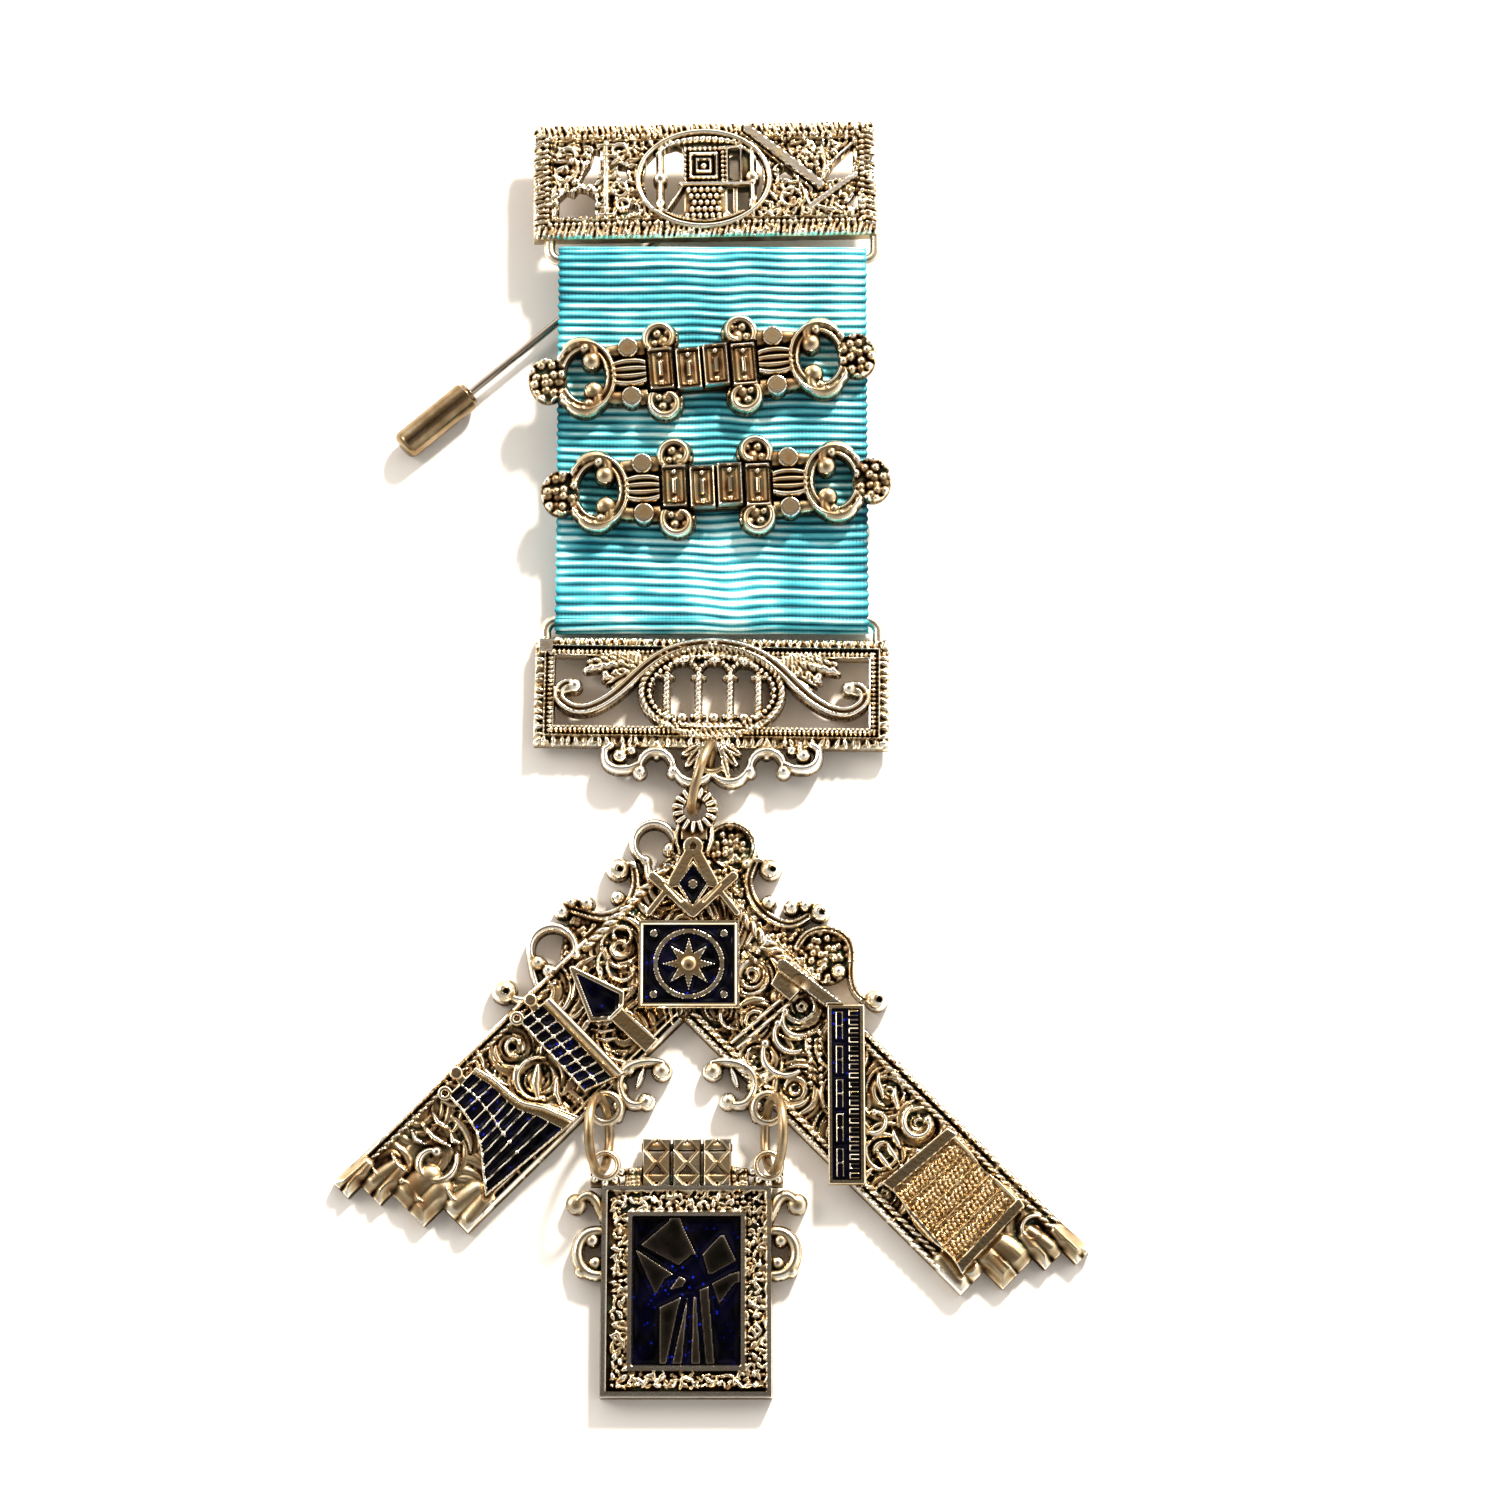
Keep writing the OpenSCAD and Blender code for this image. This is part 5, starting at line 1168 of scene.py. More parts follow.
    def crest(self) -> Relief:
        """Draws the scrolls, balls and fan that hang below the bar."""
        low = -self.h / 2
        r = Relief((-13.5, low - 5.6), (13.5, low + 0.6), self.back + self.plate - 0.5)
        bend = curve((-12.8, low - 0.4), (-13.1, low - 2.7), (-11.2, low - 3.0), (-9.6, low - 2.6))
        cup = np.vstack([[(-12.0, low + 0.2)], bend, [(-8.7, low - 2.2)]])
        arch = curve((-8.6, low - 2.4), (-8.4, low + 0.1), (-4.9, low + 0.1), (-4.6, low - 2.4))
        swag = curve((-4.4, low - 2.6), (-3.8, low - 4.6), (-1.6, low - 4.8), (-0.3, low - 3.6))
        for _ in r.both():
            r.stroke(cup, 1.25, 1.35, tip=0.9, solid=True)
            r.stroke(arch, 1.25, 1.35, tip=0.9, solid=True)
            for x, y, radius in ((-8.6, -3.0, 0.95), (-4.6, -3.0, 0.85), (-11.0, -1.1, 0.95),
                                 (-9.6, -0.5, 0.7)):
                r.ball((x, low + y), radius, 1.4, True)
            r.stroke([(-10.6, low + 0.3), (-10.4, low - 1.4)], 1.0, 1.1, solid=True)
            r.stroke([(-6.6, low + 0.4), (-6.6, low - 0.9)], 2.2, 0.9, solid=True)
            r.stroke(swag, 1.35, 1.3, solid=True)
            for reach, angle, width in ((3.5, 200, 1.2), (3.9, 221, 1.25), (4.3, 243, 1.25)):
                tip = np.array((0, low + 0.3)) + reach * heading(math.radians(angle))
                r.stroke([(-0.9, low + 0.3), tip], width, 1.2, GROOVED, 0.7, True)
        r.cut(r.oval(0, low - 1.2 - 0.35, 1.15, 1.15))
        return r

    def build(self) -> None:
        """Makes the bar with its crest, eye and staple."""
        middle = LAYOUT.middle
        eye = ring((0, -self.h / 2 - 1.2, LAYOUT.eye_z), (0, 0, 1), (1, 0, 0), 1.8, 0.8, crest=0.6)
        staple = Staple(middle.moved(0, self.h / 2), LAYOUT.lower_rise, LAYOUT.lower_wire_z, True)
        bar = laid(self.relief().solid(self.back), middle.moved(0, 0, turn=-0.7))
        crest = laid(self.crest().solid(self.back + 0.1), middle)
        make_piece("bottom_bar_casting", [bar, crest, laid(eye, middle), staple.solid()], "bottom_bar")


@dataclass
class Ribbon:
    """Corded silk ribbon: one loop folded round both staple wires."""

    w: float = 38.0
    fold_r: float = 1.75
    half: float = 1.1
    thick: float = 1.0
    taper: float = 7.0
    cord: float = 1.02
    depth: float = 0.3
    columns: int = 88
    wide: float = 4.6
    widen: float = 1.2

    def section(self, shrink: float, count: tuple[int, int, int]) -> Array:
        """Returns the loop seen from its edge, from the front's lower end round by the upper fold and back.

        The half thickness eases from the fold's radius to the flat part's by a cosine over the taper.
        """
        length = LAYOUT.ribbon_run
        front, fold, rear = count

        def half_at(y: Array) -> Array:
            """Half thickness at a height up the ribbon."""
            t = np.clip(np.minimum(y, length - y) / self.taper, 0, 1)
            return self.fold_r - shrink - (self.fold_r - self.half) * (1 - np.cos(np.pi * t)) / 2

        y = np.linspace(0, length, front, endpoint=False)
        angle = np.radians(np.linspace(90, -90, fold, endpoint=False))
        y_rear = np.linspace(length, 0, rear, endpoint=False)
        low_angle = np.radians(np.linspace(270, 90, fold, endpoint=False))
        r = self.fold_r - shrink
        parts = [np.stack([y, half_at(y)], 1),
                 np.stack([length + r * np.cos(angle), r * np.sin(angle)], 1),
                 np.stack([y_rear, -half_at(y_rear)], 1),
                 np.stack([r * np.cos(low_angle), r * np.sin(low_angle)], 1)]
        return np.vstack(parts)

    def solid(self) -> Solid:
        """Carries the section across the ribbon and raises the cords.

        A cord's height is the root of a rectified sine of the length along the loop. Its phase drifts with
        long waves across the ribbon, which bend more in the watered stripe right of the middle, the cords
        by the lower fold are wider, and the selvedge is nipped in by every cord.
        """
        count = (560, 48, 220)
        outer, inner = self.section(0, count), self.section(self.thick, count)
        rows, cols = len(outer), self.columns
        step = np.roll(outer, -1, 0) - outer
        along = np.concatenate([[0], np.cumsum(np.hypot(step[:, 0], step[:, 1]))[:-1]])[:, None]
        ahead = np.roll(outer, -1, 0) - np.roll(outer, 1, 0)
        ahead = ahead / np.linalg.norm(ahead, axis=1, keepdims=True)
        normal = np.stack([-ahead[:, 1], ahead[:, 0]], 1)
        u = np.linspace(-1, 1, cols)[None, :]
        stripe = np.exp(-((u - 0.12) / 0.26) ** 2)
        drift = (0.10 * np.sin(2.1 * u + along / 9.1) + 0.06 * np.sin(6.3 * u + along / 3.9 + 1.0)
                 + 0.24 * stripe * np.sin(9 * u + along / 5.3) + 0.3 * u * np.sin(along / 17 + 0.4))
        even = np.where(along < self.wide, self.wide - (self.wide - along) / self.widen, along)
        phase = (even + drift) / self.cord
        girth = 0.86 + 0.14 * np.sin(np.floor(phase) * 2.4 + 1.7 * u)
        cord = np.abs(np.sin(np.pi * phase)) ** 1.1 * girth
        edge = ramp(np.abs(u) - 0.955, 0.045)
        lift = self.depth * (cord * (1 - 0.45 * edge) - 1)
        across = u * self.w / 2 * (1 - 0.016 * (1 - cord) * (np.abs(u) > 0.985))
        shape = np.stack([np.broadcast_to(across, lift.shape), outer[:, :1] + normal[:, :1] * lift,
                          outer[:, 1:] + normal[:, 1:] * lift], -1)
        ends = np.array([-1, 1]) * self.w / 2 * 0.99
        lining = np.stack([np.broadcast_to(ends, (rows, 2)), np.repeat(inner[:, :1], 2, 1),
                           np.repeat(inner[:, 1:], 2, 1)], -1)
        points = np.vstack([shape.reshape(-1, 3), lining.reshape(-1, 3)])
        start = rows * cols
        i = np.arange(rows)
        j = (i + 1) % rows
        skin = grid_faces(rows, cols, True, False)
        back = np.stack([start + i * 2, start + j * 2, start + j * 2 + 1, start + i * 2 + 1], 1)
        left = np.stack([i * cols, j * cols, start + j * 2, start + i * 2], 1)
        right = np.stack([j * cols + cols - 1, i * cols + cols - 1, start + i * 2 + 1, start + j * 2 + 1], 1)
        # The cords' height becomes their colour level: painted highlight on the crowns, painted shade in the
        # grooves, and darker along the selvedge.
        crest = np.concatenate([(cord * (1 - 0.5 * edge)).ravel(), np.full(rows * 2, 0.3)])
        return Solid(points, np.vstack([skin, back, left, right])[:, ::-1], np.zeros((0, 3), int), crest)

    def build(self) -> None:
        """Makes the ribbon."""
        solid = laid(self.solid(), LAYOUT.ribbon)
        piece = make_piece("ribbon_corded_silk", [solid], "ribbon", SILK, crease=60)


@dataclass
class DateBar:
    """Pierced bar on the ribbon: four plain cells between sheaves, open rings with curls, and shells."""

    name: str
    up: float
    shift: float
    turn: float
    seed: int
    w: float = 42.4
    h: float = 12.8
    low: float = 1.35
    gap: float = 0.05
    block_w: float = 13.5
    block_h: float = 5.5
    dull: float = 1.3

    def relief(self) -> Relief:
        """Draws the bar."""
        r = Relief.about(self.w / 2 + 0.3, self.h / 2 + 0.4, self.low, 0.115)
        for side in (-1, 1):
            self.half(r, side)
        block = r.box(0, 0, self.block_w + 0.3, self.block_h + 0.2)
        r.add(block)
        r.plate(block, self.low + 0.1, 0.2, 0.0)
        self.cells(r)
        r.shine -= self.dull
        return r

    def half(self, r: Relief, side: int) -> None:
        """Draws one half: filled scrolls by the block, discs, sheaf, ring with two hooks, and shell."""
        hook = curve((16.2, 3.6), (15.2, 4.8), (12.4, 4.4), (13.1, 2.3))
        for up in (-1, 1):
            r.shell(r.oval(4.75 * side, 4.05 * up, 2.2, 2.1), self.low - 0.1, 0.6, 0.8, self.seed + up)
            r.flip = np.array([side, up])
            r.stroke(spiral((4.75, 4.05), 2.05, 1.1, -50, 250, 26), 1.15, 0.95, tip=0.8, solid=True)
            for x, y, radius in ((4.5, 3.5, 0.9), (5.2, 4.6, 0.7), (3.9, 4.6, 0.6), (5.6, 3.4, 0.6)):
                r.ball((x, y), radius, 0.8, True)
            r.stroke([(6.2, 3.1), (8.9, 3.1)], 2.1, 0.6, tip=0.95, solid=True)
            r.stroke([(8.9, 3.1), (11.6, 2.85)], 1.7, 0.65, tip=0.9, solid=True)
            r.ball((8.85, 3.1), 1.32, 1.0, True, 0.86)
            r.stroke(hook, 1.75, 0.95, tip=0.8, solid=True)
            r.ball((13.4, 1.9), 1.25, 1.15, True)
            r.ball((14.1, 3.5), 0.75, 1.1, True)
        r.flip = np.array([side, 1])
        r.add(r.box(side * 8.8, 0, 4.7, 3.7))
        for y in 0.86 * np.arange(-1.5, 2):
            rib = curve((6.8, 0.8 * y), (7.9, 1.2 * y), (9.7, 1.2 * y), (10.9, 0.8 * y))
            r.stroke(rib, 0.92, 1.0, tip=0.85)
        for inset, width, rise in ((0.0, 1.7, 0.55), (-0.35, 0.75, 1.0), (0.45, 0.6, 0.75)):
            r.hoop((14.3, 0), 3.2 - inset, 3.95 - inset, width, rise, solid=True)
        for angle in 0.35 * np.arange(-4, 5):
            r.ball((14.3 + 3.6 * math.cos(angle), 4.1 * math.sin(angle)), 0.55, 1.0)
        r.flip = np.ones(2)
        r.shell(r.oval(side * 18.9, 0, 2.35, 2.8), self.low - 0.1, 0.95, 1.05, self.seed + 7)

    def cells(self, r: Relief) -> None:
        """Sets four separate plates side by side, each a little off, with a stepped rim round a bar."""
        cell, floor, tall = self.block_w / 4, self.low + 0.5, self.block_h
        for k, off in enumerate((0.14, -0.12, 0.1, -0.16)):
            x = (k - 1.5) * cell
            plate = r.box(x, off, cell - 0.16, tall)
            r.add(plate)
            r.plate(plate, floor, 0.15, 0.3)
            rim = np.maximum(plate, -r.box(x, off, cell - 1.1, tall - 1.1))
            r.plate(rim, self.low + 1.0, 0.22, 0.4)
            step = np.maximum(r.box(x, off, cell - 1.3, tall - 1.3), -r.box(x, off, cell - 2.0, tall - 2.0))
            r.plate(step, self.low + 0.62, 0.15, 0.3)
            r.plate(r.box(x, off, 0.75, 2.1), self.low + 0.95, 0.22, 0.4)
            for up in (-1, 1):
                r.ball((x, off + up * 1.75), 0.36, 0.45, level=floor)

    def build(self) -> None:
        """Makes the bar where it rests on the ribbon."""
        place = LAYOUT.ribbon.moved(self.shift, self.up, 1.1 + self.gap).moved(0, 0, turn=self.turn)
        make_piece(self.name + "_casting", [laid(self.relief().solid(0, 0.25), place)], self.name)


@dataclass
class Square:
    """Large cast square: two arms with foliage, scrollwork round its apex and two inner curls."""

    emblems: tuple = ()
    left_w: float = 15.4
    right_w: float = 14.4
    left_len: float = 56.8
    right_len: float = 67.8
    ground: float = 1.3
    bulk: float = 1.1
    scroll_dull: float = 0.9
    stair_depth: float = 7.0
    stairs: tuple = ((0.17, 0.0), (0.38, 0.3), (0.73, 0.57), (1.0, 1.0))

    @property
    def apex(self) -> Place:
        """The outer corner where both arms meet."""
        return LAYOUT.head.moved(-1.7, 0)

    def arm_place(self, side: int) -> Place:
        """Returns an arm's axes: X along it from the apex, Y in from its outer edge."""
        k = 1 / math.sqrt(2)
        return Place(self.apex.origin, ((side * k, -k, 0), (-side * k, -k, 0), (0, 0, 1)))

    def outline(self, length: float, width: float, start: float) -> list[Point]:
        """Returns the arm's corners with its stepped end."""
        corners = [(start, 0.0)]
        before = 0.0
        for share, back in self.stairs:
            x = length - back * self.stair_depth
            corners += [(x, width * before), (x, width * share)]
            before = share
        return corners + [(start, width)]

    def arm(self, side: int) -> Relief:
        """Draws one arm's ground, foliage, borders and stepped end."""
        left = side < 0
        width, length = (self.left_w, self.left_len) if left else (self.right_w, self.right_len)
        start = 0.0 if left else self.left_w
        r = Relief((start - 0.4, -0.6), (length + 1.0, width + 0.6), self.ground, 0.135)
        body = r.polygon(self.outline(length, width, start))
        r.add(body)
        r.pebbles(ramp(-body - 0.2, 0.3), 0.55, 0.35, 11 + side)
        self.foliage(r, length, width, LEFT_HEARTS if left else RIGHT_HEARTS, 41 + side)
        self.edges(r, side, length, width)
        if left:
            self.curls(r, LEFT_RIBS, LEFT_SCROLLS, 0.4)
        else:
            self.curls(r, RIGHT_RIBS, RIGHT_SCROLLS, -0.4)
            self.rods(r)
        self.tongues(r, body, length, width)
        r.face = np.minimum(r.face, self.headroom(r, side))
        return r

    def headroom(self, r: Relief, side: int) -> Array:
        """Returns how high the arm may stand: just below the emblems' backs where they lie on it."""
        seen = Seen(r, self.arm_place(side), LAYOUT.head)
        gap = np.minimum.reduce([emblem.fields(seen)[0] for emblem in self.emblems])
        return 2.22 + 0.38 * ramp(gap - 0.15, 0.5)

    def foliage(self, r: Relief, length: float, width: float, hearts: list[Point], seed: int) -> None:
        """Packs leaves that lie on arcs round the nearest of some hearts, jittered by a seeded generator."""
        rng = np.random.default_rng(seed)
        hearts = np.array(hearts)
        for x in np.arange(r.x.min() + 1.0, length - 5.0, 1.15):
            for y in np.arange(1.9, width - 1.3, 1.15):
                spot = np.array((x, y)) + rng.uniform(-0.5, 0.5, 2)
                away = spot - hearts
                nearest = np.hypot(*away.T).argmin()
                radius = max(float(np.hypot(*away[nearest])), 0.5)
                angle = math.degrees(math.atan2(away[nearest, 1], away[nearest, 0]))
                half = math.degrees(rng.uniform(1.1, 2.6) / radius)
                arc = spiral(hearts[nearest], radius * 0.93, radius * 1.07, angle - half, angle + half, 7)
                broad = float(ramp(np.array(x - length + 17.0), 4.0))
                wide, rise = rng.uniform((0.45, 0.35), (1.05, 0.9))
                r.stroke(arc, wide + 0.5 * broad, rise * (1 - 0.3 * broad), tip=0.35)

    def edges(self, r: Relief, side: int, length: float, width: float) -> None:
        """Runs ropes and rails along both edges, by their ends, place across, width, lift and strand."""
        end = length - self.stair_depth
        if side < 0:
            r.stroke([(3.0, 1.0), (16.5, 1.0)], 1.5, self.bulk, ROPE, 0.8, strand=1.25)
            r.stroke([(0.85, 2.5), (0.85, width)], 1.65, self.bulk + 0.1, ROPE, 1.0, strand=1.3)
            rows = [(16.0, length - 0.5, 0.45, 0.8, 0, 0), (22.0, length - 3.0, 1.35, 0.8, -0.1, 1.1)]
            rows += [(self.right_w + 0.3, end, width - 0.4 - 0.75 * k, 0.55, -0.15 * k, 0) for k in range(3)]
        else:
            rows = [(self.left_w - 0.2, 27.5, 0.85, 1.65, 0.1, 1.3), (27.0, length - 0.5, 0.45, 0.75, 0, 1.2),
                    (27.0, length - 3.0, 1.45, 0.95, 0, 1.0), (self.left_w, end, width - 0.42, 0.75, 0, 1.2),
                    (self.left_w, end, width - 1.35, 1.0, 0, 1.1)]
        for first, last, y, wide, up, strand in rows:
            r.stroke([(first, y), (last, y)], wide, self.bulk + up, ROPE if strand else ROUND, 1.0,
                     strand=strand or 1.0)

    def tongues(self, r: Relief, body: Array, length: float, width: float) -> None:
        """Ends the arm in thick rounded tongues, two on each step, that slope down to the edge."""
        before = 0.0
        for share, back in self.stairs:
            x = length - back * self.stair_depth
            wide = width * (share - before) / 2
            for k, lean in enumerate((0.35, -0.35)):
                y = width * before + wide * (k + 0.5)
                r.stroke([(x - 4.4, y + lean), (x - 2.0, y), (x - 0.1, y - 0.5 * lean)], wide * 1.45,
                         self.bulk + 0.1, tip=0.85)
            before = share
        at_end = ramp(r.x - length + self.stair_depth + 1.5, 2.0)
        r.face = r.face - 0.75 * at_end * ramp(body + 1.3, 1.3)
        r.shine -= 1.1 * at_end

    def curls(self, r: Relief, ribs: list[tuple], scrolls: list[tuple], bow: float) -> None:
        """Raises an arm's larger leaves, bowed along it, and its curls."""
        for x0, y0, x1, y1, w in ribs:
            r.stroke([(x0, y0), ((x0 + x1) / 2 + bow, (y0 + y1) / 2), (x1, y1)], w, self.bulk + 0.1, tip=0.5)
        for x, y, start, end, first, last, w in scrolls:
            r.scroll((x, y), start, end, first, last, w, self.bulk + 0.1, w * 0.6)

    def rods(self, r: Relief) -> None:
        """Raises two rods and three bead rows on the right arm."""
        for k in range(2):
            r.stroke([(21.3 + 0.95 * k, 12.3), (21.8 + 0.95 * k, 4.2)], 0.8, self.bulk + 0.1, tip=0.9)
        for k in range(3):
            row = [(26.6 + k * 0.9, 4.8 - k * 0.9), (31.6 + k * 0.9, 9.6 - k * 0.9)]
            r.stroke(row, 0.8, self.bulk, BEADS, 1.0, strand=0.85)

    def scrollwork(self) -> Relief:
        """Draws the outer scrolls, rails and balls on both sides of the apex, and the neck."""
        r = Relief((-25.5, -24.0), (24.5, 3.6), self.ground)
        for side, ground in OUTER_GROUNDS:
            r.shell(r.polygon(ground), self.ground, 0.6, 0.7, 23 + side)
        r.shell(r.oval(4.4, -0.3, 2.6, 2.6), self.ground, 0.7, 0.8, 27)
        r.shell(r.oval(15.9, -13.4, 2.9, 3.4), self.ground, 0.8, 0.85, 31)
        for x, y, start, end, first, last, w, ball in OUTER_SCROLLS:
            arc = spiral((x, y), start, end, first, last, 26)
            r.stroke(arc, w, self.bulk + 0.15, GROOVED if w < 1.0 else ROUND, 0.8, True)
            r.ball(arc[-1], ball, self.bulk + 0.2, True)
        for width, corners in OUTER_RAILS:
            r.stroke(eased(corners), width, self.bulk + 0.1, GROOVED, 0.85, True)
        for width, corners in OUTER_STEMS:
            r.stroke(eased(corners), width, self.bulk, tip=0.9, solid=True)
        for x, y, radius in OUTER_BALLS:
            r.ball((x, y), radius * 1.1, self.bulk + 0.7, True)
        for x, y, radius in OUTER_BALLS:
            if radius > 1.1:
                r.face -= 0.7 * ramp(0.42 - np.hypot(r.x - x - 0.25, r.y - y + 0.2), 0.25)
        neck = [(-2.5, -4.4), (2.5, -4.4), (2.3, 0.6), (1.6, 2.2), (-1.2, 2.2), (-2.3, 0.6)]
        r.shell(r.polygon(neck), self.ground, 0.8, 0.75, 29)
        for side in (-1, 1):
            cheek = eased([(side * 1.9 + 0.2, 2.4), (side * 2.3, 0.8), (side * 1.6, -1.0)])
            r.stroke(cheek, 0.9, self.bulk, tip=0.7, solid=True)
        r.shine -= self.scroll_dull
        return r

    def inner_curls(self) -> Relief:
        """Draws the curl under each arm that carries a side ring's loop."""
        x = -LAYOUT.eye_spacing / 2
        r = Relief((x - 2.4, -2.4), (-x + 2.4, 7.0), 1.3)
        outer = curve((x + 6.6, 5.4), (x + 4, 5.9), (x + 1.2, 5), (x + 1.6, 2.4))
        lower = curve((x + 1.6, 2.8), (x + 1.8, 0.8), (x + 3, 0.1), (x + 4.4, 0.6))
        for _ in r.both():
            r.stroke(outer, 1.45, 1.35, tip=0.75, solid=True)
            r.stroke(lower, 1.35, 1.3, tip=0.8, solid=True)
            for bx, by, radius, rise in ((6.5, 4.5, 1.25, 1.55), (4.7, 0.9, 1.1, 1.5), (2.7, 4.6, 0.8, 1.3),
                                         (0.6, 3.6, 0.85, 1.3), (1.3, 0.4, 0.75, 1.3)):
                r.ball((x + bx, by), radius, rise, True)
            r.stroke([(x + 2.2, 1.4), (x + 1.4, -1.0)], 1.2, 1.1, tip=1.0, solid=True)
            r.stroke([(x + 1.8, 2.6), (x - 0.4, 4.2)], 1.7, 1.0, tip=1.0, solid=True)
            r.stroke([(x + 4.4, 4.8), (x + 3.6, 2.6)], 0.9, 1.0, solid=True)
        r.shine -= self.scroll_dull
        return r

    def build(self) -> None:
        """Makes the two arms and the scrollwork, which stand for one casting."""
        for side, name in ((-1, "square_left_arm"), (1, "square_right_arm")):
            make_piece(name, [laid(self.arm(side).solid(0.0, 0.25), self.arm_place(side))], "masons_square")
        head, loops = LAYOUT.head, LAYOUT.side_eyes
        solids = [laid(self.scrollwork().solid(0.4, 0.3), head),
                  laid(self.inner_curls().solid(0.4, 0.3), loops)]
        for side in (-1, 1):
            centre = (side * LAYOUT.eye_spacing / 2, 0, LAYOUT.eye_z)
            solids.append(laid(ring(centre, (0, 0, 1), (1, 0, 0), 1.7, 0.9, crest=0.7), loops))
        solids.append(laid(self.collar().solid(1.3, 0.2), head))
        make_piece("square_scrollwork", solids, "masons_square")

    def collar(self) -> Relief:
        """Draws the collar round the eyelet, ribbed like a sunburst and open in its middle."""
        middle, outer, hole, ribs = np.array((0.2, 4.15)), 2.75, 1.35, 15
        r = Relief((-2.9, 0.6), (3.3, 7.3), 2.2, 0.1)
        r.add(r.oval(*middle, outer, outer))
        r.add(r.box(0.1, 1.7, 3.2, 2.4))
        r.cut(r.oval(*middle, hole, hole))
        for k in range(ribs):
            way = heading(2 * math.pi * k / ribs)
            r.stroke([middle + way * (hole + 0.1), middle + way * (outer - 0.1)], 0.78, 0.75, tip=0.75)
        return r


LEFT_HEARTS = [
    (5.0, 2.4), (6.5, 7.5), (13.6, 3.9), (17.6, 6.0), (20.6, 11.6), (24.0, 1.2), (31.5, 8.4), (31.0, 3.4),
    (33.6, 13.4), (38.0, 1.0), (46.6, 6.1), (50.8, 3.6), (51.2, 9.6), (44.0, 1.0), (47.6, 12.6)
]
LEFT_RIBS = [
    (42.9, 2.4, 42.8, 5.1, 0.9), (44.7, 2.4, 44.2, 6.8, 0.9), (46.1, 2.2, 46.1, 4.5, 0.8),
    (49.6, 2.5, 49.8, 5.4, 0.9), (43.1, 5.7, 43.1, 7.3, 0.9), (52.3, 2.2, 52.1, 4.0, 0.9),
    (50.8, 7.5, 50.8, 9.4, 1.0), (47.9, 10.1, 47.8, 12.7, 1.0), (39.8, 2.6, 39.6, 5.0, 0.8),
    (22.5, 7.6, 20.3, 9.8, 0.7), (22.9, 8.6, 20.9, 10.6, 0.7), (23.2, 9.7, 21.5, 11.4, 0.7),
    (32.9, 9.8, 30.4, 7.2, 1.7), (31.6, 12.2, 29.8, 9.8, 1.2), (34.1, 7.7, 32.2, 5.4, 1.1)
]
LEFT_SCROLLS = [
    (46.8, 6.7, 2.8, 1.2, 150, -150, 1.35), (31.5, 8.4, 2.7, 2.3, -150, 60, 0.9),
    (33.4, 12.4, 1.7, 0.9, 20, 300, 0.9), (15.0, 5.9, 3.2, 2.6, -80, 110, 0.75),
    (15.0, 5.9, 2.1, 1.3, -80, 130, 0.75), (12.6, 2.9, 1.4, 0.8, 60, 330, 0.7),
    (51.6, 6.2, 1.5, 0.8, -40, 220, 0.9), (30.6, 3.6, 1.3, 0.7, 60, -180, 0.8),
    (18.4, 3.6, 1.5, 0.8, 160, -90, 0.7)
]
RIGHT_HEARTS = [
    (17.2, 5.0), (17.4, 10.6), (21.4, 8.6), (24.0, 3.4), (24.6, 11.6), (30.4, 11.0), (31.0, 3.2),
    (35.4, 7.4), (38.4, 3.4), (38.6, 11.0), (43.5, 3.6), (43.0, 9.0), (46.4, 12.2), (60.6, 9.8), (61.6, 3.2),
    (64.6, 4.4)
]
RIGHT_RIBS = [
    (45.4, 1.9, 48.6, 1.7, 1.1), (43.9, 7.2, 42.0, 6.4, 1.1), (44.8, 8.5, 42.4, 7.9, 1.0),
    (44.9, 9.8, 42.4, 9.4, 1.0), (60.4, 9.9, 64.0, 9.6, 1.0), (60.2, 8.4, 64.4, 8.2, 0.9),
    (60.6, 11.2, 62.4, 11.2, 0.9), (60.8, 6.4, 64.8, 6.2, 0.9), (63.0, 1.2, 67.0, 1.2, 2.3),
    (36.0, 2.8, 38.4, 4.4, 1.0), (38.6, 2.6, 40.6, 4.2, 1.0), (37.6, 10.6, 40.2, 9.2, 1.0)
]
RIGHT_SCROLLS = [
    (43.6, 3.6, 2.2, 1.0, 200, -70, 1.15), (61.6, 3.2, 1.8, 0.8, 250, 0, 0.9),
    (24.9, 5.0, 1.9, 1.8, 20, 170, 1.05), (25.6, 6.6, 2.2, 2.1, 20, 170, 1.05),
    (26.6, 8.8, 2.7, 2.6, 10, 160, 1.2), (16.2, 4.6, 2.9, 2.1, 60, 260, 0.75),
    (16.2, 4.6, 1.9, 1.1, 60, 280, 0.7), (19.0, 9.8, 1.9, 1.0, 30, 300, 0.8),
    (33.8, 7.6, 1.6, 0.8, 30, -220, 0.9), (39.6, 7.0, 1.8, 0.9, 120, -140, 0.95)
]
LEFT_SWEEP = [(-6.7, -4.6), (-7.4, -6.9), (-9.3, -8.5), (-11.5, -8.7), (-14.4, -7.8)]
RIGHT_SWEEP = [(6.5, -3.9), (6.8, -6.1), (8.1, -8.1), (10, -9.4), (11.9, -9.7)]
OUTER_GROUNDS = [
    (-1, [(-7.0, -3.0), *LEFT_SWEEP, (-15.4, -11.0), (-15.9, -14.4), (-5.2, -3.7)]),
    (1, [(7.4, -2.1), *RIGHT_SWEEP, (13.3, -9.4), (13.2, -12.0), (14.4, -16.3), (1.0, -3.0)]),
]
OUTER_SCROLLS = [
    (-4.7, 0.2, 2.5, 2.35, -20, 246, 1.25, 0.8), (-16.6, -12.6, 2.6, 2.7, 205, -12, 1.3, 0.85),
    (4.4, -0.3, 2.9, 2.8, 205, -45, 0.85, 0.8)
]
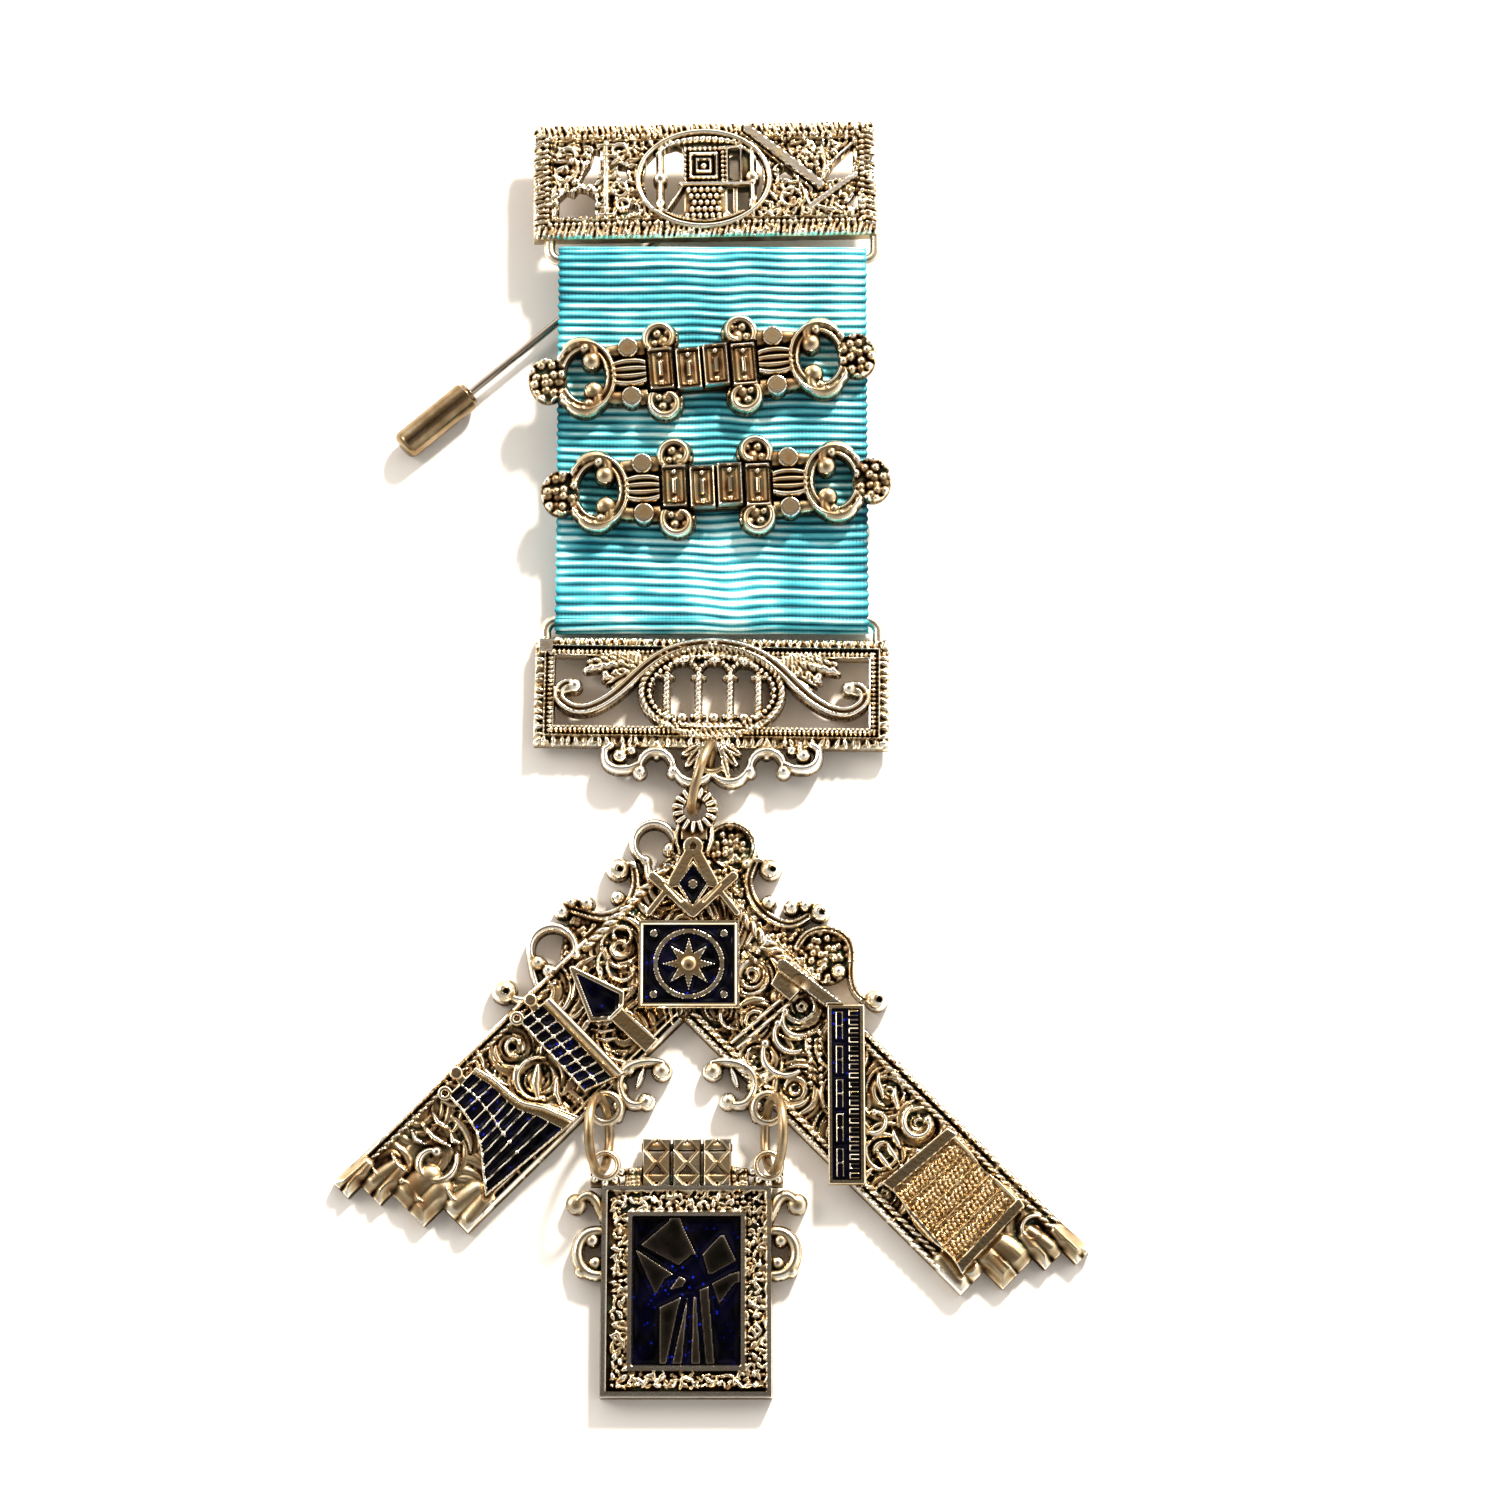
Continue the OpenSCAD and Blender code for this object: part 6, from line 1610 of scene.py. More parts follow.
OUTER_RAILS = [
    (1.4, [(-7.2, -2.4), *LEFT_SWEEP]),
    (1.4, [(7.6, -1.6), *RIGHT_SWEEP, (13.6, -8.7)]),
    (1.1, [(12.3, -12.4), (13.4, -10.6), (15.8, -10.0), (18.3, -11.0), (18.9, -13.2), (18.6, -15.5),
           (19.0, -17.6), (20.4, -18.9), (21.7, -18.6)]),
]
OUTER_STEMS = [
    (1.1, [(-20.0, -18.7), (-21.0, -18.6), (-22.2, -17.6)]),
    (1.0, [(-7.0, -2.6), (-8.0, -2.2), (-8.9, -2.9)]),
    (1.0, [(7.4, -1.9), (8.3, -1.9), (9.2, -2.9)]),
    (1.0, [(-19.2, -13.4), (-18.9, -15.2), (-18.4, -17.0)]),
    (1.2, [(-5.56, -2.0), (-5.3, -4.0)]),
]
OUTER_BALLS = [
    (-2.9, -0.5, 0.8), (-8.9, -2.9, 1.35), (-8.9, -6.4, 0.85), (-12.6, -7.1, 0.95), (-14.5, -7.0, 0.85),
    (-15.5, -8.1, 0.9), (-18.2, -14.3, 0.95), (-17.0, -15.2, 0.9), (-22.2, -17.6, 1.45), (9.2, -2.9, 1.25),
    (9.0, -7.0, 0.9), (11.7, -7.6, 0.95), (15.0, -8.1, 1.2), (13.3, -7.4, 0.85), (17.2, -15.3, 0.9),
    (21.7, -18.6, 1.3)
]


@dataclass
class Emblem:
    """Riveted emblem: a metal plate whose sunk pocket is filled with enamel a little below its rim."""

    name: str
    low: Point
    high: Point
    pitch: float = 0.1
    base: float = 2.25
    top: float = 3.45
    depth: float = 0.5
    below: float = 0.1

    def fields(self, r: Relief) -> tuple[Array, Array | None]:
        """Returns the distances outside the emblem's outline and its pocket; each emblem has its own."""
        raise NotImplementedError

    def detail(self, r: Relief) -> None:
        """Raises the emblem's own work above its plate; most have none."""

    def build(self) -> None:
        """Makes the metal and the enamel."""
        r = Relief(self.low, self.high, self.top, self.pitch)
        outline, pocket = self.fields(r)
        r.add(outline)
        r.shine[:] = 1.0
        if pocket is not None:
            r.face = self.top - self.depth * ramp(-pocket + 0.02, 0.14)
        self.detail(r)
        make_piece(self.name + "_metal", [laid(r.solid(self.base, 0.16), LAYOUT.head)], self.name, POLISHED)
        if pocket is None:
            return
        glass = Relief(self.low, self.high, self.top - self.below, self.pitch * 1.4)
        _, pocket = self.fields(glass)
        glass.add(pocket + 0.04)
        swell = 0.06 * np.sin(glass.x * 1.9 + 0.6 * glass.y) * np.sin(glass.y * 2.3 + 0.4)
        glass.face = glass.face - 0.1 * ramp(-pocket, 0.5) + swell * ramp(-pocket, 0.5)
        enamel = glass.solid(self.top - self.depth + 0.03, 0.05)
        make_piece(self.name + "_enamel_glass", [laid(enamel, LAYOUT.head)], self.name + "_enamel", ENAMEL)


class Compasses(Emblem):
    """Compasses over a small square, with enamel and a plain boss in the diamond between them."""

    w, h, drop = 10.4, 8.6, -0.5

    def diamond(self, inset: float) -> list[Point]:
        """Returns the diamond's corners, moved in by the inset."""
        w, h, y = self.w, self.h, self.drop
        return [(0, y - 0.2 * h - inset), (-0.2 * w + inset, y - 0.52 * h), (0, y - 0.88 * h + inset),
                (0.2 * w - inset, y - 0.52 * h)]

    def fields(self, r: Relief) -> tuple[Array, Array | None]:
        """Joins the legs, the square's arms and the head."""
        w, h, y = self.w, self.h, self.drop
        shape = copy.copy(r)
        shape.clear()
        for side in (-1, 1):
            shape.stroke([(0, y), (side * 0.22 * w, y - 0.5 * h)], 1.35, 0, tip=1.0, solid=True)
            shape.stroke([(side * 0.2 * w, y - 0.46 * h), (side * w / 2, y - h + 0.6)], 0.75, 0, tip=1.0,
                         solid=True)
            shape.stroke([(0, y - h + 0.6), (side * 0.46 * w, y - 0.42 * h)], 1.15, 0, tip=1.0, solid=True)
        shape.ball((0, y), 1.2, 0, True)
        shape.add(shape.polygon(self.diamond(0)))
        pocket = np.maximum(r.polygon(self.diamond(0.45)), -r.oval(0, y - 0.53 * h, 0.55, 0.55))
        return shape.out, pocket

    def detail(self, r: Relief) -> None:
        """Sinks the hinge's hole and the groove where the legs cross the square."""
        y = self.drop
        r.face -= 0.5 * ramp(0.42 - np.hypot(r.x, r.y - y), 0.12)
        for side in (-1, 1):
            part = r.near(np.array([(side * 1.5, y - 4.4), (side * 3.4, y - 6.2)]), 0.4)
            gap = np.abs(r.to_line(np.array([(side * 1.3, y - 6.6), (side * 3.2, y - 4.6)]), part)[0])
            r.face[part] -= 0.12 * ramp(0.2 - gap, 0.14)


class Badge(Emblem):
    """Square badge: an eight-pointed star in a ring, with a stud in each corner."""

    w, h, x, y, rim = 11.9, 10.5, -0.45, -14.65, 0.62

    def fields(self, r: Relief) -> tuple[Array, Array | None]:
        """Leaves the star, the ring, two bars and the studs standing in the pocket."""
        cx, h, w = self.x, self.h, self.w
        pocket = r.box(cx, self.y, w - 2 * self.rim, h - 2 * self.rim)
        angle = np.radians(np.arange(16) * 22.5 + 90)
        radius = np.where(np.arange(16) % 2 == 0, 0.3 * h, 0.13 * h)
        star = r.polygon(np.stack([cx + radius * np.cos(angle), self.y + radius * np.sin(angle)], 1))
        ring_gap = np.abs(np.hypot(r.x - cx, r.y - self.y) - 0.372 * h) - 0.028 * h
        keep = np.minimum(star, ring_gap)
        for sx in (-1, 1):
            for sy in (-1, 1):
                at = (cx + sx * (w / 2 - self.rim - 1.2), self.y + sy * (h / 2 - self.rim - 1.0))
                keep = np.minimum(keep, np.hypot(r.x - at[0], r.y - at[1]) - 0.45)
        return r.box(cx, self.y, w, h), np.maximum(pocket, -keep)

    def detail(self, r: Relief) -> None:
        """Grooves the rim's inner edge and domes the star's middle."""
        gap = np.abs(r.box(self.x, self.y, self.w - 0.8, self.h - 0.8))
        r.face -= 0.07 * ramp(0.12 - gap, 0.1)
        r.ball((self.x, self.y), 0.8, 0.22, level=self.top)


class Trowel(Emblem):
    """Trowel: a kite blade of enamel in a rim, and a slanting handle plate."""

    blade = [(-14.2, -15.2), (-8.3, -18.1), (-8.5, -21.0), (-11.8, -21.3)]

    def fields(self, r: Relief) -> tuple[Array, Array | None]:
        """Joins the blade and the handle."""
        blade = r.polygon(self.blade)
        handle = r.polygon([(-9.6, -21.3), (-8.2, -19.9), (-4.0, -23.6), (-5.4, -25.2)])
        return np.minimum(blade - 0.3, handle), blade + 0.28

    def detail(self, r: Relief) -> None:
        """Raises the bright ridge along the handle and a ferrule at its root."""
        r.stroke([(-8.0, -20.2), (-4.4, -23.5)], 0.35, 0.18, level=self.top)
        r.stroke([(-9.7, -21.2), (-8.2, -19.7)], 0.5, 0.15, level=self.top)


@dataclass
class Roof(Emblem):
    """Tiled roof: a round ridge bar, rows of enamel tiles between thin webs, and a curled tip."""

    ridge: tuple = ()
    eave: tuple = ()
    tiles: int = 9
    first: float = 0.27
    rows_end: float = 1.0
    web: float = 0.22

    def line(self, corners: tuple, count: int = 25) -> Array:
        """Returns points spread evenly by corner number along a line of corners."""
        u = np.linspace(0, len(corners) - 1, count)
        table = np.array(corners, float)
        k = np.arange(len(corners))
        return np.stack([np.interp(u, k, table[:, 0]), np.interp(u, k, table[:, 1])], 1)

    def level(self, v: float, end: float = 1.0) -> Array:
        """Returns the line at a share of the way from the ridge to the eave."""
        ridge, eave = self.line(self.ridge), self.line(self.eave)
        whole = ridge + (eave - ridge) * v
        return whole[: max(2, int(round(len(whole) * end)))]

    def webs(self) -> list[Array]:
        """Returns the lines between neighbouring tiles."""
        ridge, eave = self.line(self.ridge, self.tiles * 6 + 1), self.line(self.eave, self.tiles * 6 + 1)
        return [np.array([ridge[6 * k] + (eave[6 * k] - ridge[6 * k]) * (self.first - 0.1), eave[6 * k]])
                for k in range(1, self.tiles)]

    def ends(self) -> tuple[Array, Array, Array]:
        """Returns the tip ring's middle, the finial's middle and where its stem meets the roof."""
        ridge, eave = np.array(self.ridge[0], float), np.array(self.eave[0], float)
        away = ridge - eave
        away = away / np.hypot(*away)
        out = -np.array([-away[1], away[0]])
        finial, root = ridge + (eave - ridge) * 0.45 - 1.2 * out, ridge + (eave - ridge) * 0.5 + 0.3 * out
        return eave - 0.45 * out, finial, root

    def fields(self, r: Relief) -> tuple[Array, Array | None]:
        """Cuts the strip below the ridge bar by its webs and the gap between its rows."""
        strip = r.polygon(np.vstack([self.level(0), self.level(1)[::-1]]))
        field = r.polygon(np.vstack([self.level(self.first), self.level(0.99)[::-1]])) + self.web
        whole = np.s_[:, :]
        for line in self.webs():
            field = np.maximum(field, self.web / 2 - np.abs(r.to_line(line, whole)[0]))
        middle = self.level((self.first + 1) / 2, self.rows_end)
        field = np.maximum(field, 0.12 - np.abs(r.to_line(middle, whole)[0]))
        tip, finial, root = self.ends()
        outline = np.minimum(strip, np.abs(np.hypot(r.x - tip[0], r.y - tip[1]) - 0.6) - 0.25)
        outline = np.minimum(outline, np.hypot(r.x - finial[0], r.y - finial[1]) - 0.8)
        stem = np.abs(r.to_line(np.array([finial, root]), whole)[0]) - 0.55
        return np.minimum(outline, stem), field

    def detail(self, r: Relief) -> None:
        """Rounds the ridge bar and sets a bead where webs meet the rows and the eave."""
        width = float(np.hypot(*(np.array(self.eave[0]) - np.array(self.ridge[0])))) * self.first
        r.stroke(self.level(self.first * 0.42), width * 0.95, 0.5, tip=0.9, level=self.top - 0.1)
        middle = (self.first + 1) / 2
        for line in self.webs():
            span = line[1] - line[0]
            for share in ((middle - self.first + 0.1) / (1.1 - self.first), 0.985):
                r.ball(line[0] + span * share, 0.26, 0.22, level=self.top - 0.05)
        r.ball(self.ends()[1], 0.8, 0.2, flat=0.7, level=self.top)


class Gavel(Emblem):
    """Gavel: a bright round-edged handle with a block head beside it."""

    start, along = (10.6, -14.9), (0.792, -0.611)
    length = 8.6

    def fields(self, r: Relief) -> tuple[Array, Array | None]:
        """Joins the handle and the head."""
        a, d = np.array(self.start), np.array(self.along)
        side = np.array([-d[1], d[0]])
        handle = np.abs(r.to_line(np.array([a, a + d * self.length]), np.s_[:, :])[0]) - 0.8
        handle = np.maximum(handle, 0.05 - r.box(Gauge.cx, Gauge.cy, Gauge.w, Gauge.h))
        head = r.polygon([a + d * 0.2 - side * 2.6, a + d * 3.2 - side * 2.8, a + d * 3.4 - side * 0.6,
                          a - d * 0.2 - side * 0.4])
        return np.minimum(handle, head), None

    def detail(self, r: Relief) -> None:
        """Raises the handle above the head and rounds it."""
        a, d = np.array(self.start), np.array(self.along)
        r.stroke([a, a + d * self.length], 1.75, 0.42, FLAT, 1.0, level=self.top)
        r.face -= 0.35 * ramp(1.3 - np.hypot(r.x - (a + d * 1.2)[0] - 1.1, r.y - (a + d * 1.2)[1] + 1.5), 1.6)


class Gauge(Emblem):
    """Upright strip: a column of ladder lines and a column of small combs in enamel."""

    w, h, cx, cy, rim, steps = 4.3, 21.1, 18.0, -30.05, 0.5, 19

    def fields(self, r: Relief) -> tuple[Array, Array | None]:
        """Leaves thin fret lines standing in the pocket."""
        w, h = self.w - 2 * self.rim, self.h - 2 * self.rim
        keep = np.full(r.x.shape, 9.0)
        pitch = h / self.steps
        for k in range(self.steps):
            y = self.cy + (k - (self.steps - 1) / 2) * pitch
            keep = np.minimum(keep, r.box(self.cx + 0.27 * w, y + 0.26 * pitch, 0.34 * w, 0.17))
            keep = np.minimum(keep, r.box(self.cx + 0.27 * w, y - 0.26 * pitch, 0.34 * w, 0.17))
            keep = np.minimum(keep, r.box(self.cx + 0.12 * w, y, 0.17, 0.62 * pitch))
        blocks = 5
        for k in range(blocks):
            y = self.cy + (k - (blocks - 1) / 2) * h / blocks
            for x in (-0.34, -0.12):
                keep = np.minimum(keep, r.box(self.cx + x * w, y, 0.17, h / blocks * 0.8))
            keep = np.minimum(keep, r.box(self.cx - 0.23 * w, y, 0.22 * w, 0.18))
            keep = np.minimum(keep, r.box(self.cx - 0.23 * w, y + h / blocks * 0.4, 0.26 * w, 0.18))
        return r.box(self.cx, self.cy, self.w, self.h), np.maximum(r.box(self.cx, self.cy, w, h), -keep)


class Board(Emblem):
    """Scroll board: a sheet with wavy sides, a smooth bar at each end and columns of hatching."""

    corners = ((29.7, -34.0), (22.0, -40.4), (31.2, -51.0), (38.6, -43.2))

    def spot(self, along: float, across: float) -> Array:
        """Returns a point by its shares along the sheet from the upper bar and across it."""
        a, b, c, d = self.corners
        return mix(mix(a, d, along), mix(b, c, along), across)

    def fields(self, r: Relief) -> tuple[Array, Array | None]:
        """Waves the two long sides."""
        t = np.linspace(0, 1, 25)
        wave = 0.38 * np.sin(t * 3 * np.pi)[:, None] * np.array([0.7, 0.7])
        near = np.array([self.spot(s, 1) for s in t]) + wave
        far = np.array([self.spot(s, 0) for s in t]) + wave
        return r.polygon(np.vstack([near, far[::-1]])), None

    def detail(self, r: Relief) -> None:
        """Raises the bars, the lines between the columns and the hatching inside them."""
        level = self.top - 0.5
        r.face[:] = level
        r.shine[:] = 1.2
        r.pebbles(np.ones(r.x.shape), 0.5, 0.12, 57)
        columns = 5
        for k in range(columns):
            low, high = 0.12 + 0.76 * k / columns, 0.12 + 0.76 * (k + 1) / columns
            if k:
                r.stroke([self.spot(low, 0.06), self.spot(low, 0.94)], 0.24, 0.34, tip=1.0, level=level)
            for m in range(15):
                across = 0.09 + 0.82 * m / 14
                mark = [self.spot(low + 0.035, across - 0.012), self.spot(high - 0.035, across + 0.03)]
                r.stroke(mark, 0.44, 0.46, BEADS, 0.8, strand=0.55, level=level)
        for along, width in ((0.055, 1.7), (0.945, 1.4)):
            r.stroke([self.spot(along, 0.01), self.spot(along, 0.99)], width, 0.5, FLAT, 1.0, level=level)
        shares = np.linspace(0, 1, 17)
        r.stroke([self.spot(s, 0.975) for s in shares], 0.75, 0.5, FLAT, 1.0, level=level)
        r.stroke([self.spot(s, 0.02) for s in shares], 0.45, 0.4, tip=1.0, level=level)


UPPER_ROOF = dict(ridge=((-16.6, -18.6), (-7.8, -27.6)), eave=((-20.3, -21.5), (-12.6, -29.8)))
LOWER_ROOF = dict(
    ridge=((-25.2, -26.9), (-22.8, -28.3), (-21, -29.9), (-19.4, -30.9), (-16.7, -31.3), (-13.1, -32.7)),
    eave=((-28.5, -30.3), (-26.9, -31.9), (-25.2, -34.4), (-24.6, -36.4), (-24.3, -39.3), (-23.9, -42)),
    first=0.15, rows_end=0.7,
)


@dataclass
class Plaque:
    """Hanging plaque: a flat frame, a pebbled band, and a panel of polished facets in enamel."""

    w: float = 19.9
    h: float = 24.5
    top: float = 2.5
    frame: float = 0.85
    band: float = 2.1
    panel_z: float = 1.6
    facet_dark: float = 3.0
    crown_h: float = 5.6
    crown_dull: float = 1.6
    eye_r: float = 1.5

    @property
    def place(self) -> Place:
        """The plaque's middle, below the two side loops."""
        return LAYOUT.side_eyes.moved(0, -(LAYOUT.ring_chord + 2.2 + self.h / 2))

    def facets(self) -> list[tuple[Array, float, float, float]]:
        """Returns each facet's corners in millimetres, its height and its two small slopes."""
        w, h = self.panel_w, self.panel_h
        return [(np.array(corners) * (w, h), *rest) for corners, *rest in FACETS]

    @property
    def panel_w(self) -> float:
        """Width of the sunk panel."""
        return self.w - 4 * self.frame - 2 * self.band

    @property
    def panel_h(self) -> float:
        """Height of the sunk panel."""
        return self.h - 4 * self.frame - 2 * self.band

    def relief(self) -> Relief:
        """Draws the frames, the pebbled band, the sunk panel and the side scrolls."""
        a, b = self.w / 2, self.h / 2
        r = Relief((-a - 5, -b - 0.4), (a + 5, b + 0.8), self.top - 0.7, 0.125)
        plate = r.box(0, 0, self.w, self.h)
        r.add(plate)
        panel = r.box(0, 0, self.panel_w, self.panel_h)
        inner = r.box(0, 0, self.panel_w + 2 * self.frame, self.panel_h + 2 * self.frame)
        r.gravel(np.maximum(plate + self.frame, -inner) + 0.1, 0.6, 0.7, 71)
        r.plate(np.maximum(plate, -plate - self.frame), self.top, 0.12, 0.0)
        r.plate(np.maximum(inner, -panel), self.top, 0.12, 0.0)
        r.plate(panel, self.panel_z, 0.1, 0.0)
        stem = curve((a + 2.6, b - 1.8), (a + 1.4, b - 0.4), (a + 0.4, b - 1.6), (a - 0.3, b - 4))
        hoop = curve((a - 0.3, b - 5.4), (a + 3.7, b - 4.6), (a + 3.7, b - 11), (a - 0.3, b - 10.4), count=18)
        for _ in r.both():
            r.ball((a + 2.9, b - 2.2), 1.2, 0.75, True, level=1.5)
            r.stroke(stem, 1.35, 0.8, tip=0.8, solid=True, level=1.5)
            r.stroke(hoop, 1.45, 0.85, tip=0.85, solid=True, level=1.5)
            for x, y, radius in ((1.0, -6.4, 0.85), (2.2, -9.9, 0.8), (0.6, -9.0, 0.8)):
                r.ball((a + x, b + y), radius, 0.8, True, level=1.5)
        return r

    def figure(self) -> Relief:
        """Draws the facets that stand in the enamel, each a plane with its own slight slope."""
        r = Relief.about(self.panel_w / 2 + 0.3, self.panel_h / 2 + 0.3, self.top - 0.2, 0.14)
        for corners, lift, dx, dy in self.facets():
            gap = r.polygon(corners)
            middle = corners.mean(0)
            plane = self.top - 0.28 + lift + dx * (r.x - middle[0]) + dy * (r.y - middle[1])
            r.add(gap)
            r.face = np.where(gap < 2 * r.pitch, plane, r.face)
        r.shine -= self.facet_dark
        return r

    def enamel(self) -> Relief:
        """Draws the enamel that fills the panel between the facets."""
        r = Relief.about(self.panel_w / 2 + 0.3, self.panel_h / 2 + 0.3, 2.0, 0.14)
        gap = r.box(0, 0, self.panel_w - 0.06, self.panel_h - 0.06)
        for corners, *_ in self.facets():
            gap = np.maximum(gap, 0.03 - r.polygon(corners))
        r.add(gap)
        r.face += 0.05 * np.sin(r.x * 1.7) * np.sin(r.y * 1.3 + 0.5) - 0.06 * ramp(-gap, 0.6)
        return r

    def crown(self) -> Relief:
        """Draws the pierced fret between the eyes: three plates, each with two lozenges cut through."""
        cells, low = 3, self.h / 2 - 0.2
        w = LAYOUT.eye_spacing - 2 * self.eye_r - 5.4
        cell = w / cells
        r = Relief((-11.2, low - 0.2), (11.2, low + self.crown_h + 0.6), 1.9, 0.11)
        for k in range(cells):
            x, y = (k - 1) * cell, low + self.crown_h / 2
            plate = r.box(x, y, cell - 0.25, self.crown_h)
            r.add(plate)
            r.plate(plate, 2.3, 0.14, -0.3)
            for side in (-1, 1):
                lozenge = (np.abs(r.x - x) + np.abs(r.y - y - side * self.crown_h / 4) / 1.15 - 1) * 0.7
                r.plate(lozenge - 0.34, 2.05, 0.12, 0.0)
                r.cut(lozenge)
        r.add(r.box(0, low + 1.0, w, 0.9))
        r.add(r.box(0, low + self.crown_h - 1.0, w, 0.8))
        for side in (-1, 1):
            block = r.polygon(np.array([(w / 2 - 0.2, low), (w / 2 + 2.0, low), (w / 2 + 1.8, low + 2.1),
                                        (w / 2 - 0.2, low + 2.4)]) * (side, 1))
            r.add(block)
            r.pebbles(ramp(-block, 0.2), 0.75, 0.45, 83)
            x = side * LAYOUT.eye_spacing / 2
            r.add(r.box(x, low + 0.5, 3.4, 1.1))
            for k in range(5):
                angle = math.radians(200 + 35 * k)
                r.ball((x + 2.0 * math.cos(angle), low + 2.4 + 1.9 * math.sin(angle)), 0.5, 0.6, True)
        r.shine -= self.crown_dull
        return r

    def build(self) -> None:
        """Makes the plaque with its crown and eyes, the figure on its panel, and its enamel."""
        place = self.place
        solids = [laid(self.relief().solid(0.0, 0.14), place), laid(self.crown().solid(0.9, 0.2), place)]
        for side in (-1, 1):
            centre = (side * LAYOUT.eye_spacing / 2, self.h / 2 + 2.2, LAYOUT.eye_z)
            solids.append(laid(ring(centre, (0, 0, 1), (1, 0, 0), self.eye_r, 0.7, crest=0.7), place))
        make_piece("plaque_casting", solids, "plaque")
        figure = laid(self.figure().solid(self.panel_z - 0.1, 0.08), place)
        make_piece("plaque_figure_facets", [figure], "plaque", FACETED)
        glass = laid(self.enamel().solid(1.63, 0.05), place)
        make_piece("plaque_enamel_glass", [glass], "plaque_enamel", ENAMEL)


FACETS = [
    ([(-.426, .312), (-.162, .477), (-.157, .5), (-.064, .5), (-.029, .427), (.093, .243), (.049, .247),
      (-.074, .174)], 0.0, 0.02, -0.02),
    ([(.152, .247), (.319, .377), (.353, .377), (.466, .205), (.235, .113), (.206, .113)], 0.0, -0.02, 0.03),
    ([(-.48, .281), (-.127, .113), (-.206, .082), (-.289, -.025), (-.426, .189)], -0.05, 0.05, 0.05),
    ([(-.157, .005), (-.069, .097), (0, .074), (-.039, .028)], 0.0, 0.04, 0.0),
    ([(.24, .048), (.412, .113), (.5, .132), (.5, .059), (.451, .051), (.309, -.087)], 0.0, 0.0, 0.04),
    ([(-.25, -.113), (-.049, -.044), (-.078, -.117), (-.186, -.493), (-.25, -.493)], 0.0, -0.03, 0.0),
    ([(.015, -.033), (-.039, -.493), (-.127, -.493)], 0.0, -0.04, 0.01),
    ([(.069, -.033), (.093, -.048), (.132, -.493), (.049, -.493)], 0.0, 0.03, 0.0),
    ([(.123, .005), (.206, .028), (.265, -.493), (.186, -.493)], 0.0, -0.03, 0.01),
]


@dataclass
class JumpRing:
    """Wire ring that joins two eyes."""

    name: str
    start: tuple[float, float]
    end: tuple[float, float]
    lean: float
    outer: float = 9.6
    wire: float = 1.1

    def build(self) -> None:
        """Stands the ring on the line between the eyes, raised so that it passes through both."""
        p, q = np.array(self.start), np.array(self.end)
        mean = (self.outer - self.wire) / 2
        half = float(np.hypot(*(q - p))) / 2
        rise = math.sqrt(mean ** 2 - half ** 2)
        ahead = np.array([*((q - p) / (2 * half)), 0.0])
        side = np.array([ahead[1], -ahead[0], 0.0])
        lean = math.radians(self.lean)
        up = np.array([0, 0, 1.0]) * math.cos(lean) + side * math.sin(lean)
        centre = np.array([*((p + q) / 2), LAYOUT.eye_z]) + rise * up
        solid = ring(centre, np.cross(ahead, up), ahead, mean, self.wire, 20, 90, 0.5)
        make_piece(self.name + "_wire", [solid], self.name)


@dataclass
class BroochPin:
    """Stick pin with a flat eye on the rivet, and the barrel guard on its point."""

    d: float = 1.0
    length: float = 52.0
    z: float = 1.9
    turn: float = 221.2
    guard_d: float = 3.7
    guard_len: float = 10.8
    guard_at: float = 43.8

    @property
    def place(self) -> Place:
        """The pivot behind the top bar, with X along the pin."""
        x, y, _ = LAYOUT.pivot.origin
        return Place((x, y, self.z)).moved(0, 0, turn=self.turn)

    def build(self) -> None:
        """Makes the pin and its guard."""
        x = np.concatenate([np.linspace(1.2, self.length - 3, 20),
                            np.linspace(self.length - 2.8, self.length, 10)])
        taper = self.d / 2 * np.sqrt(np.clip((self.length - x) / 3, 0.02, 1))
        wire = tube(np.stack([x, 0 * x, 0 * x], 1), (0, 0, 1), taper, 16)
        eye = ring((0, 0, 0), (0, 0, 1), (1, 0, 0), 1.08, 0.8, 16, 48)
        eye.points[:, 2] *= 1.2
        make_piece("pin_wire", [laid(wire, self.place), laid(eye, self.place)], "brooch_pin", STEEL, "pin")
        make_piece("guard_barrel", [laid(self.guard(), self.place)], "pin_guard", GUARD_METAL, "guard")

    def guard(self) -> Solid:
        """Turns the barrel's profile: a bored mouth, a stepped collar, a straight wall and a domed end."""
        r, n = self.guard_d / 2, self.guard_len
        bore = self.d / 2 + 0.06
        arc = np.radians(np.linspace(0, 86, 8))
        dome = [(r - 0.9 + 0.9 * math.cos(a), n - 0.9 + 0.9 * math.sin(a)) for a in arc]
        profile = [(0.02, 8.4), (bore, 8.2), (bore, 0.05), (bore + 0.25, 0), (r - 0.5, 0), (r - 0.35, 0.1),
                   (r - 0.35, 0.42), (r - 0.15, 0.5), (r, 0.62), *dome, (0.05, n)]
        made = lathe(profile, 48, 0.62)
        turned = made.points[:, [2, 0, 1]]
        turned[:, 0] += self.guard_at
        return Solid(turned, made.quads, made.tris, made.crest)


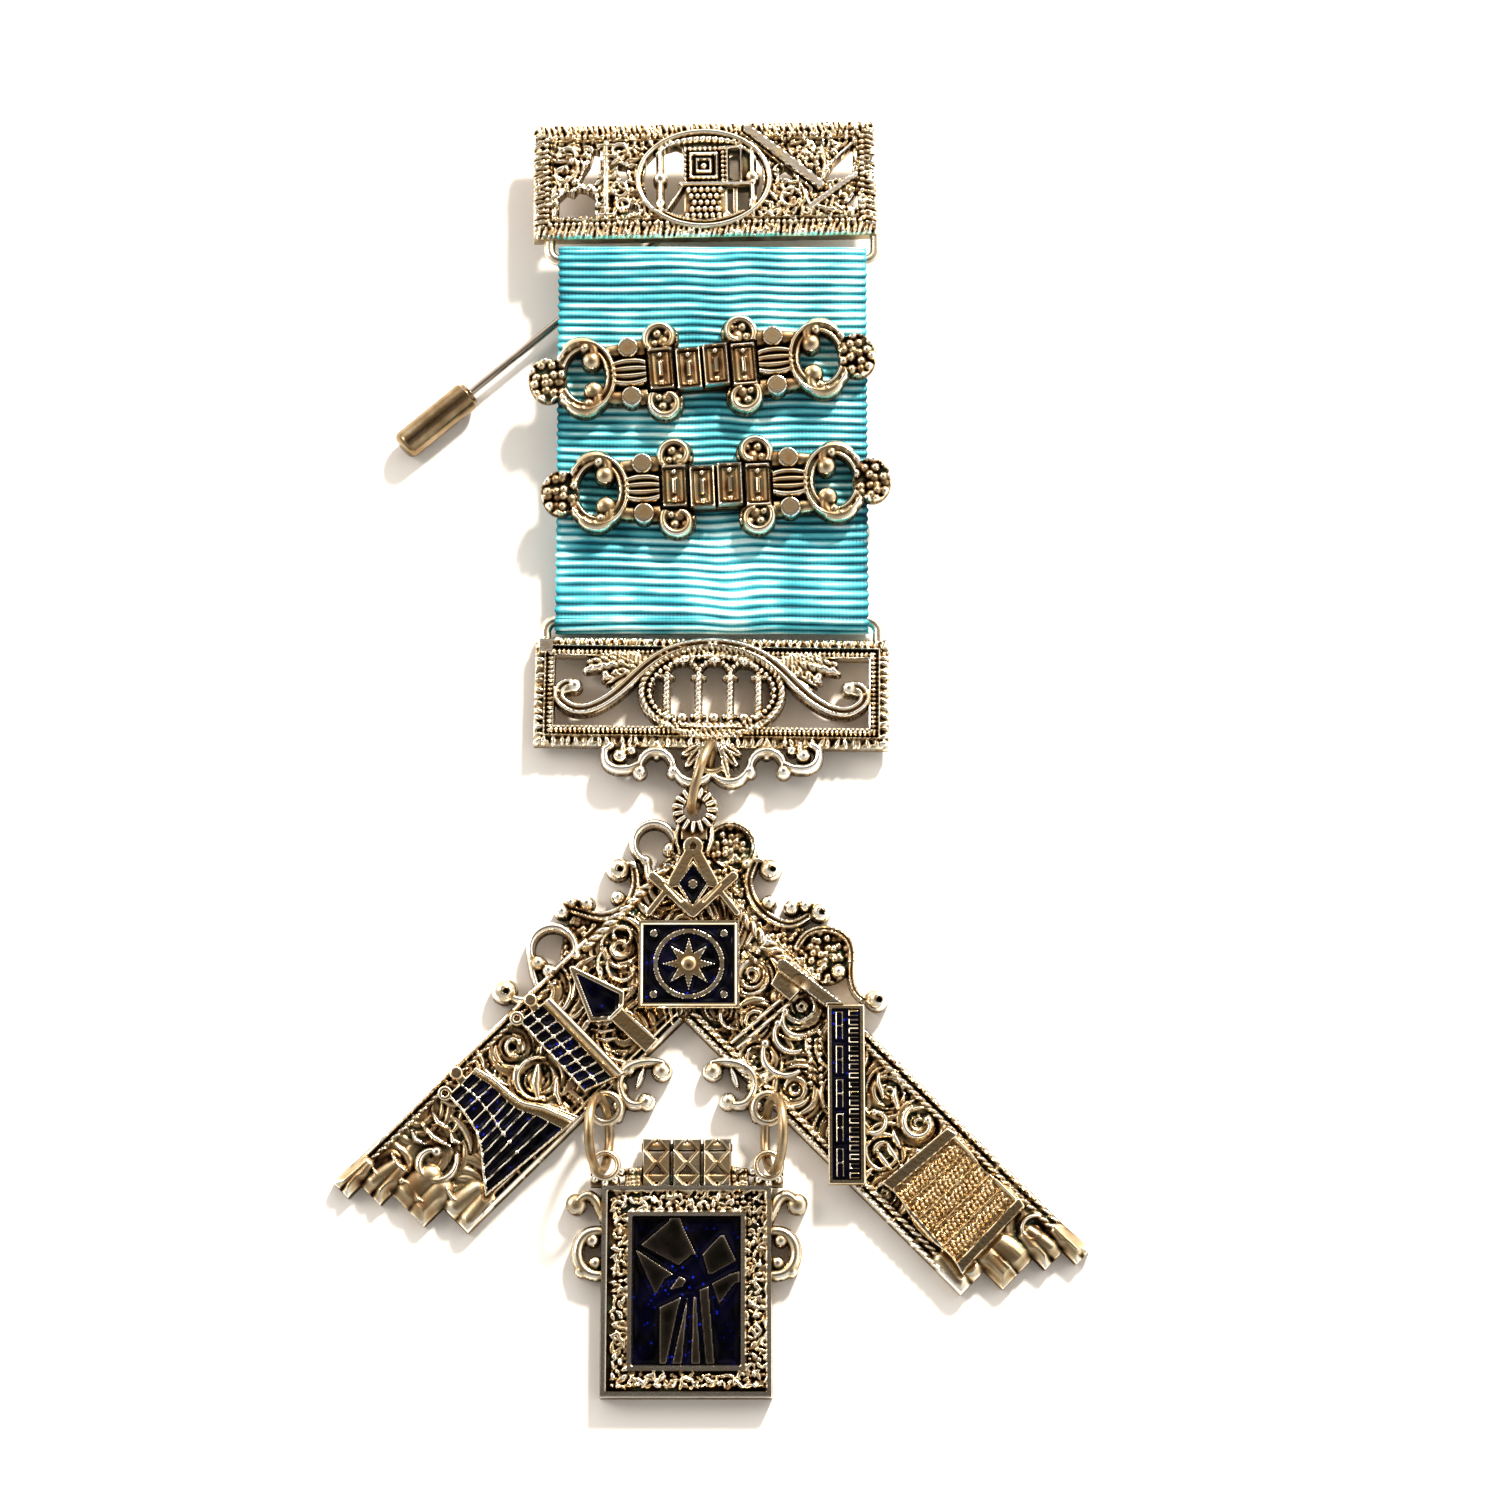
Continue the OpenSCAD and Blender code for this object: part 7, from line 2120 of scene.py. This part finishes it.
@dataclass
class Studio:
    """Pale floor, soft key light from the upper right, and a sky dark overhead and bright low down."""

    camera_at: tuple = (4.562, -105.568, 419.227)
    camera_tip: float = 14.0
    lens: float = 86.16
    key_from: tuple = (0.355, 0.737, 0.574)
    key_distance: float = 700.0

    def light(self, name: str, way: tuple, size: float, power: float, colour: str) -> None:
        """Adds one area light that looks at the jewel's middle."""
        lamp = bpy.data.lights.new(name, "AREA")
        lamp.size, lamp.energy, lamp.color = size * MM, power, linear(colour)[:3]
        holder = bpy.data.objects.new(name, lamp)
        way = np.array(way) / np.linalg.norm(way)
        holder.location = tuple(way * self.key_distance * MM)
        across = np.cross((0, 1, 0), way)
        across = across / np.linalg.norm(across)
        turned = Matrix(np.stack([across, np.cross(way, across), way], 1).tolist())
        holder.rotation_euler = turned.to_euler()
        bpy.context.scene.collection.objects.link(holder)

    def sky(self) -> None:
        """Sets the surroundings: a ramp on the height that a ray looks at, brighter towards the key light."""
        world = bpy.data.worlds.new("studio")
        world.use_nodes = True
        bpy.context.scene.world = world
        tree = world.node_tree
        way = add_node(tree, "TexCoord").outputs["Generated"]
        height = add_node(tree, "SeparateXYZ", {0: way}).outputs["Z"]
        tone = colour_ramp(tree, height, ((0.0, "#E8E2DA"), (0.35, "#FFFBF4"), (0.66, "#FFFDFA"),
                                          (0.86, "#948B82"), (0.96, "#8A8178"), (0.995, "#383430")))
        side = add_node(tree, "VectorMath", {0: way, 1: (0.43, 0.9, 0.0)}, operation="DOT_PRODUCT")
        near = add_node(tree, "MapRange", {"Value": side.outputs["Value"], "From Min": -0.75,
                                           "From Max": 0.6, "To Min": 0.55, "To Max": 1.5})
        shade = tree.nodes["Background"]
        tree.links.new(tone, shade.inputs["Color"])
        tree.links.new(near.outputs[0], shade.inputs["Strength"])

    def floor(self) -> None:
        """Lays a wide card under the jewel."""
        half = 1.5
        mesh = bpy.data.meshes.new("floor_card")
        corners = [(-half, -half, 0), (half, -half, 0), (half, half, 0), (-half, half, 0)]
        mesh.from_pydata(corners, [], [(0, 1, 2, 3)])
        mesh.materials.append(Paper().material())
        card = bpy.data.objects.new("floor_card", mesh)
        bpy.context.scene.collection.objects.link(card)

    def build(self) -> None:
        """Sets the camera, the lights, the surroundings and the floor."""
        scene = bpy.context.scene
        view = bpy.data.cameras.new("camera")
        view.lens, view.sensor_width, view.clip_start, view.clip_end = self.lens, 36.0, 0.01, 10.0
        holder = bpy.data.objects.new("camera", view)
        holder.location = tuple(np.array(self.camera_at) * MM)
        holder.rotation_euler = (math.radians(self.camera_tip), 0, 0)
        scene.collection.objects.link(holder)
        scene.camera = holder
        scene.view_settings.view_transform = "Standard"
        scene.view_settings.look = "Medium High Contrast"
        self.light("key", self.key_from, 80, 9.0, "#FFF4E4")
        self.light("fill", (-0.75, 0.25, 0.6), 260, 1.2, "#FFF2E4")
        self.sky()
        self.floor()


def main() -> None:
    """Builds the sub-assemblies in order."""
    logging.basicConfig(level=logging.INFO, format="%(message)s")
    Studio().build()
    TopBar().build()
    BottomBar().build()
    Ribbon().build()
    DateBar("date_bar_upper", 31.0, -1.2, 4.8, 101).build()
    DateBar("date_bar_lower", 16.1, 0.5, 2.5, 131).build()
    emblems = (Compasses("compasses", (-7, -10.5), (7, 1.5)), Badge("badge", (-7, -20.5), (6, -9)),
               Trowel("trowel", (-15.5, -26.5), (-3, -14)),
               Roof("roof_upper", (-23, -32.5), (-6.5, -17), **UPPER_ROOF),
               Roof("roof_lower", (-31, -43.5), (-12, -25.5), **LOWER_ROOF),
               Gavel("gavel", (8, -23), (19, -12)), Gauge("gauge", (15.5, -41), (20.5, -19), 0.08),
               Board("scroll_board", (21, -52.5), (39.8, -33), 0.11))
    Square(emblems).build()
    for emblem in emblems:
        emblem.build()
    Plaque().build()
    for side, name in ((-1, "left_jump_ring"), (1, "right_jump_ring")):
        x, y, _ = LAYOUT.side_eyes.moved(side * LAYOUT.eye_spacing / 2, 0).origin
        JumpRing(name, (x, y), (x, y - LAYOUT.ring_chord), -14 * side).build()
    x, y, _ = LAYOUT.middle.moved(0, -LAYOUT.bar_h / 2 - 1.2).origin
    turn = math.radians(17)
    end = (x - LAYOUT.ring_chord * math.sin(turn), y - LAYOUT.ring_chord * math.cos(turn))
    JumpRing("top_jump_ring", (x, y), end, 3).build()
    BroochPin().build()


if __name__ == "__main__":
    main()
